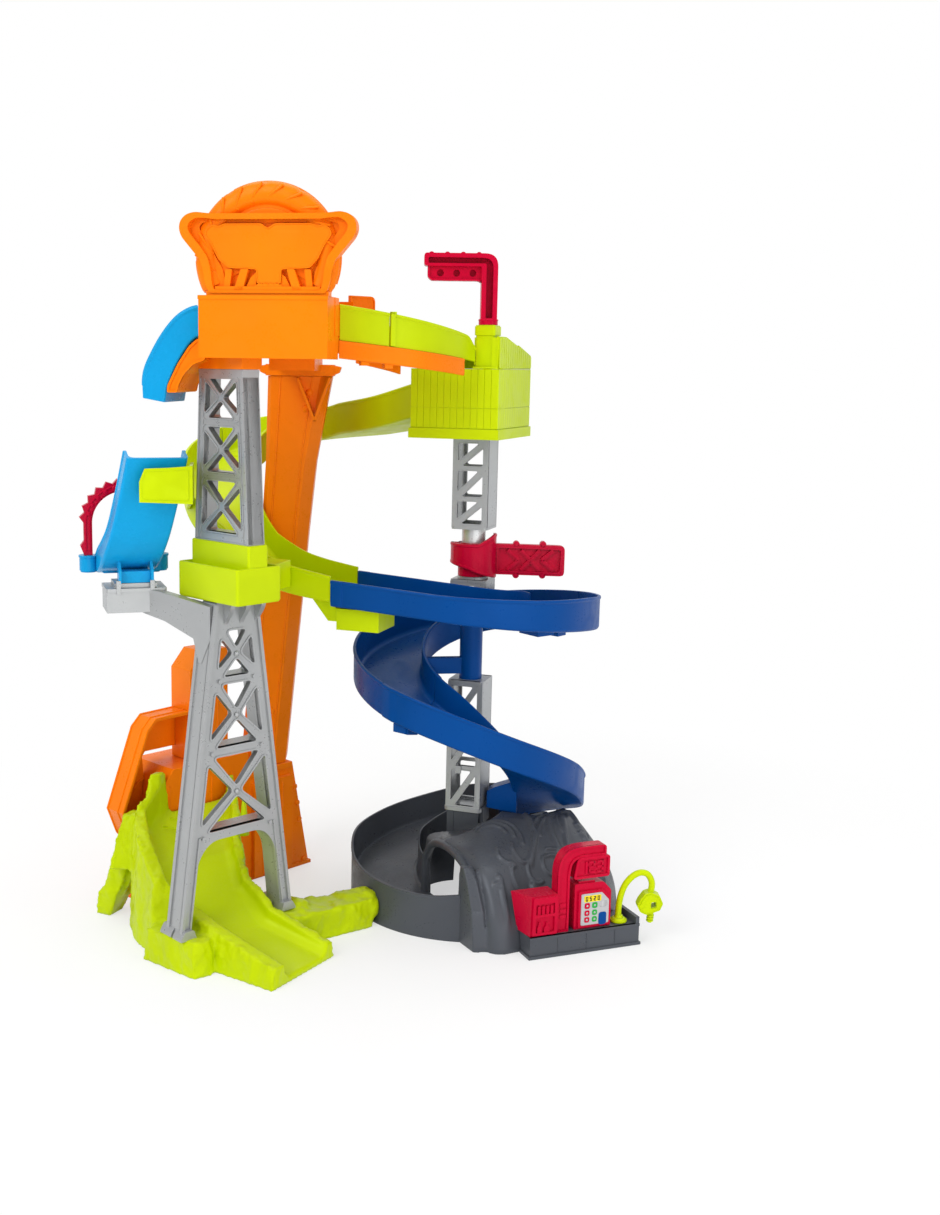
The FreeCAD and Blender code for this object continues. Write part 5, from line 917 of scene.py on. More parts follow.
def cross_holes(corners, brace, radius, node=4.0):
    """Four rounded triangles that leave a cross in a four-sided window."""
    centre = sum((Vector(c) for c in corners), Vector((0, 0))) / 4
    loops = []
    for i in range(4):
        a, b = Vector(corners[i]), Vector(corners[(i + 1) % 4])
        triangle = [tuple(a), tuple(b), tuple(centre)]
        shrunk = inset_loop(triangle, brace / 2)
        side = (b - a).normalized()
        normal = Vector((-side.y, side.x))
        if normal.dot(centre - a) < 0:
            normal = -normal
        out = -normal * brace / 2
        shrunk[0] = tuple(Vector(shrunk[0]) + out)
        shrunk[1] = tuple(Vector(shrunk[1]) + out)
        tip = Vector(shrunk[2])
        away = (tip - centre).length
        if away < node:
            shrunk[2] = tuple(centre + (tip - centre) * (node / away))
        loops.append(rounded(shrunk, radius))
    return loops


def rim_loop(loop, step):
    """A loop grown outwards, for the raised rim round an opening."""
    return inset_loop(loop, -step)


def frame_half(z):
    return 65.0 + (23.0 - 65.0) * (z - FOOT_Z) / (FRAME_TOP - FOOT_Z)


def make_lower_frame():
    """A-frame with rounded openings, raised rims, flanged legs, a rounded arch and forked feet."""
    kit = bmesh.new()
    half_deep = 11.0
    leg = 10.0
    holes = []
    bays = ((133.0, 205.0), (214.0, 275.0), (282.0, 326.0))
    for low, high in bays:
        a, b = frame_half(low) - leg, frame_half(high) - leg
        holes += cross_holes([(-a, low), (a, low), (b, high), (-b, high)], 5.4, 5.0, 4.4)
    foot_in = frame_half(FOOT_Z) - leg - 1.0
    arch_in = frame_half(124.0) - leg
    outline = [(-frame_half(FOOT_Z), FOOT_Z), (-foot_in, FOOT_Z), (-arch_in - 3.0, 106.0),
               (-arch_in + 12.0, 124.0),
               (arch_in - 12.0, 124.0), (arch_in + 3.0, 106.0), (foot_in, FOOT_Z),
               (frame_half(FOOT_Z), FOOT_Z),
               (frame_half(FRAME_TOP), FRAME_TOP), (-frame_half(FRAME_TOP), FRAME_TOP)]
    loop = rounded(outline, [0, 0, 12, 12, 12, 12, 0, 0, 3, 3])
    add_slab(kit, loop, -half_deep, -half_deep + 5.0, holes, TOWER_FRAME)
    for hole in holes:
        add_slab(kit, rim_loop(hole, 1.6), -half_deep - 1.0, -half_deep + 5.6, [hole], TOWER_FRAME)
    back = []
    for low, high in bays:
        a, b = frame_half(low) - leg, frame_half(high) - leg
        back.append(rounded([(-a, low), (a, low), (b, high), (-b, high)], 5.0))
    add_slab(kit, loop, -half_deep + 4.0, half_deep, back, TOWER_FRAME)
    for side in (-1, 1):
        face = [(side * (frame_half(FOOT_Z) + 1.6), FOOT_Z), (side * (frame_half(FOOT_Z) - 1.6), FOOT_Z),
                (side * (frame_half(FRAME_TOP) - 1.6), FRAME_TOP - 2.0),
                (side * (frame_half(FRAME_TOP) + 1.6), FRAME_TOP - 2.0)]
        add_slab(kit, face, -half_deep - 2.2, -half_deep + 2.0, place=TOWER_FRAME)
        add_slab(kit, face, half_deep - 2.0, half_deep + 2.2, place=TOWER_FRAME)
        inner = [(side * (frame_half(FOOT_Z) - 7.6), FOOT_Z), (side * (frame_half(FOOT_Z) - 9.4), FOOT_Z),
                 (side * (frame_half(130.0) - 9.4), 130.0), (side * (frame_half(130.0) - 7.6), 130.0)]
        add_slab(kit, inner, -half_deep - 1.6, -half_deep + 2.0, place=TOWER_FRAME)
        x0 = side * (frame_half(FOOT_Z) - leg / 2)
        for y0, y1 in ((-half_deep - 5.5, -1.5), (1.5, half_deep + 8.5)):
            foot = [(x0 - 9.0, FOOT_Z), (x0 + 9.0, FOOT_Z), (x0 + 8.0, FOOT_Z + 3.0),
                    (x0 + 5.0 - side * 1.0, FOOT_Z + 9.0),
                    (x0 - 5.0 - side * 1.0, FOOT_Z + 9.0), (x0 - 8.0, FOOT_Z + 3.0)]
            add_slab(kit, rounded(foot, [0.5, 0.5, 2, 2, 2, 2]), y0, y1, place=TOWER_FRAME)
    for z in (128.5, 209.5, 278.5):
        for x in (-frame_half(z) + leg + 3.0, frame_half(z) - leg - 3.0):
            add_rod(kit, (x, -half_deep - 2.2, z), (x, -half_deep + 1.0, z), 2.0, TOWER_FRAME, count=16)
    for low, high in bays:
        add_dome(kit, (0.0, -half_deep - 0.8, (low + high) / 2 - 1.0), 2.8, (1, 0.6, 1), TOWER_FRAME)
    half = 26.5 - 2.5 - 7.0
    add_box(kit, -half, half, -half_deep, half_deep, FRAME_TOP - 1.0, 382.9, TOWER_FRAME)
    finish_piece(kit, "tower_a_frame", "silver", "track", ["lower_tower_frame"], 0.8, 30.0)


def truss_half(z):
    return (80.0 + (62.0 - 80.0) * (z - TRUSS_Z) / (TRUSS_TOP - TRUSS_Z)) / 2


def make_upper_frame():
    """Upper frame with three crossed panels, side flanges, a groove and flared ends."""
    kit = bmesh.new()
    half_deep = 9.0
    post = 9.0
    panels = ((22.0, 70.0), (78.0, 120.0), (128.0, 166.0))
    holes = []
    frames = []
    for low, high in panels:
        low, high = TRUSS_Z + low, TRUSS_Z + high
        a, b = truss_half(low) - post, truss_half(high) - post
        window = [(-a, low), (a, low), (b, high), (-b, high)]
        holes += cross_holes(window, 3.6, 4.2, 2.6)
        frames.append(rounded(window, 4.0))
    outline = [(-truss_half(TRUSS_Z), TRUSS_Z), (truss_half(TRUSS_Z), TRUSS_Z),
               (truss_half(TRUSS_TOP), TRUSS_TOP),
               (-truss_half(TRUSS_TOP), TRUSS_TOP)]
    add_slab(kit, outline, -half_deep, -half_deep + 5.0, holes, TOWER)
    for hole in holes:
        add_slab(kit, rim_loop(hole, 1.1), -half_deep - 1.0, -half_deep + 5.6, [hole], TOWER)
    for loop in frames:
        add_slab(kit, rim_loop(loop, 3.4), -half_deep - 0.7, -half_deep + 2.0, [rim_loop(loop, 2.0)], TOWER)
    add_slab(kit, outline, -half_deep + 4.0, half_deep, frames, TOWER)
    for side in (-1, 1):
        for inset, wide, out in ((0.0, 1.6, 1.0), (6.4, 1.0, 0.6)):
            flange = []
            for z in (TRUSS_Z + 14.0, TRUSS_TOP - 5.0):
                edge = side * (truss_half(z) - inset)
                flange += [(edge, z), (edge - side * wide, z)]
            flange = [flange[0], flange[1], flange[3], flange[2]]
            add_slab(kit, flange, -half_deep - out, half_deep + out, place=TOWER)
    for z0, z1, grow0, grow1 in ((TRUSS_Z, TRUSS_Z + 14.0, 0.1, -0.2),
                                 (TRUSS_TOP - 12.0, TRUSS_TOP - 3.2, -0.3, 1.2)):
        a, b = truss_half(z0) + grow0, truss_half(z1) + grow1
        flare = [(-a, z0), (a, z0), (b, z1), (-b, z1)]
        add_slab(kit, flare, -half_deep - 0.9, half_deep + 0.9, place=TOWER)
    finish_piece(kit, "tower_upper_frame", "silver", "track", ["upper_tower_frame"], 0.7, 30.0)


def make_collar():
    """Lime collar: a step with an open lip, rounded corners and three claws over the A-frame."""
    kit = bmesh.new()
    half_l, half_d = 44.5, 26.5
    z0, step, top = FRAME_TOP + 0.3, 388.5, 409.0

    def ring(long, deep, radius, lean=0.0):
        return rounded(oblong(-long - lean, -deep - lean, long + lean, deep + lean), radius, 6)

    lower = ring(half_l, half_d, 3.0)
    under = ring(half_l - 1.2, half_d - 1.2, 3.0)
    lip_in = ring(half_l - 2.6, half_d - 2.6, 2.4)
    floor_z = step - 5.6
    rows = [(ring(half_l - 3.0, half_d - 3.0, 2.4), floor_z - 4.0),
            (ring(half_l - 3.0, half_d - 3.0, 2.4), z0 + 1.0),
            (under, z0), (lower, z0 + 2.5), (lower, step - 1.0),
            (ring(half_l - 0.8, half_d - 0.8, 3.0), step),
            (lip_in, step), (lip_in, floor_z + 1.5)]
    add_levels(kit, [(z, loop) for loop, z in rows], TOWER)
    up_l, up_d = 42.8, 11.8
    upper = ring(up_l, up_d, 2.4)
    inner = ring(up_l - 2.5, up_d - 2.5, 2.0)
    rows = [(upper, floor_z - 3.0), (upper, top - 1.0), (ring(up_l - 0.8, up_d - 0.8, 2.4), top),
            (inner, top),
            (inner, TRUSS_Z - 0.2)]
    add_levels(kit, [(z, loop) for loop, z in rows], TOWER)
    for x0, x1 in ((-44.3, -42.6), (42.6, 44.3)):
        add_box(kit, x0, x1, -3.0, 8.0, z0 + 3.0, step - 2.0, TOWER)
    finish_piece(kit, "tower_collar_shell", "lime", "track", ["tower_collar"], 0.6, 40.0)
    claws = bmesh.new()
    for x in (-24.0, -6.0, 12.0):
        profile = [(-half_d + 4.0, z0 + 1.0), (-half_d + 4.0, z0 - 5.0), (-half_d + 8.0, z0 - 12.0),
                   (-11.5, z0 - 20.0),
                   (-10.5, z0 - 26.0), (-9.0, z0 - 26.0), (-9.0, z0 + 1.0)]
        add_slab(claws, rounded(profile, [0, 4, 5, 4, 1, 0, 0]), x - 2.4, x + 2.4,
                 place=TOWER_FRAME @ Matrix.Rotation(math.radians(90), 4, "Z"))
    finish_piece(claws, "collar_claws", "silver", "track", [], 0.8, 40.0)


def make_collar_arm():
    """Lime neck that runs from the collar into the channel's wall."""
    kit = solid_copy("collar_arm")
    finish_piece(kit, "collar_neck", "lime", "track", ["collar_arm"], 1.6, 30.0, 3)


# Right column

COLUMN = placed(0, 0, -20.0)
MAST_HALF = 19.0


def mast_side(kit, place, z0, z1, bays):
    """One lattice side of a mast: a plate with a diagonal across each rounded window."""
    post = 5.6
    tall = (z1 - z0) / bays
    holes = []
    for bay in range(bays):
        low = z0 + bay * tall + (6.0 if bay == 0 else 2.6)
        high = z0 + (bay + 1) * tall - (6.0 if bay == bays - 1 else 2.6)
        a = MAST_HALF - post
        gap = 2.1
        left = [(-a, low + 2.2 * gap), (a - 2.2 * gap, high), (-a, high)]
        right = [(-a + 2.2 * gap, low), (a, low), (a, high - 2.2 * gap)]
        holes += [rounded(left, 2.6), rounded(right, 2.6)]
    outline = rounded(oblong(-MAST_HALF, z0, MAST_HALF, z1), 2.5)
    add_slab(kit, outline, -MAST_HALF, -15.4, holes, place)
    for hole in holes:
        add_slab(kit, inset_loop(hole, -1.1), -MAST_HALF - 0.5, -15.0, [hole], place)


def mast_plain_side(kit, place, z0, z1, bays):
    """The mast's back: two posts and the bars between its windows."""
    tall = (z1 - z0) / bays
    holes = []
    for bay in range(bays):
        low = z0 + bay * tall + (6.0 if bay == 0 else 2.0)
        high = z0 + (bay + 1) * tall - (6.0 if bay == bays - 1 else 2.0)
        holes.append(rounded(oblong(-14.0, low, 14.0, high), 3.0))
    outline = oblong(-MAST_HALF, z0, MAST_HALF, z1)
    add_slab(kit, outline, -MAST_HALF, -16.4, holes, place)


def add_mast(kit, z0, z1, bays, capped=False):
    mast_side(kit, COLUMN, z0, z1, bays)
    mast_plain_side(kit, COLUMN @ Matrix.Rotation(math.radians(180), 4, "Z"), z0, z1, bays)
    for x in (-MAST_HALF, MAST_HALF - 2.6):
        add_box(kit, x, x + 2.6, -18.0, 18.0, z0 + 1.0, z1 - 1.0, COLUMN)
    for z, sign in ((z0, 1), (z1, -1)):
        plate = rounded(oblong(-19.4, -19.4, 19.4, 19.4), 4.0)
        hole = rounded(oblong(-13.0, -13.0, 13.0, 13.0), 3.0)
        low, high = sorted((z, z + sign * 2.6))
        add_slab(kit, plate, low, high, [] if capped else [hole], COLUMN, flat=True)


def make_columns():
    """Silver masts of the column, each with rounded plates at its ends."""
    kit = bmesh.new()
    add_mast(kit, 407.0, 502.5 - 0.3, 3)
    finish_piece(kit, "mast_top", "silver", "track", ["upper_column_frame"], 0.7, 30.0)
    kit = bmesh.new()
    add_mast(kit, 310.0, 354.0, 1, True)
    add_rod(kit, (0, 0, 352.0), (0, 0, 356.5), 16.0, COLUMN)
    finish_piece(kit, "mast_middle", "silver", "track", ["middle_column_frame"], 0.7, 30.0)
    kit = bmesh.new()
    add_mast(kit, 103.0, 246.0, 3, True)
    for z in (150.0, 198.0):
        add_box(kit, -8.0, -2.0, -21.5, -19.0, z - 5.0, z + 3.0, COLUMN)
    add_slab(kit, rounded(oblong(-20.4, -20.4, 20.4, 20.4), 5.0), 103.0, 107.0,
             [rounded(oblong(-14.0, -14.0, 14.0, 14.0), 3.0)], COLUMN, True)
    finish_piece(kit, "mast_foot", "silver", "track", ["lower_column_frame"], 0.7, 30.0)


# House

HOUSE = placed(HOUSE_X, HOUSE_Y, HOUSE_TURN)


def plank_wall(kit, length, z0, z1, place, planks, skirt=11.0):
    """A wall of upright planks with shallow grooves, a skirt line and a middle band."""
    pitch = length / planks
    x = -length / 2
    band = z0 + 31.0
    groove = 0.3
    for i in range(planks):
        a, b = x + i * pitch, x + (i + 1) * pitch
        for low, high in ((z0 + skirt, band - 0.3), (band + 0.3, z1)):
            section = [(a, 0.0), (a + groove, -0.5), (b - groove, -0.5), (b, 0.0)]
            loops = [[place @ Vector((u, v, z)) for u,
                      v in section + [(b, 1.2), (a, 1.2)]] for z in (low, high)]
            add_rows(kit, loops)


def make_house():
    """Lime house: planked walls over a skirt, a middle band, the sloping roof and the chimney."""
    kit = bmesh.new()
    half_w, half_d = HOUSE_WIDE / 2, HOUSE_DEEP / 2
    z0, eave = HOUSE_Z, HOUSE_EAVE
    front = HOUSE @ placed(0, -half_d)
    right = HOUSE @ placed(half_w, 0, 90)
    back = HOUSE @ placed(0, half_d, 180)
    left = HOUSE @ placed(-half_w, 0, -90)
    shell_in = 2.5
    add_box(kit, -half_w, half_w, 0.0, shell_in, z0, eave, front)
    add_box(kit, -half_d, half_d, 0.0, shell_in, z0, eave, right)
    add_box(kit, -half_w, half_w, 0.0, shell_in, z0, eave, back)
    way = oblong(-44.0, 523.5, 40.0, 559.0)
    add_slab(kit, oblong(-half_d, z0, half_d, eave), 0.0, shell_in,
             [rounded(way, 3.0)], left)
    add_box(kit, -half_w + 1, half_w - 1, -half_d + 1, half_d - 1, 521.0, 523.5, HOUSE)
    plank_wall(kit, HOUSE_WIDE, z0, eave, front, 13)
    plank_wall(kit, HOUSE_DEEP, z0, eave, right, 15)
    plank_wall(kit, HOUSE_WIDE, z0, eave, back, 13)
    for place, length in ((front, HOUSE_WIDE), (right, HOUSE_DEEP), (back, HOUSE_WIDE)):
        reach = length / 2 + 1.6
        add_slab(kit, rounded(oblong(-reach, z0, reach, z0 + 10.2), 1.0),
                 -1.7, 1.0, place=place)
    add_box(kit, -half_d - 1.6, half_d + 1.6, -1.2, 1.0, z0, z0 + 10.2, left)
    finish_piece(kit, "house_walls", "lime", "track", ["house_body"], 0.35, 40.0)

    kit = bmesh.new()
    front_y = CHIMNEY_Y + CHIMNEY_HALF
    gable = [(-half_d, eave + 0.2), (half_d, eave + 0.2), (half_d, HOUSE_BACK_TOP), (front_y, HOUSE_RIDGE),
             (-half_d, HOUSE_RIDGE)]
    side = HOUSE @ Matrix.Rotation(math.radians(90), 4, "Z")
    add_slab(kit, gable, -half_w, -half_w + shell_in, place=side)
    count = 15
    for i in range(count):
        a = -half_d + HOUSE_DEEP * i / count
        b = -half_d + HOUSE_DEEP * (i + 1) / count

        def roof(y):
            if y < front_y:
                return HOUSE_RIDGE - 1.2
            return HOUSE_RIDGE + (HOUSE_BACK_TOP - HOUSE_RIDGE) * (y - front_y) / (half_d - front_y) - 1.2

        section = [(a + 0.5, eave + 1.4), (b - 0.5, eave + 1.4), (b - 0.5, roof(b)), (a + 0.5, roof(a))]
        add_slab(kit, section, -half_w - 0.75, -half_w + 1.0, place=side)
    left_outline = [(-20.0, eave + 0.2), (half_d, eave + 0.2), (half_d, HOUSE_BACK_TOP),
                    (8.0, HOUSE_RIDGE - 6.0),
                    (-20.0, eave + 12.0)]
    add_slab(kit, left_outline, half_w - shell_in, half_w, place=side)
    add_box(kit, -half_w, half_w, half_d - shell_in, half_d, eave + 0.2, HOUSE_BACK_TOP, HOUSE)
    slope = [(half_d, HOUSE_BACK_TOP - 2.5), (half_d + 0.6, HOUSE_BACK_TOP + 0.3),
             (12.0, HOUSE_RIDGE - 7.6),
             (12.0, HOUSE_RIDGE - 10.5)]
    add_slab(kit, slope, -half_w, half_w, place=side)
    x0, x1 = CHIMNEY_X - CHIMNEY_HALF, CHIMNEY_X + CHIMNEY_HALF
    y0 = CHIMNEY_Y - CHIMNEY_HALF
    chimney = rounded(oblong(x0 + 1.2, y0 + 1.2, x1 - 1.2, front_y - 1.2), 2.0)
    add_slab(kit, chimney, eave + 0.2, CHIMNEY_TOP - 3.0, [], HOUSE, True)
    cap = rounded(oblong(x0, y0, x1, front_y), 2.6)
    ring = rounded(oblong(x0 + 4.5, y0 + 4.5, x1 - 4.5, front_y - 4.5), 3.0)
    add_slab(kit, cap, CHIMNEY_TOP - 10.0, CHIMNEY_TOP - 1.2, [], HOUSE, True)
    add_slab(kit, inset_loop(cap, 1.0), CHIMNEY_TOP - 2.0, CHIMNEY_TOP, [ring], HOUSE, True)
    add_box(kit, x0, half_w, -half_d, front_y, eave + 0.2, eave + 2.5, HOUSE)
    for y in (y0 + 3.4, front_y - 4.4):
        add_box(kit, x0 - 0.6, x0 + 0.6, y, y + 1.2, eave + 4.0, CHIMNEY_TOP - 12.0, HOUSE)
    add_box(kit, x1 - 2.5, half_w - 1.0, -half_d + 0.8, front_y - 0.5, eave + 0.2, HOUSE_RIDGE - 1.0, HOUSE)
    finish_piece(kit, "house_roof", "lime", "track", ["house_top"], 0.5, 40.0)


# Top platform, sign and ramps

PLATFORM = placed(-205.5, -203.0, -10.0)
SIGN = PLATFORM @ Matrix.Translation((3.0, 3.5, 0.0))
SIGN_Z = 636.0
TYRE_Z = 667.5


def mirrored(points):
    return points + [(-x, z) for x, z in reversed(points)]


def make_sign():
    """The sign's hollow back: a bulging tyre with slanted treads behind a wide tray with struts and rings."""
    kit = bmesh.new()
    profile = [(62.5, 16.0), (66.0, 15.0), (66.6, 12.0), (65.6, 9.0), (63.0, 6.8), (59.0, 5.2), (55.0, 4.8),
               (51.0, 5.4), (48.0, 7.0), (46.6, 9.4), (45.6, 10.4), (43.4, 10.4), (42.8, 9.4), (41.8, 9.0),
               (0.5, 9.0), (0.5, 15.6)]
    rows = []
    for i in range(97):
        degrees = -28.0 + 236.0 * i / 96
        c, s = direction(degrees)
        notch = 0.8 if i % 12 < 2 else 0.0
        row = []
        for r, y in profile:
            reach = r - notch * smooth_share(r, 58.0, 64.0)
            row.append(SIGN @ Vector((-2.5 + reach * c, y, TYRE_Z + reach * s)))
        rows.append(row)
    add_rows(kit, rows)
    for degrees in range(8, 180, 17):
        line = []
        for share in (0.0, 0.25, 0.5, 0.75, 1.0):
            radius = 64.5 - 13.5 * share
            c, s = direction(degrees + 13.0 * share ** 1.3)
            y = 6.2 - 1.6 * math.sin(math.pi * min(share * 0.9 + 0.1, 1.0)) + 0.8 * share
            line.append(SIGN @ Vector((-2.5 + radius * c, y - 0.2, TYRE_Z + radius * s)))
        hook = line[-1] + SIGN.to_3x3() @ Vector((3.0, 0.4, -1.6))
        add_tube(kit, line + [hook], 1.25, count=8)
    right = [(52.0, 705.0), (66.0, 706.5), (74.0, 704.5), (79.5, 699.0), (80.8, 692.0), (78.5, 685.0),
             (70.0, 675.0),
             (61.5, 665.0), (58.5, 656.0), (57.0, 645.0), (53.5, SIGN_Z)]
    outline = mirrored(right)
    hole = mirrored([(47.0, 700.0), (56.0, 701.0), (65.0, 701.5), (71.5, 697.5), (73.0, 692.5),
                     (70.5, 687.5),
                     (62.0, 677.5), (54.5, 667.5), (51.5, 656.0), (50.5, 645.0), (48.5, SIGN_Z + 2.5)])
    low = mirrored([(44.0, 697.5), (54.0, 698.5), (62.0, 697.5), (64.5, 693.0), (60.5, 687.0),
                    (54.0, 679.0),
                    (48.5, 667.0), (42.5, 658.0), (40.0, 645.0), (39.0, SIGN_Z + 2.5)])
    outer = rounded(outline, 3.5, 4)
    add_slab(kit, outer, 0.0, 12.0, [rounded(hole, 3.0, 4)], SIGN)
    add_slab(kit, rim_loop(rounded(hole, 3.0, 4), 1.5), 7.4, 12.0, [rounded(low, 4.0, 4)], SIGN)
    add_slab(kit, inset_loop(outer, 1.0), 10.6, 12.0, place=SIGN)
    panel = [(-50.0, 696.0), (-45.0, 694.0), (-40.0, 696.5), (-6.0, 696.5), (-2.5, 694.0), (0.0, 692.5),
             (2.5, 694.0),
             (6.0, 696.5), (40.0, 696.5), (45.0, 694.0), (50.0, 696.0), (56.0, 692.5), (58.0, 687.0),
             (52.0, 679.0),
             (45.5, 666.0), (38.0, 658.0), (12.5, 657.0), (12.0, 644.5), (-10.0, 644.5), (-10.5, 657.0),
             (-36.0, 658.0), (-45.5, 666.0), (-52.0, 679.0), (-58.0, 687.0), (-56.0, 692.5)]
    panel_loop = rounded(panel, 2.2, 4)
    add_slab(kit, panel_loop, 3.6, 11.5, place=SIGN)
    add_slab(kit, panel_loop, 3.0, 5.0, [inset_loop(panel_loop, 1.0)], SIGN)
    for side in (-1, 1):
        strut = [(side * 24.5, 657.0), (side * 17.5, 657.0), (side * 23.0, 638.0), (side * 31.0, 638.0)]
        add_slab(kit, rounded(strut, 1.0), 2.0, 11.0, place=SIGN)
        brace = [(side * 39.0, 657.0), (side * 33.0, 657.0), (side * 35.5, 638.0), (side * 41.0, 638.0)]
        add_slab(kit, rounded(brace, 1.0), 4.0, 11.0, place=SIGN)
        inner = [(side * 16.0, 650.0), (side * 10.5, 655.0), (side * 11.5, 638.0), (side * 22.0, 638.0)]
        add_slab(kit, rounded(inner, 1.0), 5.0, 11.0, place=SIGN)
    hump = [(-16.0, 638.0), (-11.5, 643.0)]
    for x in (-9.0, -4.0, 1.0, 6.0):
        hump += [(x, 644.0), (x + 1.4, 645.4), (x + 3.0, 645.4), (x + 4.2, 644.0)]
    hump += [(13.0, 643.0), (17.5, 638.0)]
    add_slab(kit, hump, 3.0, 10.5, place=SIGN)
    add_box(kit, -56.0, 56.0, 1.0, 12.5, 633.0, 637.8, SIGN)
    add_box(kit, -48.0, 48.0, 2.0, 11.0, 599.0, 642.0, SIGN)
    for radius, y in ((65.5, 15.4), (57.0, 17.6), (50.0, 17.6), (44.0, 16.0)):
        ring = [SIGN @ Vector((-2.5 + radius * direction(a)[0], y, TYRE_Z + radius * direction(a)[1]))
                for a in range(-20, 201, 4)]
        add_tube(kit, ring, 1.6, count=8)
    finish_piece(kit, "sign_back", "orange", "track", ["tyre_sign"], 0.5, 32.0)


def make_platform():
    """Orange platform: rounded box with a lip, its socket and the guard of the deck."""
    kit = solid_copy("top_platform")
    half = 59.0
    add_slab(kit, rounded(oblong(-half - 0.5, 630.4, half + 0.5, 634.0), 0.8),
             -0.6, 2.4, place=PLATFORM)
    add_box(kit, half - 0.5, half + 0.6, 30.0, 46.0, 600.0, 634.0, PLATFORM)
    finish_piece(kit, "platform_box", "orange", "track", ["top_platform"], 1.4, 40.0, 3)
    kit = solid_copy("platform_socket")
    add_box(kit, -33.5, 33.5, -11.4, -10.6, 572.5, 577.0, TOWER)
    finish_piece(kit, "platform_socket_ring", "orange", "track", ["platform_socket"], 1.0, 40.0)
    kit = bmesh.new()
    guard = placed(-128.0, -96.0, 40.0)
    panel = rounded([(-3.0, 588.0), (27.5, 586.0), (27.5, 640.0), (-3.0, 640.0)], [0, 1, 6, 0])
    add_slab(kit, panel, 0.0, 3.0, place=guard)
    add_slab(kit, panel, -0.8, 1.0, [inset_loop(panel, 1.6)], guard)
    finish_piece(kit, "deck_guard_panel", "orange", "track", ["deck_guard"], 0.7, 40.0)


def ramp_rows(stations, half, place_at):
    """Rows of a ramp's section along its stations, smoothly joined."""
    table = [(float(i), *row) for i, row in enumerate(stations)]
    rows = []
    for where in steps(0.0, len(stations) - 1.0, 0.12):
        values = [between(table, where, k + 1) for k in range(len(stations[0]))]
        x, y, heading, z, pitch, tall = place_at(values)
        lean, rise = -math.sin(math.radians(pitch)), math.cos(math.radians(pitch))
        c, s = direction(heading)
        side = channel_side(tall, 0.0, half)
        section = side + [(-a, b) for a, b in reversed(side)]
        rows.append([Vector((x - s * a + c * lean * b, y + c * a + s * lean * b, z + rise * b)) for a,
                     b in section])
    return rows


def make_top_ramp():
    """Light-blue chute beside the platform and its orange bracket."""
    kit = bmesh.new()
    x0 = -59.3

    def place_at(values):
        run, up, pitch, tall = values
        return x0 - run, 51.0, 180.0, 599.0 + up, pitch, tall

    stations = [(0.0, 0.0, 0.0, 27.0), (8.0, -2.0, -16.0, 27.0), (16.0, -9.0, -36.0, 26.5),
                (27.0, -26.0, -58.0, 26.0),
                (35.5, -45.0, -63.0, 26.0), (39.0, -61.0, -80.0, 21.0)]
    rows = ramp_rows(stations, 31.0, place_at)
    add_rows(kit, [[PLATFORM @ p for p in row] for row in rows])
    inner = [PLATFORM @ row[10] for row in rows[4:-4]]
    add_tube(kit, inner, 1.2, count=10)
    finish_piece(kit, "top_chute", "light_blue", "track", ["top_ramp"], 0.4, 40.0)
    kit = bmesh.new()
    outer = [(x0, 597.2), (x0 - 8.0, 595.6), (x0 - 15.5, 589.0), (x0 - 26.0, 573.4), (x0 - 36.0, 553.6),
             (x0 - 36.6, 547.0)]
    arch = [(x0 - 27.0, 547.0), (x0 - 25.5, 554.0), (x0 - 20.0, 564.0), (x0 - 11.0, 573.0), (x0, 577.0)]
    plate = rounded(outer + arch, 2.0, 3)
    add_slab(kit, plate, 21.0, 24.0, place=PLATFORM)
    add_slab(kit, plate, 78.0, 81.0, place=PLATFORM)
    add_slab(kit, plate, 22.0, 80.0, [inset_loop(plate, 3.0)], PLATFORM)
    add_slab(kit, plate, 20.0, 22.0, [inset_loop(plate, 2.2)], PLATFORM)
    finish_piece(kit, "chute_bracket", "orange", "track", ["ramp_bracket"], 0.8, 40.0)


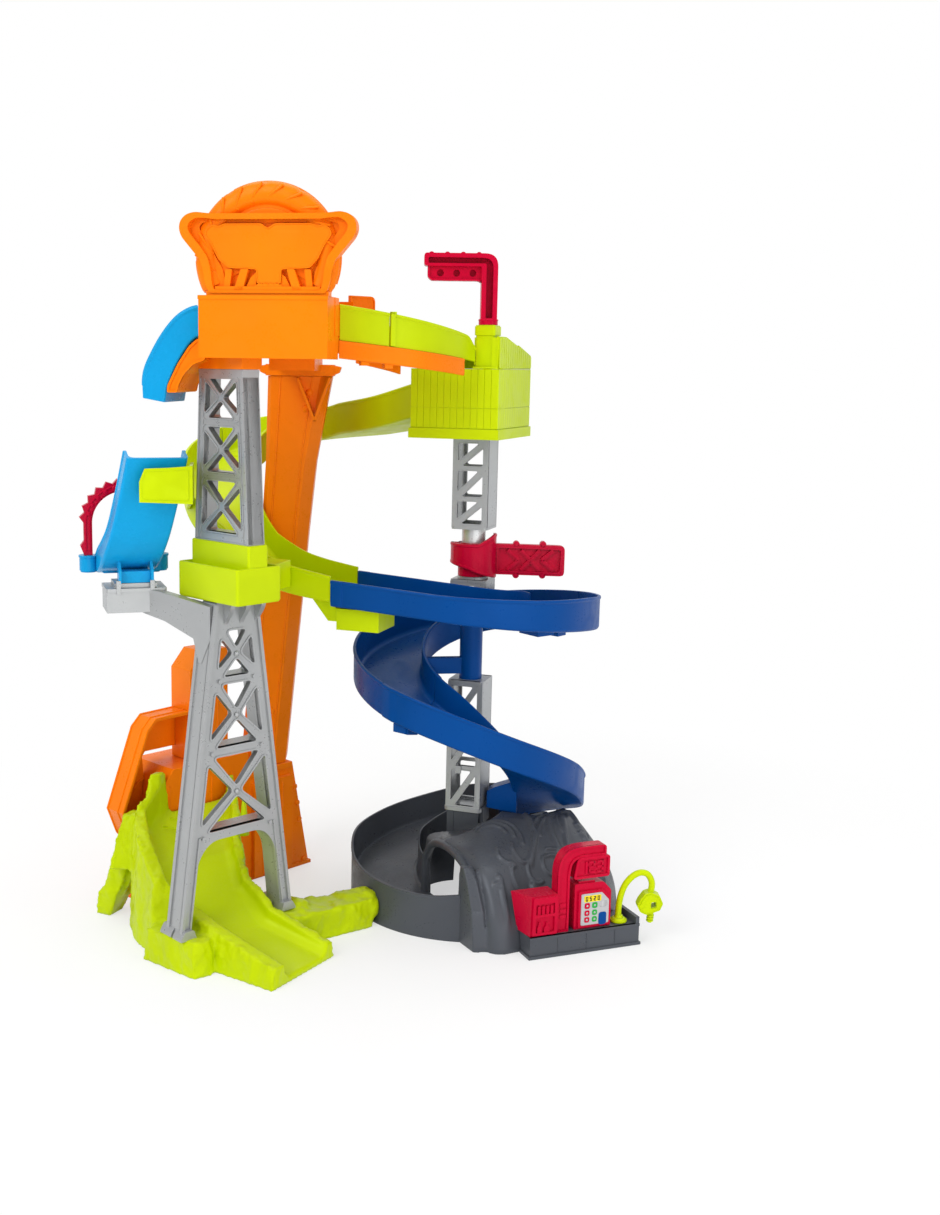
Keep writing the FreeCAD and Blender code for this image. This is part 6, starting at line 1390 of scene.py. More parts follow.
def make_landing():
    """Light-blue landing ramp, the flame arch on it, its silver arm and the lime clip."""
    kit = bmesh.new()
    stations = [(-304.5, -172.0, 487.0, -76.0, 24.0), (-313.0, -165.0, 452.0, -73.0, 23.0),
                (-323.5, -155.0, 415.0, -69.0, 22.0), (-332.5, -145.0, 392.0, -52.0, 22.0),
                (-340.0, -130.0, 379.0, -28.0, 21.0), (-348.0, -106.0, 371.0, -8.0, 18.0),
                (-351.5, -94.0, 370.0, 0.0, 18.0)]

    def place_at(values):
        x, y, z, pitch, tall = values
        return x, y, 107.0, z, pitch, tall

    add_rows(kit, ramp_rows(stations, 28.5, place_at))
    place = placed(-350.0, -102.0, 107.0)
    for side in (-1, 1):
        for z0, z1, r in ((371.5, 373.0, 7.6), (373.0, 386.5, 8.6), (386.0, 388.0, 9.3)):
            add_rod(kit, (0, side * 34.5, z0), (0, side * 34.5, z1), r, place)
    foot = placed(-336.0, -128.0, 107.0)
    add_box(kit, -16.0, 16.0, -14.0, 14.0, 366.0, 377.0, foot)
    for y in (-16.5, 14.0):
        add_slab(kit, [(-22.0, 366.5), (-10.0, 366.5), (-10.0, 388.0), (-19.0, 381.0), (-22.0, 379.0)],
                 y, y + 2.5,
                 place=foot)
    apron = rounded([(-28.5, 371.0), (28.5, 371.0), (29.5, 388.0), (-29.5, 388.0)], 3.0)
    add_slab(kit, apron, 17.5, 20.0, place=placed(-336.0, -128.0, 17.0))
    finish_piece(kit, "landing_chute", "light_blue", "track", ["landing_ramp"], 0.5, 40.0)

    kit = solid_copy("flame_arch")
    arch = 34.5
    spring = 460.0 - arch - 6.0
    for side in (-1, 1):
        for radius in (arch - 2.0, arch + 2.0):
            line = [(side * 4.0, -radius, 392.0)]
            line += [(side * 4.0, radius * -math.cos(math.radians(a)),
                      spring + radius * math.sin(math.radians(a)))
                     for a in range(0, 181, 12)]
            line += [(side * 4.0, radius, 392.0)]
            add_tube(kit, [place @ Vector(p) for p in line], 0.8, count=8)
        for i in range(1, 12):
            c, s = direction(15.0 * i)
            add_dome(kit, (side * 4.0, arch * c, spring + arch * s), 2.4, (0.5, 1.0, 1.0), place)
    finish_piece(kit, "flame_arch_relief", "red", "track", ["flame_arch"], 0.9, 30.0)

    kit = solid_copy("ramp_arm")
    for y in (-17.0, 15.0):
        add_box(kit, -22.5, -19.0, y, y + 4.0, 356.0, 369.0, foot)
    add_slab(kit, rounded(oblong(-21.8, -28.8, 21.8, 28.8), 2.0), 358.0, 361.4, [], foot, True)
    finish_piece(kit, "ramp_arm_body", "silver", "track", ["ramp_arm"], 1.2, 35.0, 3)

    kit = solid_copy("ramp_clip")
    tab = [(-316.5, 450.0), (-274.5, 449.5), (-274.5, 477.5), (-294.0, 475.8), (-313.5, 475.0),
           (-316.5, 465.0)]
    add_slab(kit, rounded(tab, 2.0), -184.7, -182.0)
    finish_piece(kit, "clip_plate", "lime", "track", ["ramp_clip"], 1.2, 35.0, 3)


# Orange back structure

BASE = placed(-330.0, -53.0, 45.2)


def make_rear():
    """Orange column with its head, the base housing, its tower and the wing."""
    kit = solid_copy("rear_column")
    stations = [(-228.0, 90.0, 127.3, 50.0), (-202.5, 71.0, 395.0, 51.0), (-196.0, 66.0, 470.0, 54.0),
                (-186.0, 58.0, 562.0, 68.0)]
    for share in (-0.30, 0.20):
        line = [(cx + wide * share, cy - 23.0 - 0.1, z) for cx, cy, z, wide in stations]
        add_tube(kit, line, 0.9, count=8)
    for z, x_off in ((545.0, 12.0), (528.0, 10.0), (205.0, -2.0), (190.0, 4.0)):
        low = stations[0] if z < 395 else stations[2]
        high = stations[1] if z < 395 else stations[3]
        share = (z - low[2]) / (high[2] - low[2])
        cx = low[0] + (high[0] - low[0]) * share
        cy = low[1] + (high[1] - low[1]) * share
        add_dome(kit, (cx + x_off, cy - 23.0, z), 4.0, (1.0, 0.5, 1.0))
    x, y, z1 = -186.0, 58.0 - 23.0, 562.0
    for a, b in (((x - 2.0, z1 - 2.0), (x + 16.0, z1 - 46.0)),
                 ((x + 32.0, z1 - 2.0), (x + 16.0, z1 - 46.0))):
        rib = [(a[0] - 1.4, a[1]), (a[0] + 1.4, a[1]), (b[0] + 1.4, b[1]), (b[0] - 1.4, b[1])]
        add_slab(kit, rib, y - 9.0, y + 2.0)
    finish_piece(kit, "rear_column_body", "orange", "track", ["rear_column"], 1.6, 25.0, 3)
    kit = solid_copy("column_head")
    for side in (-1, 1):
        ear = [(x + side * 34.0, 574.0), (x + side * 44.0, 572.0), (x + side * 42.0, 566.0),
               (x + side * 34.0, 562.5)]
        add_slab(kit, rounded(ear, 1.5), y - 2.0, y + 24.0)
    finish_piece(kit, "column_head_cap", "orange", "track", ["column_head"], 1.2, 35.0, 3)

    kit = solid_copy("base_housing")
    for u in (142.0, 156.0, 170.0):
        add_box(kit, u, u + 1.6, -7.0, -5.5, 6.0, 108.0, BASE)
    for u in (18.0, 46.0, 74.0, 102.0):
        add_box(kit, u, u + 1.6, -0.8, 0.8, 6.0, 132.0, BASE)
    add_box(kit, 126.0, 190.0, -1.2, 1.0, 120.0, 127.0, BASE)
    add_box(kit, 206.0, 213.0, -2.0, 70.0, 4.0, 9.0, BASE)
    for u, z in ((195.0, 96.0), (199.0, 76.0), (202.0, 56.0)):
        add_dome(kit, (u, -0.2, z), 3.4, (1, 0.5, 1), BASE)
    finish_piece(kit, "base_shell", "orange", "track", ["base_housing"], 1.4, 35.0, 3)
    kit = solid_copy("base_tower")
    for u in (66.0, 92.0):
        add_box(kit, u, u + 1.6, 11.2, 12.6, 156.0, 262.0, BASE)
    finish_piece(kit, "base_stub", "orange", "track", ["base_tower"], 1.6, 35.0, 3)
    kit = solid_copy("landing_wing")
    edge = [(55.0, 205.0), (12.0, 204.0), (1.0, 193.0), (-31.0, 110.0), (-20.0, 82.0), (-6.0, 63.0)]
    for y in (14.4, 24.0, 42.0):
        add_tube(kit, [BASE @ Vector((u, y, z)) for u, z in edge], 1.3, count=10)
    add_tube(kit, [BASE @ Vector((u, 39.4, z)) for u,
                   z in ((52.0, 134.0), (14.0, 134.0), (4.0, 130.0), (-20.0, 92.0))],
             1.2, count=10)
    finish_piece(kit, "landing_wing_shell", "orange", "track", ["landing_wing"], 1.0, 35.0, 3)


# Deck

DECK_X, DECK_Y = -160.7, 3.0


def deck_height(angle):
    return 598.0 + (579.0 - 598.0) * (angle + 88.0) / 64.0


def deck_sweep(kit, section, a0, a1):
    """A curved strip of the deck. The section's points are radius and height above the deck."""
    rows = []
    for angle in steps(a0, a1, 1.5):
        c, s = direction(angle)
        z = deck_height(angle)
        points = section(angle) if callable(section) else section
        rows.append([Vector((DECK_X + r * c, DECK_Y + r * s, z + up)) for r, up in points])
    add_rows(kit, rows)


def cut_deck(kit):
    """Take away what would be in the house or in the platform."""
    rooms = ((HOUSE, (-HOUSE_WIDE / 2 - 0.3, HOUSE_WIDE), (-HOUSE_DEEP / 2 - 0.3, HOUSE_DEEP)),
             (PLATFORM, (-59.3, 59.3), (-5.0, 148.0)))
    for place, wide, deep in rooms:
        for co, no in (((wide[0], 0, 0), (1, 0, 0)), ((wide[1], 0, 0), (1, 0, 0)),
                       ((0, deep[0], 0), (0, 1, 0))):
            bmesh.ops.bisect_plane(kit, geom=kit.verts[:] + kit.edges[:] + kit.faces[:],
                                   plane_co=place @ Vector(co), plane_no=place.to_3x3() @ Vector(no))
        back = place.inverted()
        inside = []
        for face in kit.faces:
            spot = back @ face.calc_center_median()
            if wide[0] < spot.x < wide[1] and deep[0] < spot.y < deep[1]:
                inside.append(face)
        bmesh.ops.delete(kit, geom=inside, context="FACES")
        bmesh.ops.holes_fill(kit, edges=[e for e in kit.edges if e.is_boundary])


def rail_tall(angle):
    share = (angle + 88.0) / 64.0
    return 33.0 - 11.0 * max(share, 0.0) ** 1.5


def rail_section(r0, out, a1):
    def section(angle):
        tall = rail_tall(angle)
        end = 1.0 - smooth_share(angle, a1 - 7.0, a1) * 0.35 if a1 > -30 else 1.0
        tall *= end
        points = [(0.0, 0.2), (3.0, 0.2), (3.0, tall - 3.4), (4.0, tall - 2.6), (4.2, tall - 1.0),
                  (3.4, tall),
                  (0.6, tall), (0.0, tall - 0.8)]
        if out < 0:
            points = [(3.0 - a, b) for a, b in reversed(points)]
        return [(r0 + a, b) for a, b in points]
    return section


def make_deck():
    """Orange curved deck and the lime rails with rolled tops and a hook at their joint."""
    kit = bmesh.new()
    plate = [(94.0, -16.0), (96.5, -16.0), (96.5, -3.0), (167.5, -3.0), (167.5, -16.0), (168.8, -16.4),
             (170.0, -15.6),
             (170.2, -13.8), (169.9, -3.0), (170.4, -1.6), (170.2, -0.3), (169.0, 0.0), (94.0, 0.0)]
    deck_sweep(kit, plate, -88.0, -33.5)
    cut_deck(kit)
    for angle in (-74.0, -66.0):
        c, s = direction(angle)
        z = deck_height(angle)
        add_box(kit, -6.0, 2.0, -4.0, 4.0, z - 20.0, z - 8.0,
                placed(DECK_X + 166.0 * c, DECK_Y + 166.0 * s, angle))
    finish_piece(kit, "deck_plate", "orange", "track", ["deck"], 0.5, 35.0)
    for name, node, r0, out, a0, a1 in (
            ("near_rail_a", "near_rail_start", 165.0, 1, -88.0, -66.0),
            ("near_rail_b", "near_rail_end", 165.0, 1, -65.6, -24.0),
            ("far_rail_run", "far_rail", 96.0, -1, -56.6, -24.0)):
        kit = bmesh.new()
        deck_sweep(kit, rail_section(r0, out, a1), a0, a1)
        cut_deck(kit)
        if name == "near_rail_b":
            c, s = direction(-65.0)
            z = deck_height(-65.0)
            place = placed(DECK_X + 168.6 * c, DECK_Y + 168.6 * s, -65.0)
            add_box(kit, -0.6, 1.6, -2.4, 2.4, z + 1.0, z + rail_tall(-65.0) + 1.4, place)
            add_box(kit, -2.0, 1.6, -2.4, 3.4, z + rail_tall(-65.0) - 1.0, z + rail_tall(-65.0) + 1.6,
                    place)
        finish_piece(kit, name, "lime", "track", [node], 0.4, 40.0)


# Moving red pieces and the fuel stop

def make_lever():
    """Red crank: rounded post with a deep recess, a bumped beam and the panel with three holes."""
    u, v = CHIMNEY_X, CHIMNEY_Y
    c, s = direction(HOUSE_TURN)
    place = placed(HOUSE_X + u * c - v * s, HOUSE_Y + u * s + v * c)
    kit = bmesh.new()
    z0, top, half, reach = CHIMNEY_TOP + 0.3, 684.0, 8.0, 64.5
    crank = [(half, z0 + 3.5), (half, top), (-reach, top), (-reach, top - 12.5), (-half, top - 12.5),
             (-half, z0 + 3.5)]
    crank_loop = rounded(crank, [1, 13, 3, 3, 2, 1], 8)
    groove = [(half - 4.6, z0 + 6.5), (half - 4.6, top - 4.4), (-reach + 4.0, top - 4.2),
              (-reach + 4.0, top - 9.8),
              (-half + 4.6, top - 9.8), (-half + 4.6, z0 + 6.5)]
    groove_loop = rounded(groove, [1, 10, 1.5, 1.5, 2, 1], 8)
    add_slab(kit, crank_loop, -half, 4.5, [groove_loop], place)
    add_slab(kit, crank_loop, 4.0, half, place=place)
    panel = [(-reach + 3.5, top - 11.0), (-half + 1.0, top - 11.0), (-half + 1.0, top - 29.0),
             (-half - 3.0, top - 26.5),
             (-reach + 7.0, top - 26.5), (-reach + 3.5, top - 23.0)]
    holes = []
    for i in range(3):
        holes.append(arc(-reach + 16.0 + 16.0 * i, top - 19.0, 3.4, 0, 342, 19))
    panel_loop = rounded(panel, 2.0)
    add_slab(kit, panel_loop, -3.0, 3.5, holes, place)
    add_slab(kit, panel_loop, 3.0, 6.0, place=place)
    add_slab(kit, panel_loop, -5.5, -2.5, [inset_loop(panel_loop, 2.0)], place)
    for i in range(4):
        x = -reach + 7.0 + 15.5 * i
        add_rod(kit, (x, -half + 1.0, top - 1.5), (x, half - 1.0, top - 1.5), 2.8, place)
    add_rod(kit, (0, 0, z0), (0, 0, z0 + 4.5), 9.5, place)
    add_rod(kit, (0, 0, z0 + 4.2), (0, 0, z0 + 5.6), 10.2, place, 9.4)
    add_rod(kit, (0, 0, 560.0), (0, 0, z0 + 1.0), 4.0, place)
    finish_piece(kit, "lever_crank", "red", "lever_arm", ["lever"], 0.7, 35.0, 3)


def make_gate():
    """Red gate: hub, slanted shield round the tube and the paddle with its cross and chevrons."""
    kit = bmesh.new()
    z0, tall = 357.0, 35.0
    z1 = z0 + tall
    rows = []
    inner, hub = 12.6, 16.0
    for r, z in ((inner, z0), (hub, z0), (hub, z1), (inner, z1)):
        rows.append([Vector((r * math.cos(math.tau * i / 40), r * math.sin(math.tau * i / 40),
                             z)) for i in range(40)])
    add_rows(kit, rows + [rows[0]], caps=False)
    levels = [(-24.5, z0 + 13.0, z1), (-8.0, z0 + 9.0, z1), (4.0, z0 + 4.0, z1),
              (24.5, z0 - 2.0, z1 + 10.0)]

    def level_at(x, column):
        for a, b in zip(levels, levels[1:]):
            if a[0] <= x <= b[0]:
                return a[column] + (b[column] - a[column]) * (x - a[0]) / (b[0] - a[0])
        return levels[-1][column]

    strip = []
    for degrees in steps(171.0, 369.0, 4.5):
        c, s = direction(degrees)
        low, high = level_at(24.0 * c, 1), level_at(24.0 * c, 2)
        strip.append([Vector((r * c, r * s, z)) for r, z in (
            (21.0, low), (23.6, low), (24.5, low + 0.9), (24.5, low + 2.6), (24.0, low + 3.2),
                                                             (24.0, high - 3.2),
            (24.5, high - 2.6), (24.5, high - 0.9), (23.6, high), (21.0, high))])
    add_rows(kit, strip)
    for x0, x1 in ((-23.0, -12.6), (12.6, 23.0)):
        add_box(kit, x0, x1, -3.0, 3.0, z0 + 13.0, z1)
    x0, x1, half = 22.0, 96.0, 3.5
    outline = rounded([(x0, z0 + 1.5), (x1 - 2, z0), (x1, z0 + 3), (x1, z1 - 5), (x1 - 3, z1 - 2.5),
                       (x0, z1 - 1)],
                      [0, 4, 4, 4, 4, 0])
    pocket = rounded([(x0 + 4.0, z0 + 5.5), (x1 - 5.0, z0 + 4.0), (x1 - 4.0, z1 - 7.0),
                      (x0 + 4.0, z1 - 5.0)], 3.0)
    add_slab(kit, outline, -half, -half + 3.6, [pocket])
    add_slab(kit, outline, -half + 3.0, half)
    add_slab(kit, rim_loop(pocket, 1.6), -half - 0.7, -half + 1.0, [pocket])
    mid_x, mid_z = (x0 + x1) / 2 + 1.0, (z0 + z1) / 2 - 0.8

    def rib(a, b, wide, depth):
        run = Vector((b[0] - a[0], b[1] - a[1])).normalized()
        n = Vector((-run.y, run.x)) * wide / 2
        add_slab(kit, [(a[0] + n.x, a[1] + n.y), (b[0] + n.x, b[1] + n.y), (b[0] - n.x, b[1] - n.y),
                       (a[0] - n.x, a[1] - n.y)], -half - depth, 0.5)

    for side in (-1, 1):
        rib((mid_x - 10.0, mid_z - side * 10.5), (mid_x + 10.0, mid_z + side * 10.5), 4.2, 0.0)
        rib((mid_x - 10.0, mid_z - side * 10.5), (mid_x + 10.0, mid_z + side * 10.5), 1.4, 0.7)
        tip, far = mid_x + side * 12.0, mid_x + side * 24.0
        for up in (-1, 1):
            rib((tip, mid_z), (far, mid_z + up * 10.5), 4.2, 0.0)
            rib((tip, mid_z), (far, mid_z + up * 10.5), 1.4, 0.7)
    for x in (mid_x - 15.0, mid_x + 13.0):
        for z in (z0 + 0.8, z1 - 1.4):
            add_rod(kit, (x, -half, z), (x, half, z), 3.4)
            add_rod(kit, (x, -half - 0.6, z), (x, half, z), 1.8)
    finish_piece(kit, "gate_paddle", "red", "gate", ["gate_arm"], 0.6, 35.0, 3)


STATION = placed(54.0, -165.0, 20.4)
TRAY_TALL = 22.0


def digit(kit, shape, x, z, size, y0, y1):
    """A plain number built of strokes."""
    wide, tall, w = size * 0.56, size, size * 0.17
    bars = {
        "top": (0, wide, tall - w, tall), "mid": (0, wide, tall / 2 - w / 2, tall / 2 + w / 2),
            "low": (0, wide, 0, w),
        "ul": (0, w, tall / 2, tall), "ur": (wide - w, wide, tall / 2, tall),
        "ll": (0, w, 0, tall / 2), "lr": (wide - w, wide, 0, tall / 2),
    }
    parts = {"1": ["ur", "lr"], "2": ["top", "ur", "mid", "ll", "low"],
             "3": ["top", "ur", "mid", "lr", "low"],
             "5": ["top", "ul", "mid", "lr", "low"], "0": ["top", "ul", "ur", "ll", "lr", "low"]}
    for part in parts[shape]:
        a, b, c, d = bars[part]
        add_box(kit, x + a, x + b, y0, y1, z + c, z + d, STATION)


def make_station():
    """Red cabinet, post, number board and pump, with the pump's printed panel."""
    z0 = TRAY_TALL
    kit = bmesh.new()
    add_levels(kit, (
        (z0, [(1.0, 3.0), (30.0, 3.0), (30.0, 26.0), (-2.0, 26.0)]),
        (z0 + 41.0, [(2.0, 3.0), (30.5, 3.0), (30.5, 26.0), (-10.0, 26.0)])), STATION)
    face = rounded([(2.2, z0 + 1.5), (29.6, z0 + 1.5), (29.6, z0 + 40.0), (3.2, z0 + 40.0)], 1.5)
    shelf = rounded(oblong(6.0, z0 + 22.5, 26.5, z0 + 33.5), 1.2)
    door = rounded(oblong(6.0, z0 + 4.0, 26.5, z0 + 20.0), 1.2)
    add_slab(kit, face, 0.8, 3.4, [shelf, door], STATION)
    for i in range(4):
        x = 8.0 + 4.7 * i
        add_slab(kit, rounded(oblong(x, z0 + 22.0, x + 3.0, z0 + 31.0), 0.8),
                 1.4, 3.2, place=STATION)
    for x, w, tall in ((10.5, 5.0, 12.0), (18.5, 6.0, 11.0)):
        bottle = rounded([(x - w / 2, z0 + 4.0), (x + w / 2, z0 + 4.0), (x + w / 2, z0 + tall - 3.0),
                          (x + 1.0, z0 + tall), (x + 1.0, z0 + tall + 3.0), (x - 1.0, z0 + tall + 3.0),
                          (x - 1.0, z0 + tall), (x - w / 2, z0 + tall - 3.0)], 0.8)
        add_slab(kit, bottle, 1.2, 3.2, place=STATION)
    finish_piece(kit, "station_cabinet", "red", "track", ["cabinet"], 0.7, 35.0, 3)

    kit = bmesh.new()
    top = z0 + 86.0
    outline = [(31.0, z0), (44.0, z0), (44.0, top - 26.0), (46.5, top - 15.0), (55.0, top - 11.0),
               (84.0, top - 11.0), (84.0, top), (52.0, top), (38.0, top - 4.0), (31.0, top - 18.0)]
    loop = rounded(outline, [1, 1, 6, 6, 4, 2, 4, 10, 12, 10], 7)
    add_slab(kit, loop, 6.0, 18.0, place=STATION)
    add_slab(kit, loop, 4.6, 7.0, [inset_loop(loop, 2.2)], STATION)
    for z in (z0 + 14.0, z0 + 20.0, z0 + 26.0):
        add_box(kit, 34.0, 41.0, 5.0, 6.5, z, z + 3.6, STATION)
    finish_piece(kit, "station_arch", "red", "track", ["station_post"], 0.7, 35.0, 3)

    kit = bmesh.new()
    board_top = z0 + 75.0
    low = board_top - 22.0
    board = rounded([(48.0, low), (88.0, low), (88.0, board_top), (52.0, board_top)], [3, 3, 3, 5])
    add_slab(kit, board, 5.6, 15.0, place=STATION)
    add_slab(kit, board, 4.0, 7.0, [inset_loop(board, 2.6)], STATION)
    for x, shape in ((56.0, "1"), (64.5, "2"), (74.0, "3")):
        digit(kit, shape, x, low + 4.6, 12.5, 4.4, 6.2)
    for x in (58.0, 68.0, 78.0):
        add_box(kit, x, x + 5.0, 4.4, 9.0, board_top - 2.0, board_top + 2.6, STATION)
    finish_piece(kit, "number_board", "red", "track", ["station_board"], 0.5, 35.0)

    kit = bmesh.new()
    pump = rounded([(51.0, z0), (92.0, z0), (92.0, z0 + 37.0), (83.0, z0 + 47.0), (51.0, z0 + 47.0)],
                   [1, 1, 2, 3, 2])
    add_slab(kit, pump, 6.5, 24.0, place=STATION)
    face = rounded([(54.5, z0 + 2.0), (90.5, z0 + 2.0), (90.5, z0 + 30.0), (81.5, z0 + 39.5),
                    (54.5, z0 + 39.5)], 1.8)
    add_slab(kit, face, 4.0, 7.5, place=STATION)
    add_box(kit, 56.0, 74.0, 8.0, 20.0, z0 + 46.0, z0 + 49.0, STATION)
    finish_piece(kit, "pump_body", "red", "track", ["pump"], 0.8, 35.0, 3)

    kit = bmesh.new()
    card = rounded([(57.0, z0 + 4.5), (88.0, z0 + 4.5), (88.0, z0 + 28.5), (80.0, z0 + 37.0),
                    (57.0, z0 + 37.0)], 1.5)
    add_slab(kit, card, 3.2, 4.1, place=STATION)
    finish_piece(kit, "pump_card", "panel", "track", ["pump_panel"], 0.15, 35.0)
    kit = bmesh.new()
    screen = rounded(oblong(60.0, z0 + 28.5, 79.0, z0 + 35.0), 1.0)
    add_slab(kit, screen, 2.9, 3.4, place=STATION)
    finish_piece(kit, "card_screen", "panel", "track", [], 0.1, 35.0, ink="yellow")
    kit = bmesh.new()
    for x, shape in ((61.6, "0"), (66.0, "5"), (70.4, "2"), (74.8, "0")):
        digit(kit, shape, x, z0 + 29.5, 4.5, 2.7, 3.0)
    finish_piece(kit, "card_digits", "panel", "track", [], 0, ink="ink")
    for name, ink, spots in (
            ("card_red", "red", ((63.5, 24.5, 3.0), (63.5, 17.0, 2.8), (63.5, 10.0, 2.8))),
            ("card_green", "green_ink", ((72.0, 24.5, 3.0), (72.0, 17.0, 2.8), (72.0, 10.0, 2.8))),
            ("card_blue", "deep_blue", ((81.0, 12.0, 4.4),))):
        kit = bmesh.new()
        for x, z, r in spots:
            tall = 2.0 if name == "card_blue" else 1.0
            button = rounded(oblong(x - r, z0 + z - r * tall, x + r, z0 + z + r),
                             r * 0.7)
            add_slab(kit, button, 2.9, 3.4, place=STATION)
        finish_piece(kit, name, "panel", "track", [], 0.1, 35.0, ink=ink)
    kit = bmesh.new()
    add_slab(kit, rounded(oblong(77.6, z0 + 22.0, 85.2, z0 + 28.0), 0.6), 2.9, 3.4,
             place=STATION)
    for x, z in ((63.5, 24.5), (63.5, 17.0), (63.5, 10.0), (72.0, 24.5), (72.0, 17.0), (72.0, 10.0)):
        add_slab(kit, arc(x, z0 + z, 1.1, 0, 330, 11), 2.7, 3.0, place=STATION)
    finish_piece(kit, "card_marks", "panel", "track", [], 0)

    kit = solid_copy("station_tray")
    add_box(kit, 1.5, 120.5, 1.5, 38.5, 15.8, 17.4, STATION)
    for x in (30.0, 62.0, 94.0):
        add_box(kit, x, x + 0.8, -0.5, 0.5, 4.0, 20.5, STATION)
    add_slab(kit, rounded(oblong(-0.6, -0.6, 122.6, 3.0), 0.8), 19.4, 22.0, [], STATION, True)
    finish_piece(kit, "station_tray_shell", "grey", "track", ["station_tray"], 1.0, 35.0, 3)


def make_hose():
    """Lime neck on its flange, bent over, with the faceted nozzle."""
    place = placed(148.0, -117.0)
    kit = bmesh.new()
    add_rod(kit, (0, 0, 18.0), (0, 0, 24.0), 3.0, place)
    for z0, z1, r0, r1 in ((22.3, 24.6, 8.5, 8.5), (24.5, 26.4, 8.0, 6.0), (26.2, 29.0, 4.6, 4.0)):
        add_rod(kit, (0, 0, z0), (0, 0, z1), r0, place, r1)
    line = [(0, 0, 24), (-0.4, 0, 34), (1.2, 0, 48), (5.2, 0, 60), (12, 0, 69), (20, 0, 73.5),
            (27.5, 0, 72), (32, 0, 64.5),
            (32, 0, 56), (30, 0, 50)]
    add_tube(kit, [place @ p for p in smooth_line(line, 6)], 3.2)
    finish_piece(kit, "hose_neck", "lime", "hose", ["gooseneck"], 0.5, 40.0)
    kit = bmesh.new()
    body = [(20.0, 46.0), (25.0, 53.0), (31.0, 55.0), (40.0, 51.0), (43.5, 43.0), (40.5, 36.0),
            (34.0, 33.5), (27.0, 31.0),
            (20.5, 34.0), (17.5, 40.0)]
    window = rounded([(31.5, 38.5), (36.5, 39.5), (36.0, 45.0), (31.5, 44.0)], 1.0)
    loop = rounded(body, 1.6)
    add_slab(kit, loop, -6.0, 6.0, [window], place)
    add_slab(kit, inset_loop(loop, 2.0), -7.2, 7.2, [rim_loop(window, 0.6)], place)
    for x, z in ((23.5, 44.0), (24.5, 37.0)):
        add_rod(kit, (x, -7.6, z), (x, 7.6, z), 2.0, place)
    add_rod(kit, (33.0, 0, 34.5), (31.5, 0, 21.5), 3.0, place, 2.2)
    for share in (0.45, 0.65, 0.85):
        z = 34.5 - 13.0 * share
        add_rod(kit, (33.0 - 1.5 * share, 0, z + 0.7), (33.0 - 1.5 * share, 0, z - 0.7), 3.6, place)
    finish_piece(kit, "hose_nozzle", "lime", "hose", ["nozzle"], 0.6, 35.0, 3)


# Carried-over CAD nodes

def dress_cad():
    """Material and rounded edges for the nodes that no piece stands for."""
    slots = {row["node"]: row["material_slot"] for row in frame["record"]["subparts"]}
    for name, piece in frame["nodes"].items():
        piece.data.materials.clear()
        piece.data.materials.append(MATERIALS[slots[name]])
        soften(piece)


# Room, light and camera

def add_area(name, place, aim, size, power):
    light = bpy.data.lights.new(name, "AREA")
    light.shape = "RECTANGLE"
    light.size, light.size_y = size
    light.energy = power
    lamp = linked(name, light)
    lamp.location = place
    lamp.rotation_euler = (Vector(aim) - Vector(place)).to_track_quat("-Z", "Y").to_euler()


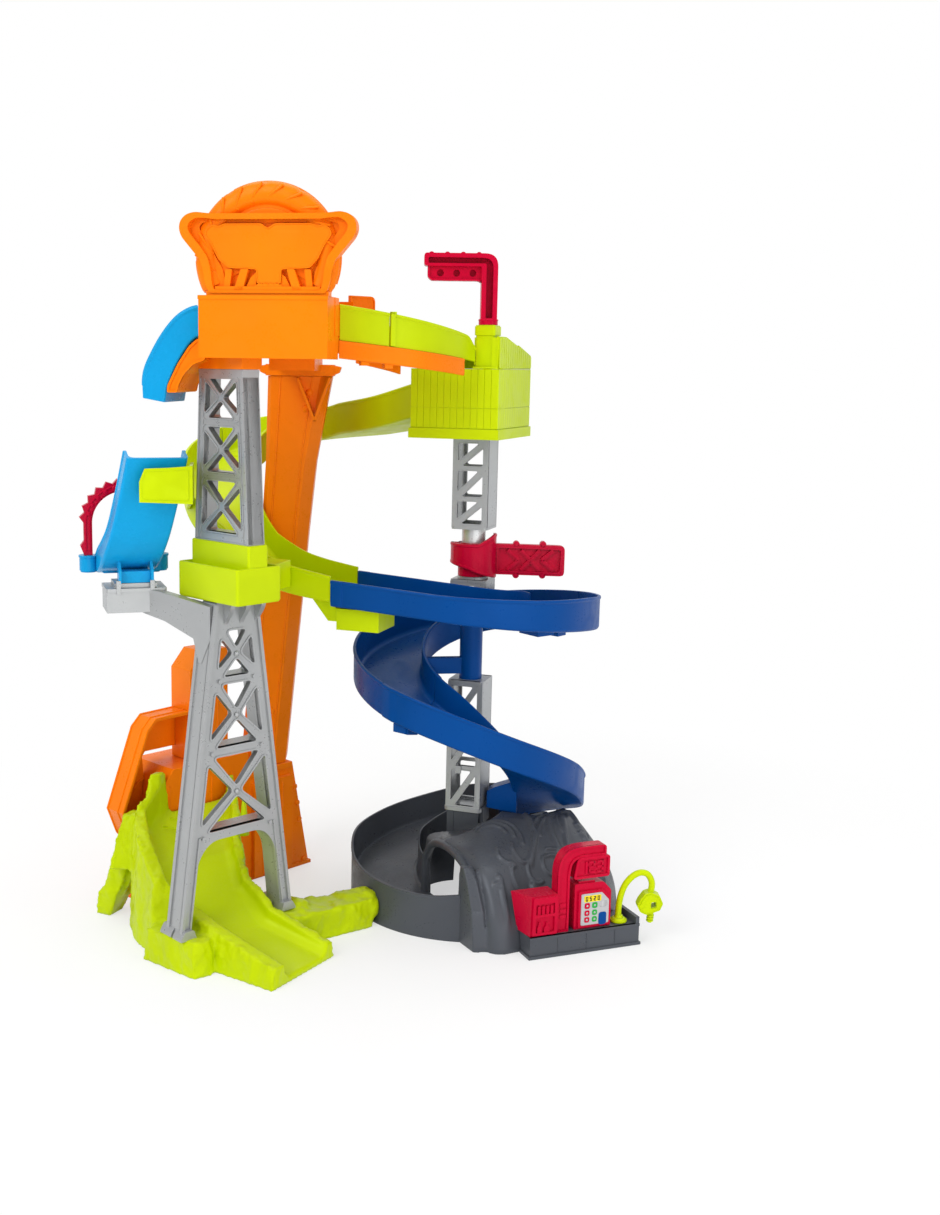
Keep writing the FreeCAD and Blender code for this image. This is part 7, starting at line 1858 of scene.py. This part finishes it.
def make_room():
    """Pale floor that runs up into a backdrop, white where the camera sees it away from the track."""
    mesh = bpy.data.meshes.new("floor")
    shape = bmesh.new()
    rows = []
    reach = 7.0
    profile = [(-3.0, 0.0), (2.2, 0.0)]
    for i in range(1, 13):
        angle = math.radians(90.0 * i / 12)
        profile.append((2.2 + 1.5 * math.sin(angle), 1.5 - 1.5 * math.cos(angle)))
    profile.append((3.7, 6.0))
    for y, z in profile:
        rows.append([shape.verts.new((x, y, z)) for x in (-reach, reach)])
    for low, high in zip(rows, rows[1:]):
        shape.faces.new((low[0], low[1], high[1], high[0]))
    shape.to_mesh(mesh)
    shape.free()
    smooth_faces(mesh)
    floor = linked("floor", mesh)
    material = bpy.data.materials.new("pale_floor")
    material.use_nodes = True
    tree = material.node_tree
    shader = tree.nodes["Principled BSDF"]
    place = tree.nodes.new("ShaderNodeTexCoord").outputs["Object"]
    cloud = noise_node(tree, place, 3.0, 3.0)
    tone = mixed(tree, ranged(tree, cloud, 0.3, 0.7, 0.0, 1.0), (0.90, 0.90, 0.90), (0.93, 0.93, 0.93))
    tree.links.new(tone, shader.inputs["Base Color"])
    shader.inputs["Roughness"].default_value = 0.75
    shader.inputs["Specular IOR Level"].default_value = 0.1
    glow = tree.nodes.new("ShaderNodeEmission")
    glow.inputs["Color"].default_value = (1.0, 1.0, 1.0, 1.0)
    away = tree.nodes.new("ShaderNodeVectorMath")
    away.operation = "LENGTH"
    tree.links.new(place, away.inputs[0])
    path = tree.nodes.new("ShaderNodeLightPath")
    seen = math_node(tree, "MAXIMUM", path.outputs["Is Camera Ray"], path.outputs["Is Glossy Ray"])
    share = math_node(tree, "MULTIPLY", seen, ranged(tree, away.outputs["Value"], 0.25, 0.80, 0.55, 1.0))
    both = tree.nodes.new("ShaderNodeMixShader")
    tree.links.new(share, both.inputs[0])
    tree.links.new(shader.outputs[0], both.inputs[1])
    tree.links.new(glow.outputs[0], both.inputs[2])
    tree.links.new(both.outputs[0], tree.nodes["Material Output"].inputs["Surface"])
    mesh.materials.append(material)


def make_light():
    world = bpy.data.worlds.new("studio")
    bpy.context.scene.world = world
    world.use_nodes = True
    background = world.node_tree.nodes["Background"]
    background.inputs["Color"].default_value = (1.0, 1.0, 1.0, 1.0)
    background.inputs["Strength"].default_value = 0.66
    add_area("key", (-1.5, -1.9, 1.9), (-0.1, 0.0, 0.35), (1.3, 1.5), 29.0)
    add_area("fill", (1.9, -1.6, 1.1), (-0.1, 0.0, 0.35), (1.0, 1.6), 10.0)
    add_area("low", (0.5, -1.7, 0.16), (-0.05, 0.0, 0.45), (1.8, 0.5), 5.5)
    add_area("top", (-0.1, 0.1, 2.3), (-0.1, 0.0, 0.3), (1.8, 1.6), 18.0)


def make_camera():
    data = bpy.data.cameras.new("camera")
    camera = linked("camera", data)
    camera.location = Vector(CAMERA_PLACE) * MM
    pitch = Matrix.Rotation(math.radians(90.0 - CAMERA_DOWN_DEG), 4, "X")
    roll = Matrix.Rotation(math.radians(CAMERA_ROLL_DEG), 4, "Z")
    camera.rotation_euler = (pitch @ roll).to_euler()
    data.lens = CAMERA_LENS
    data.shift_x, data.shift_y = CAMERA_SHIFT
    bpy.context.scene.camera = camera


make_hairpins()
make_spirals()
make_rock()
make_hill()
make_grey_channel()
make_lower_frame()
make_upper_frame()
make_collar()
make_collar_arm()
make_columns()
make_house()
make_sign()
make_platform()
make_top_ramp()
make_landing()
make_rear()
make_deck()
make_lever()
make_gate()
make_station()
make_hose()
dress_cad()
make_room()
make_light()
make_camera()
bpy.context.scene.view_settings.view_transform = "Standard"
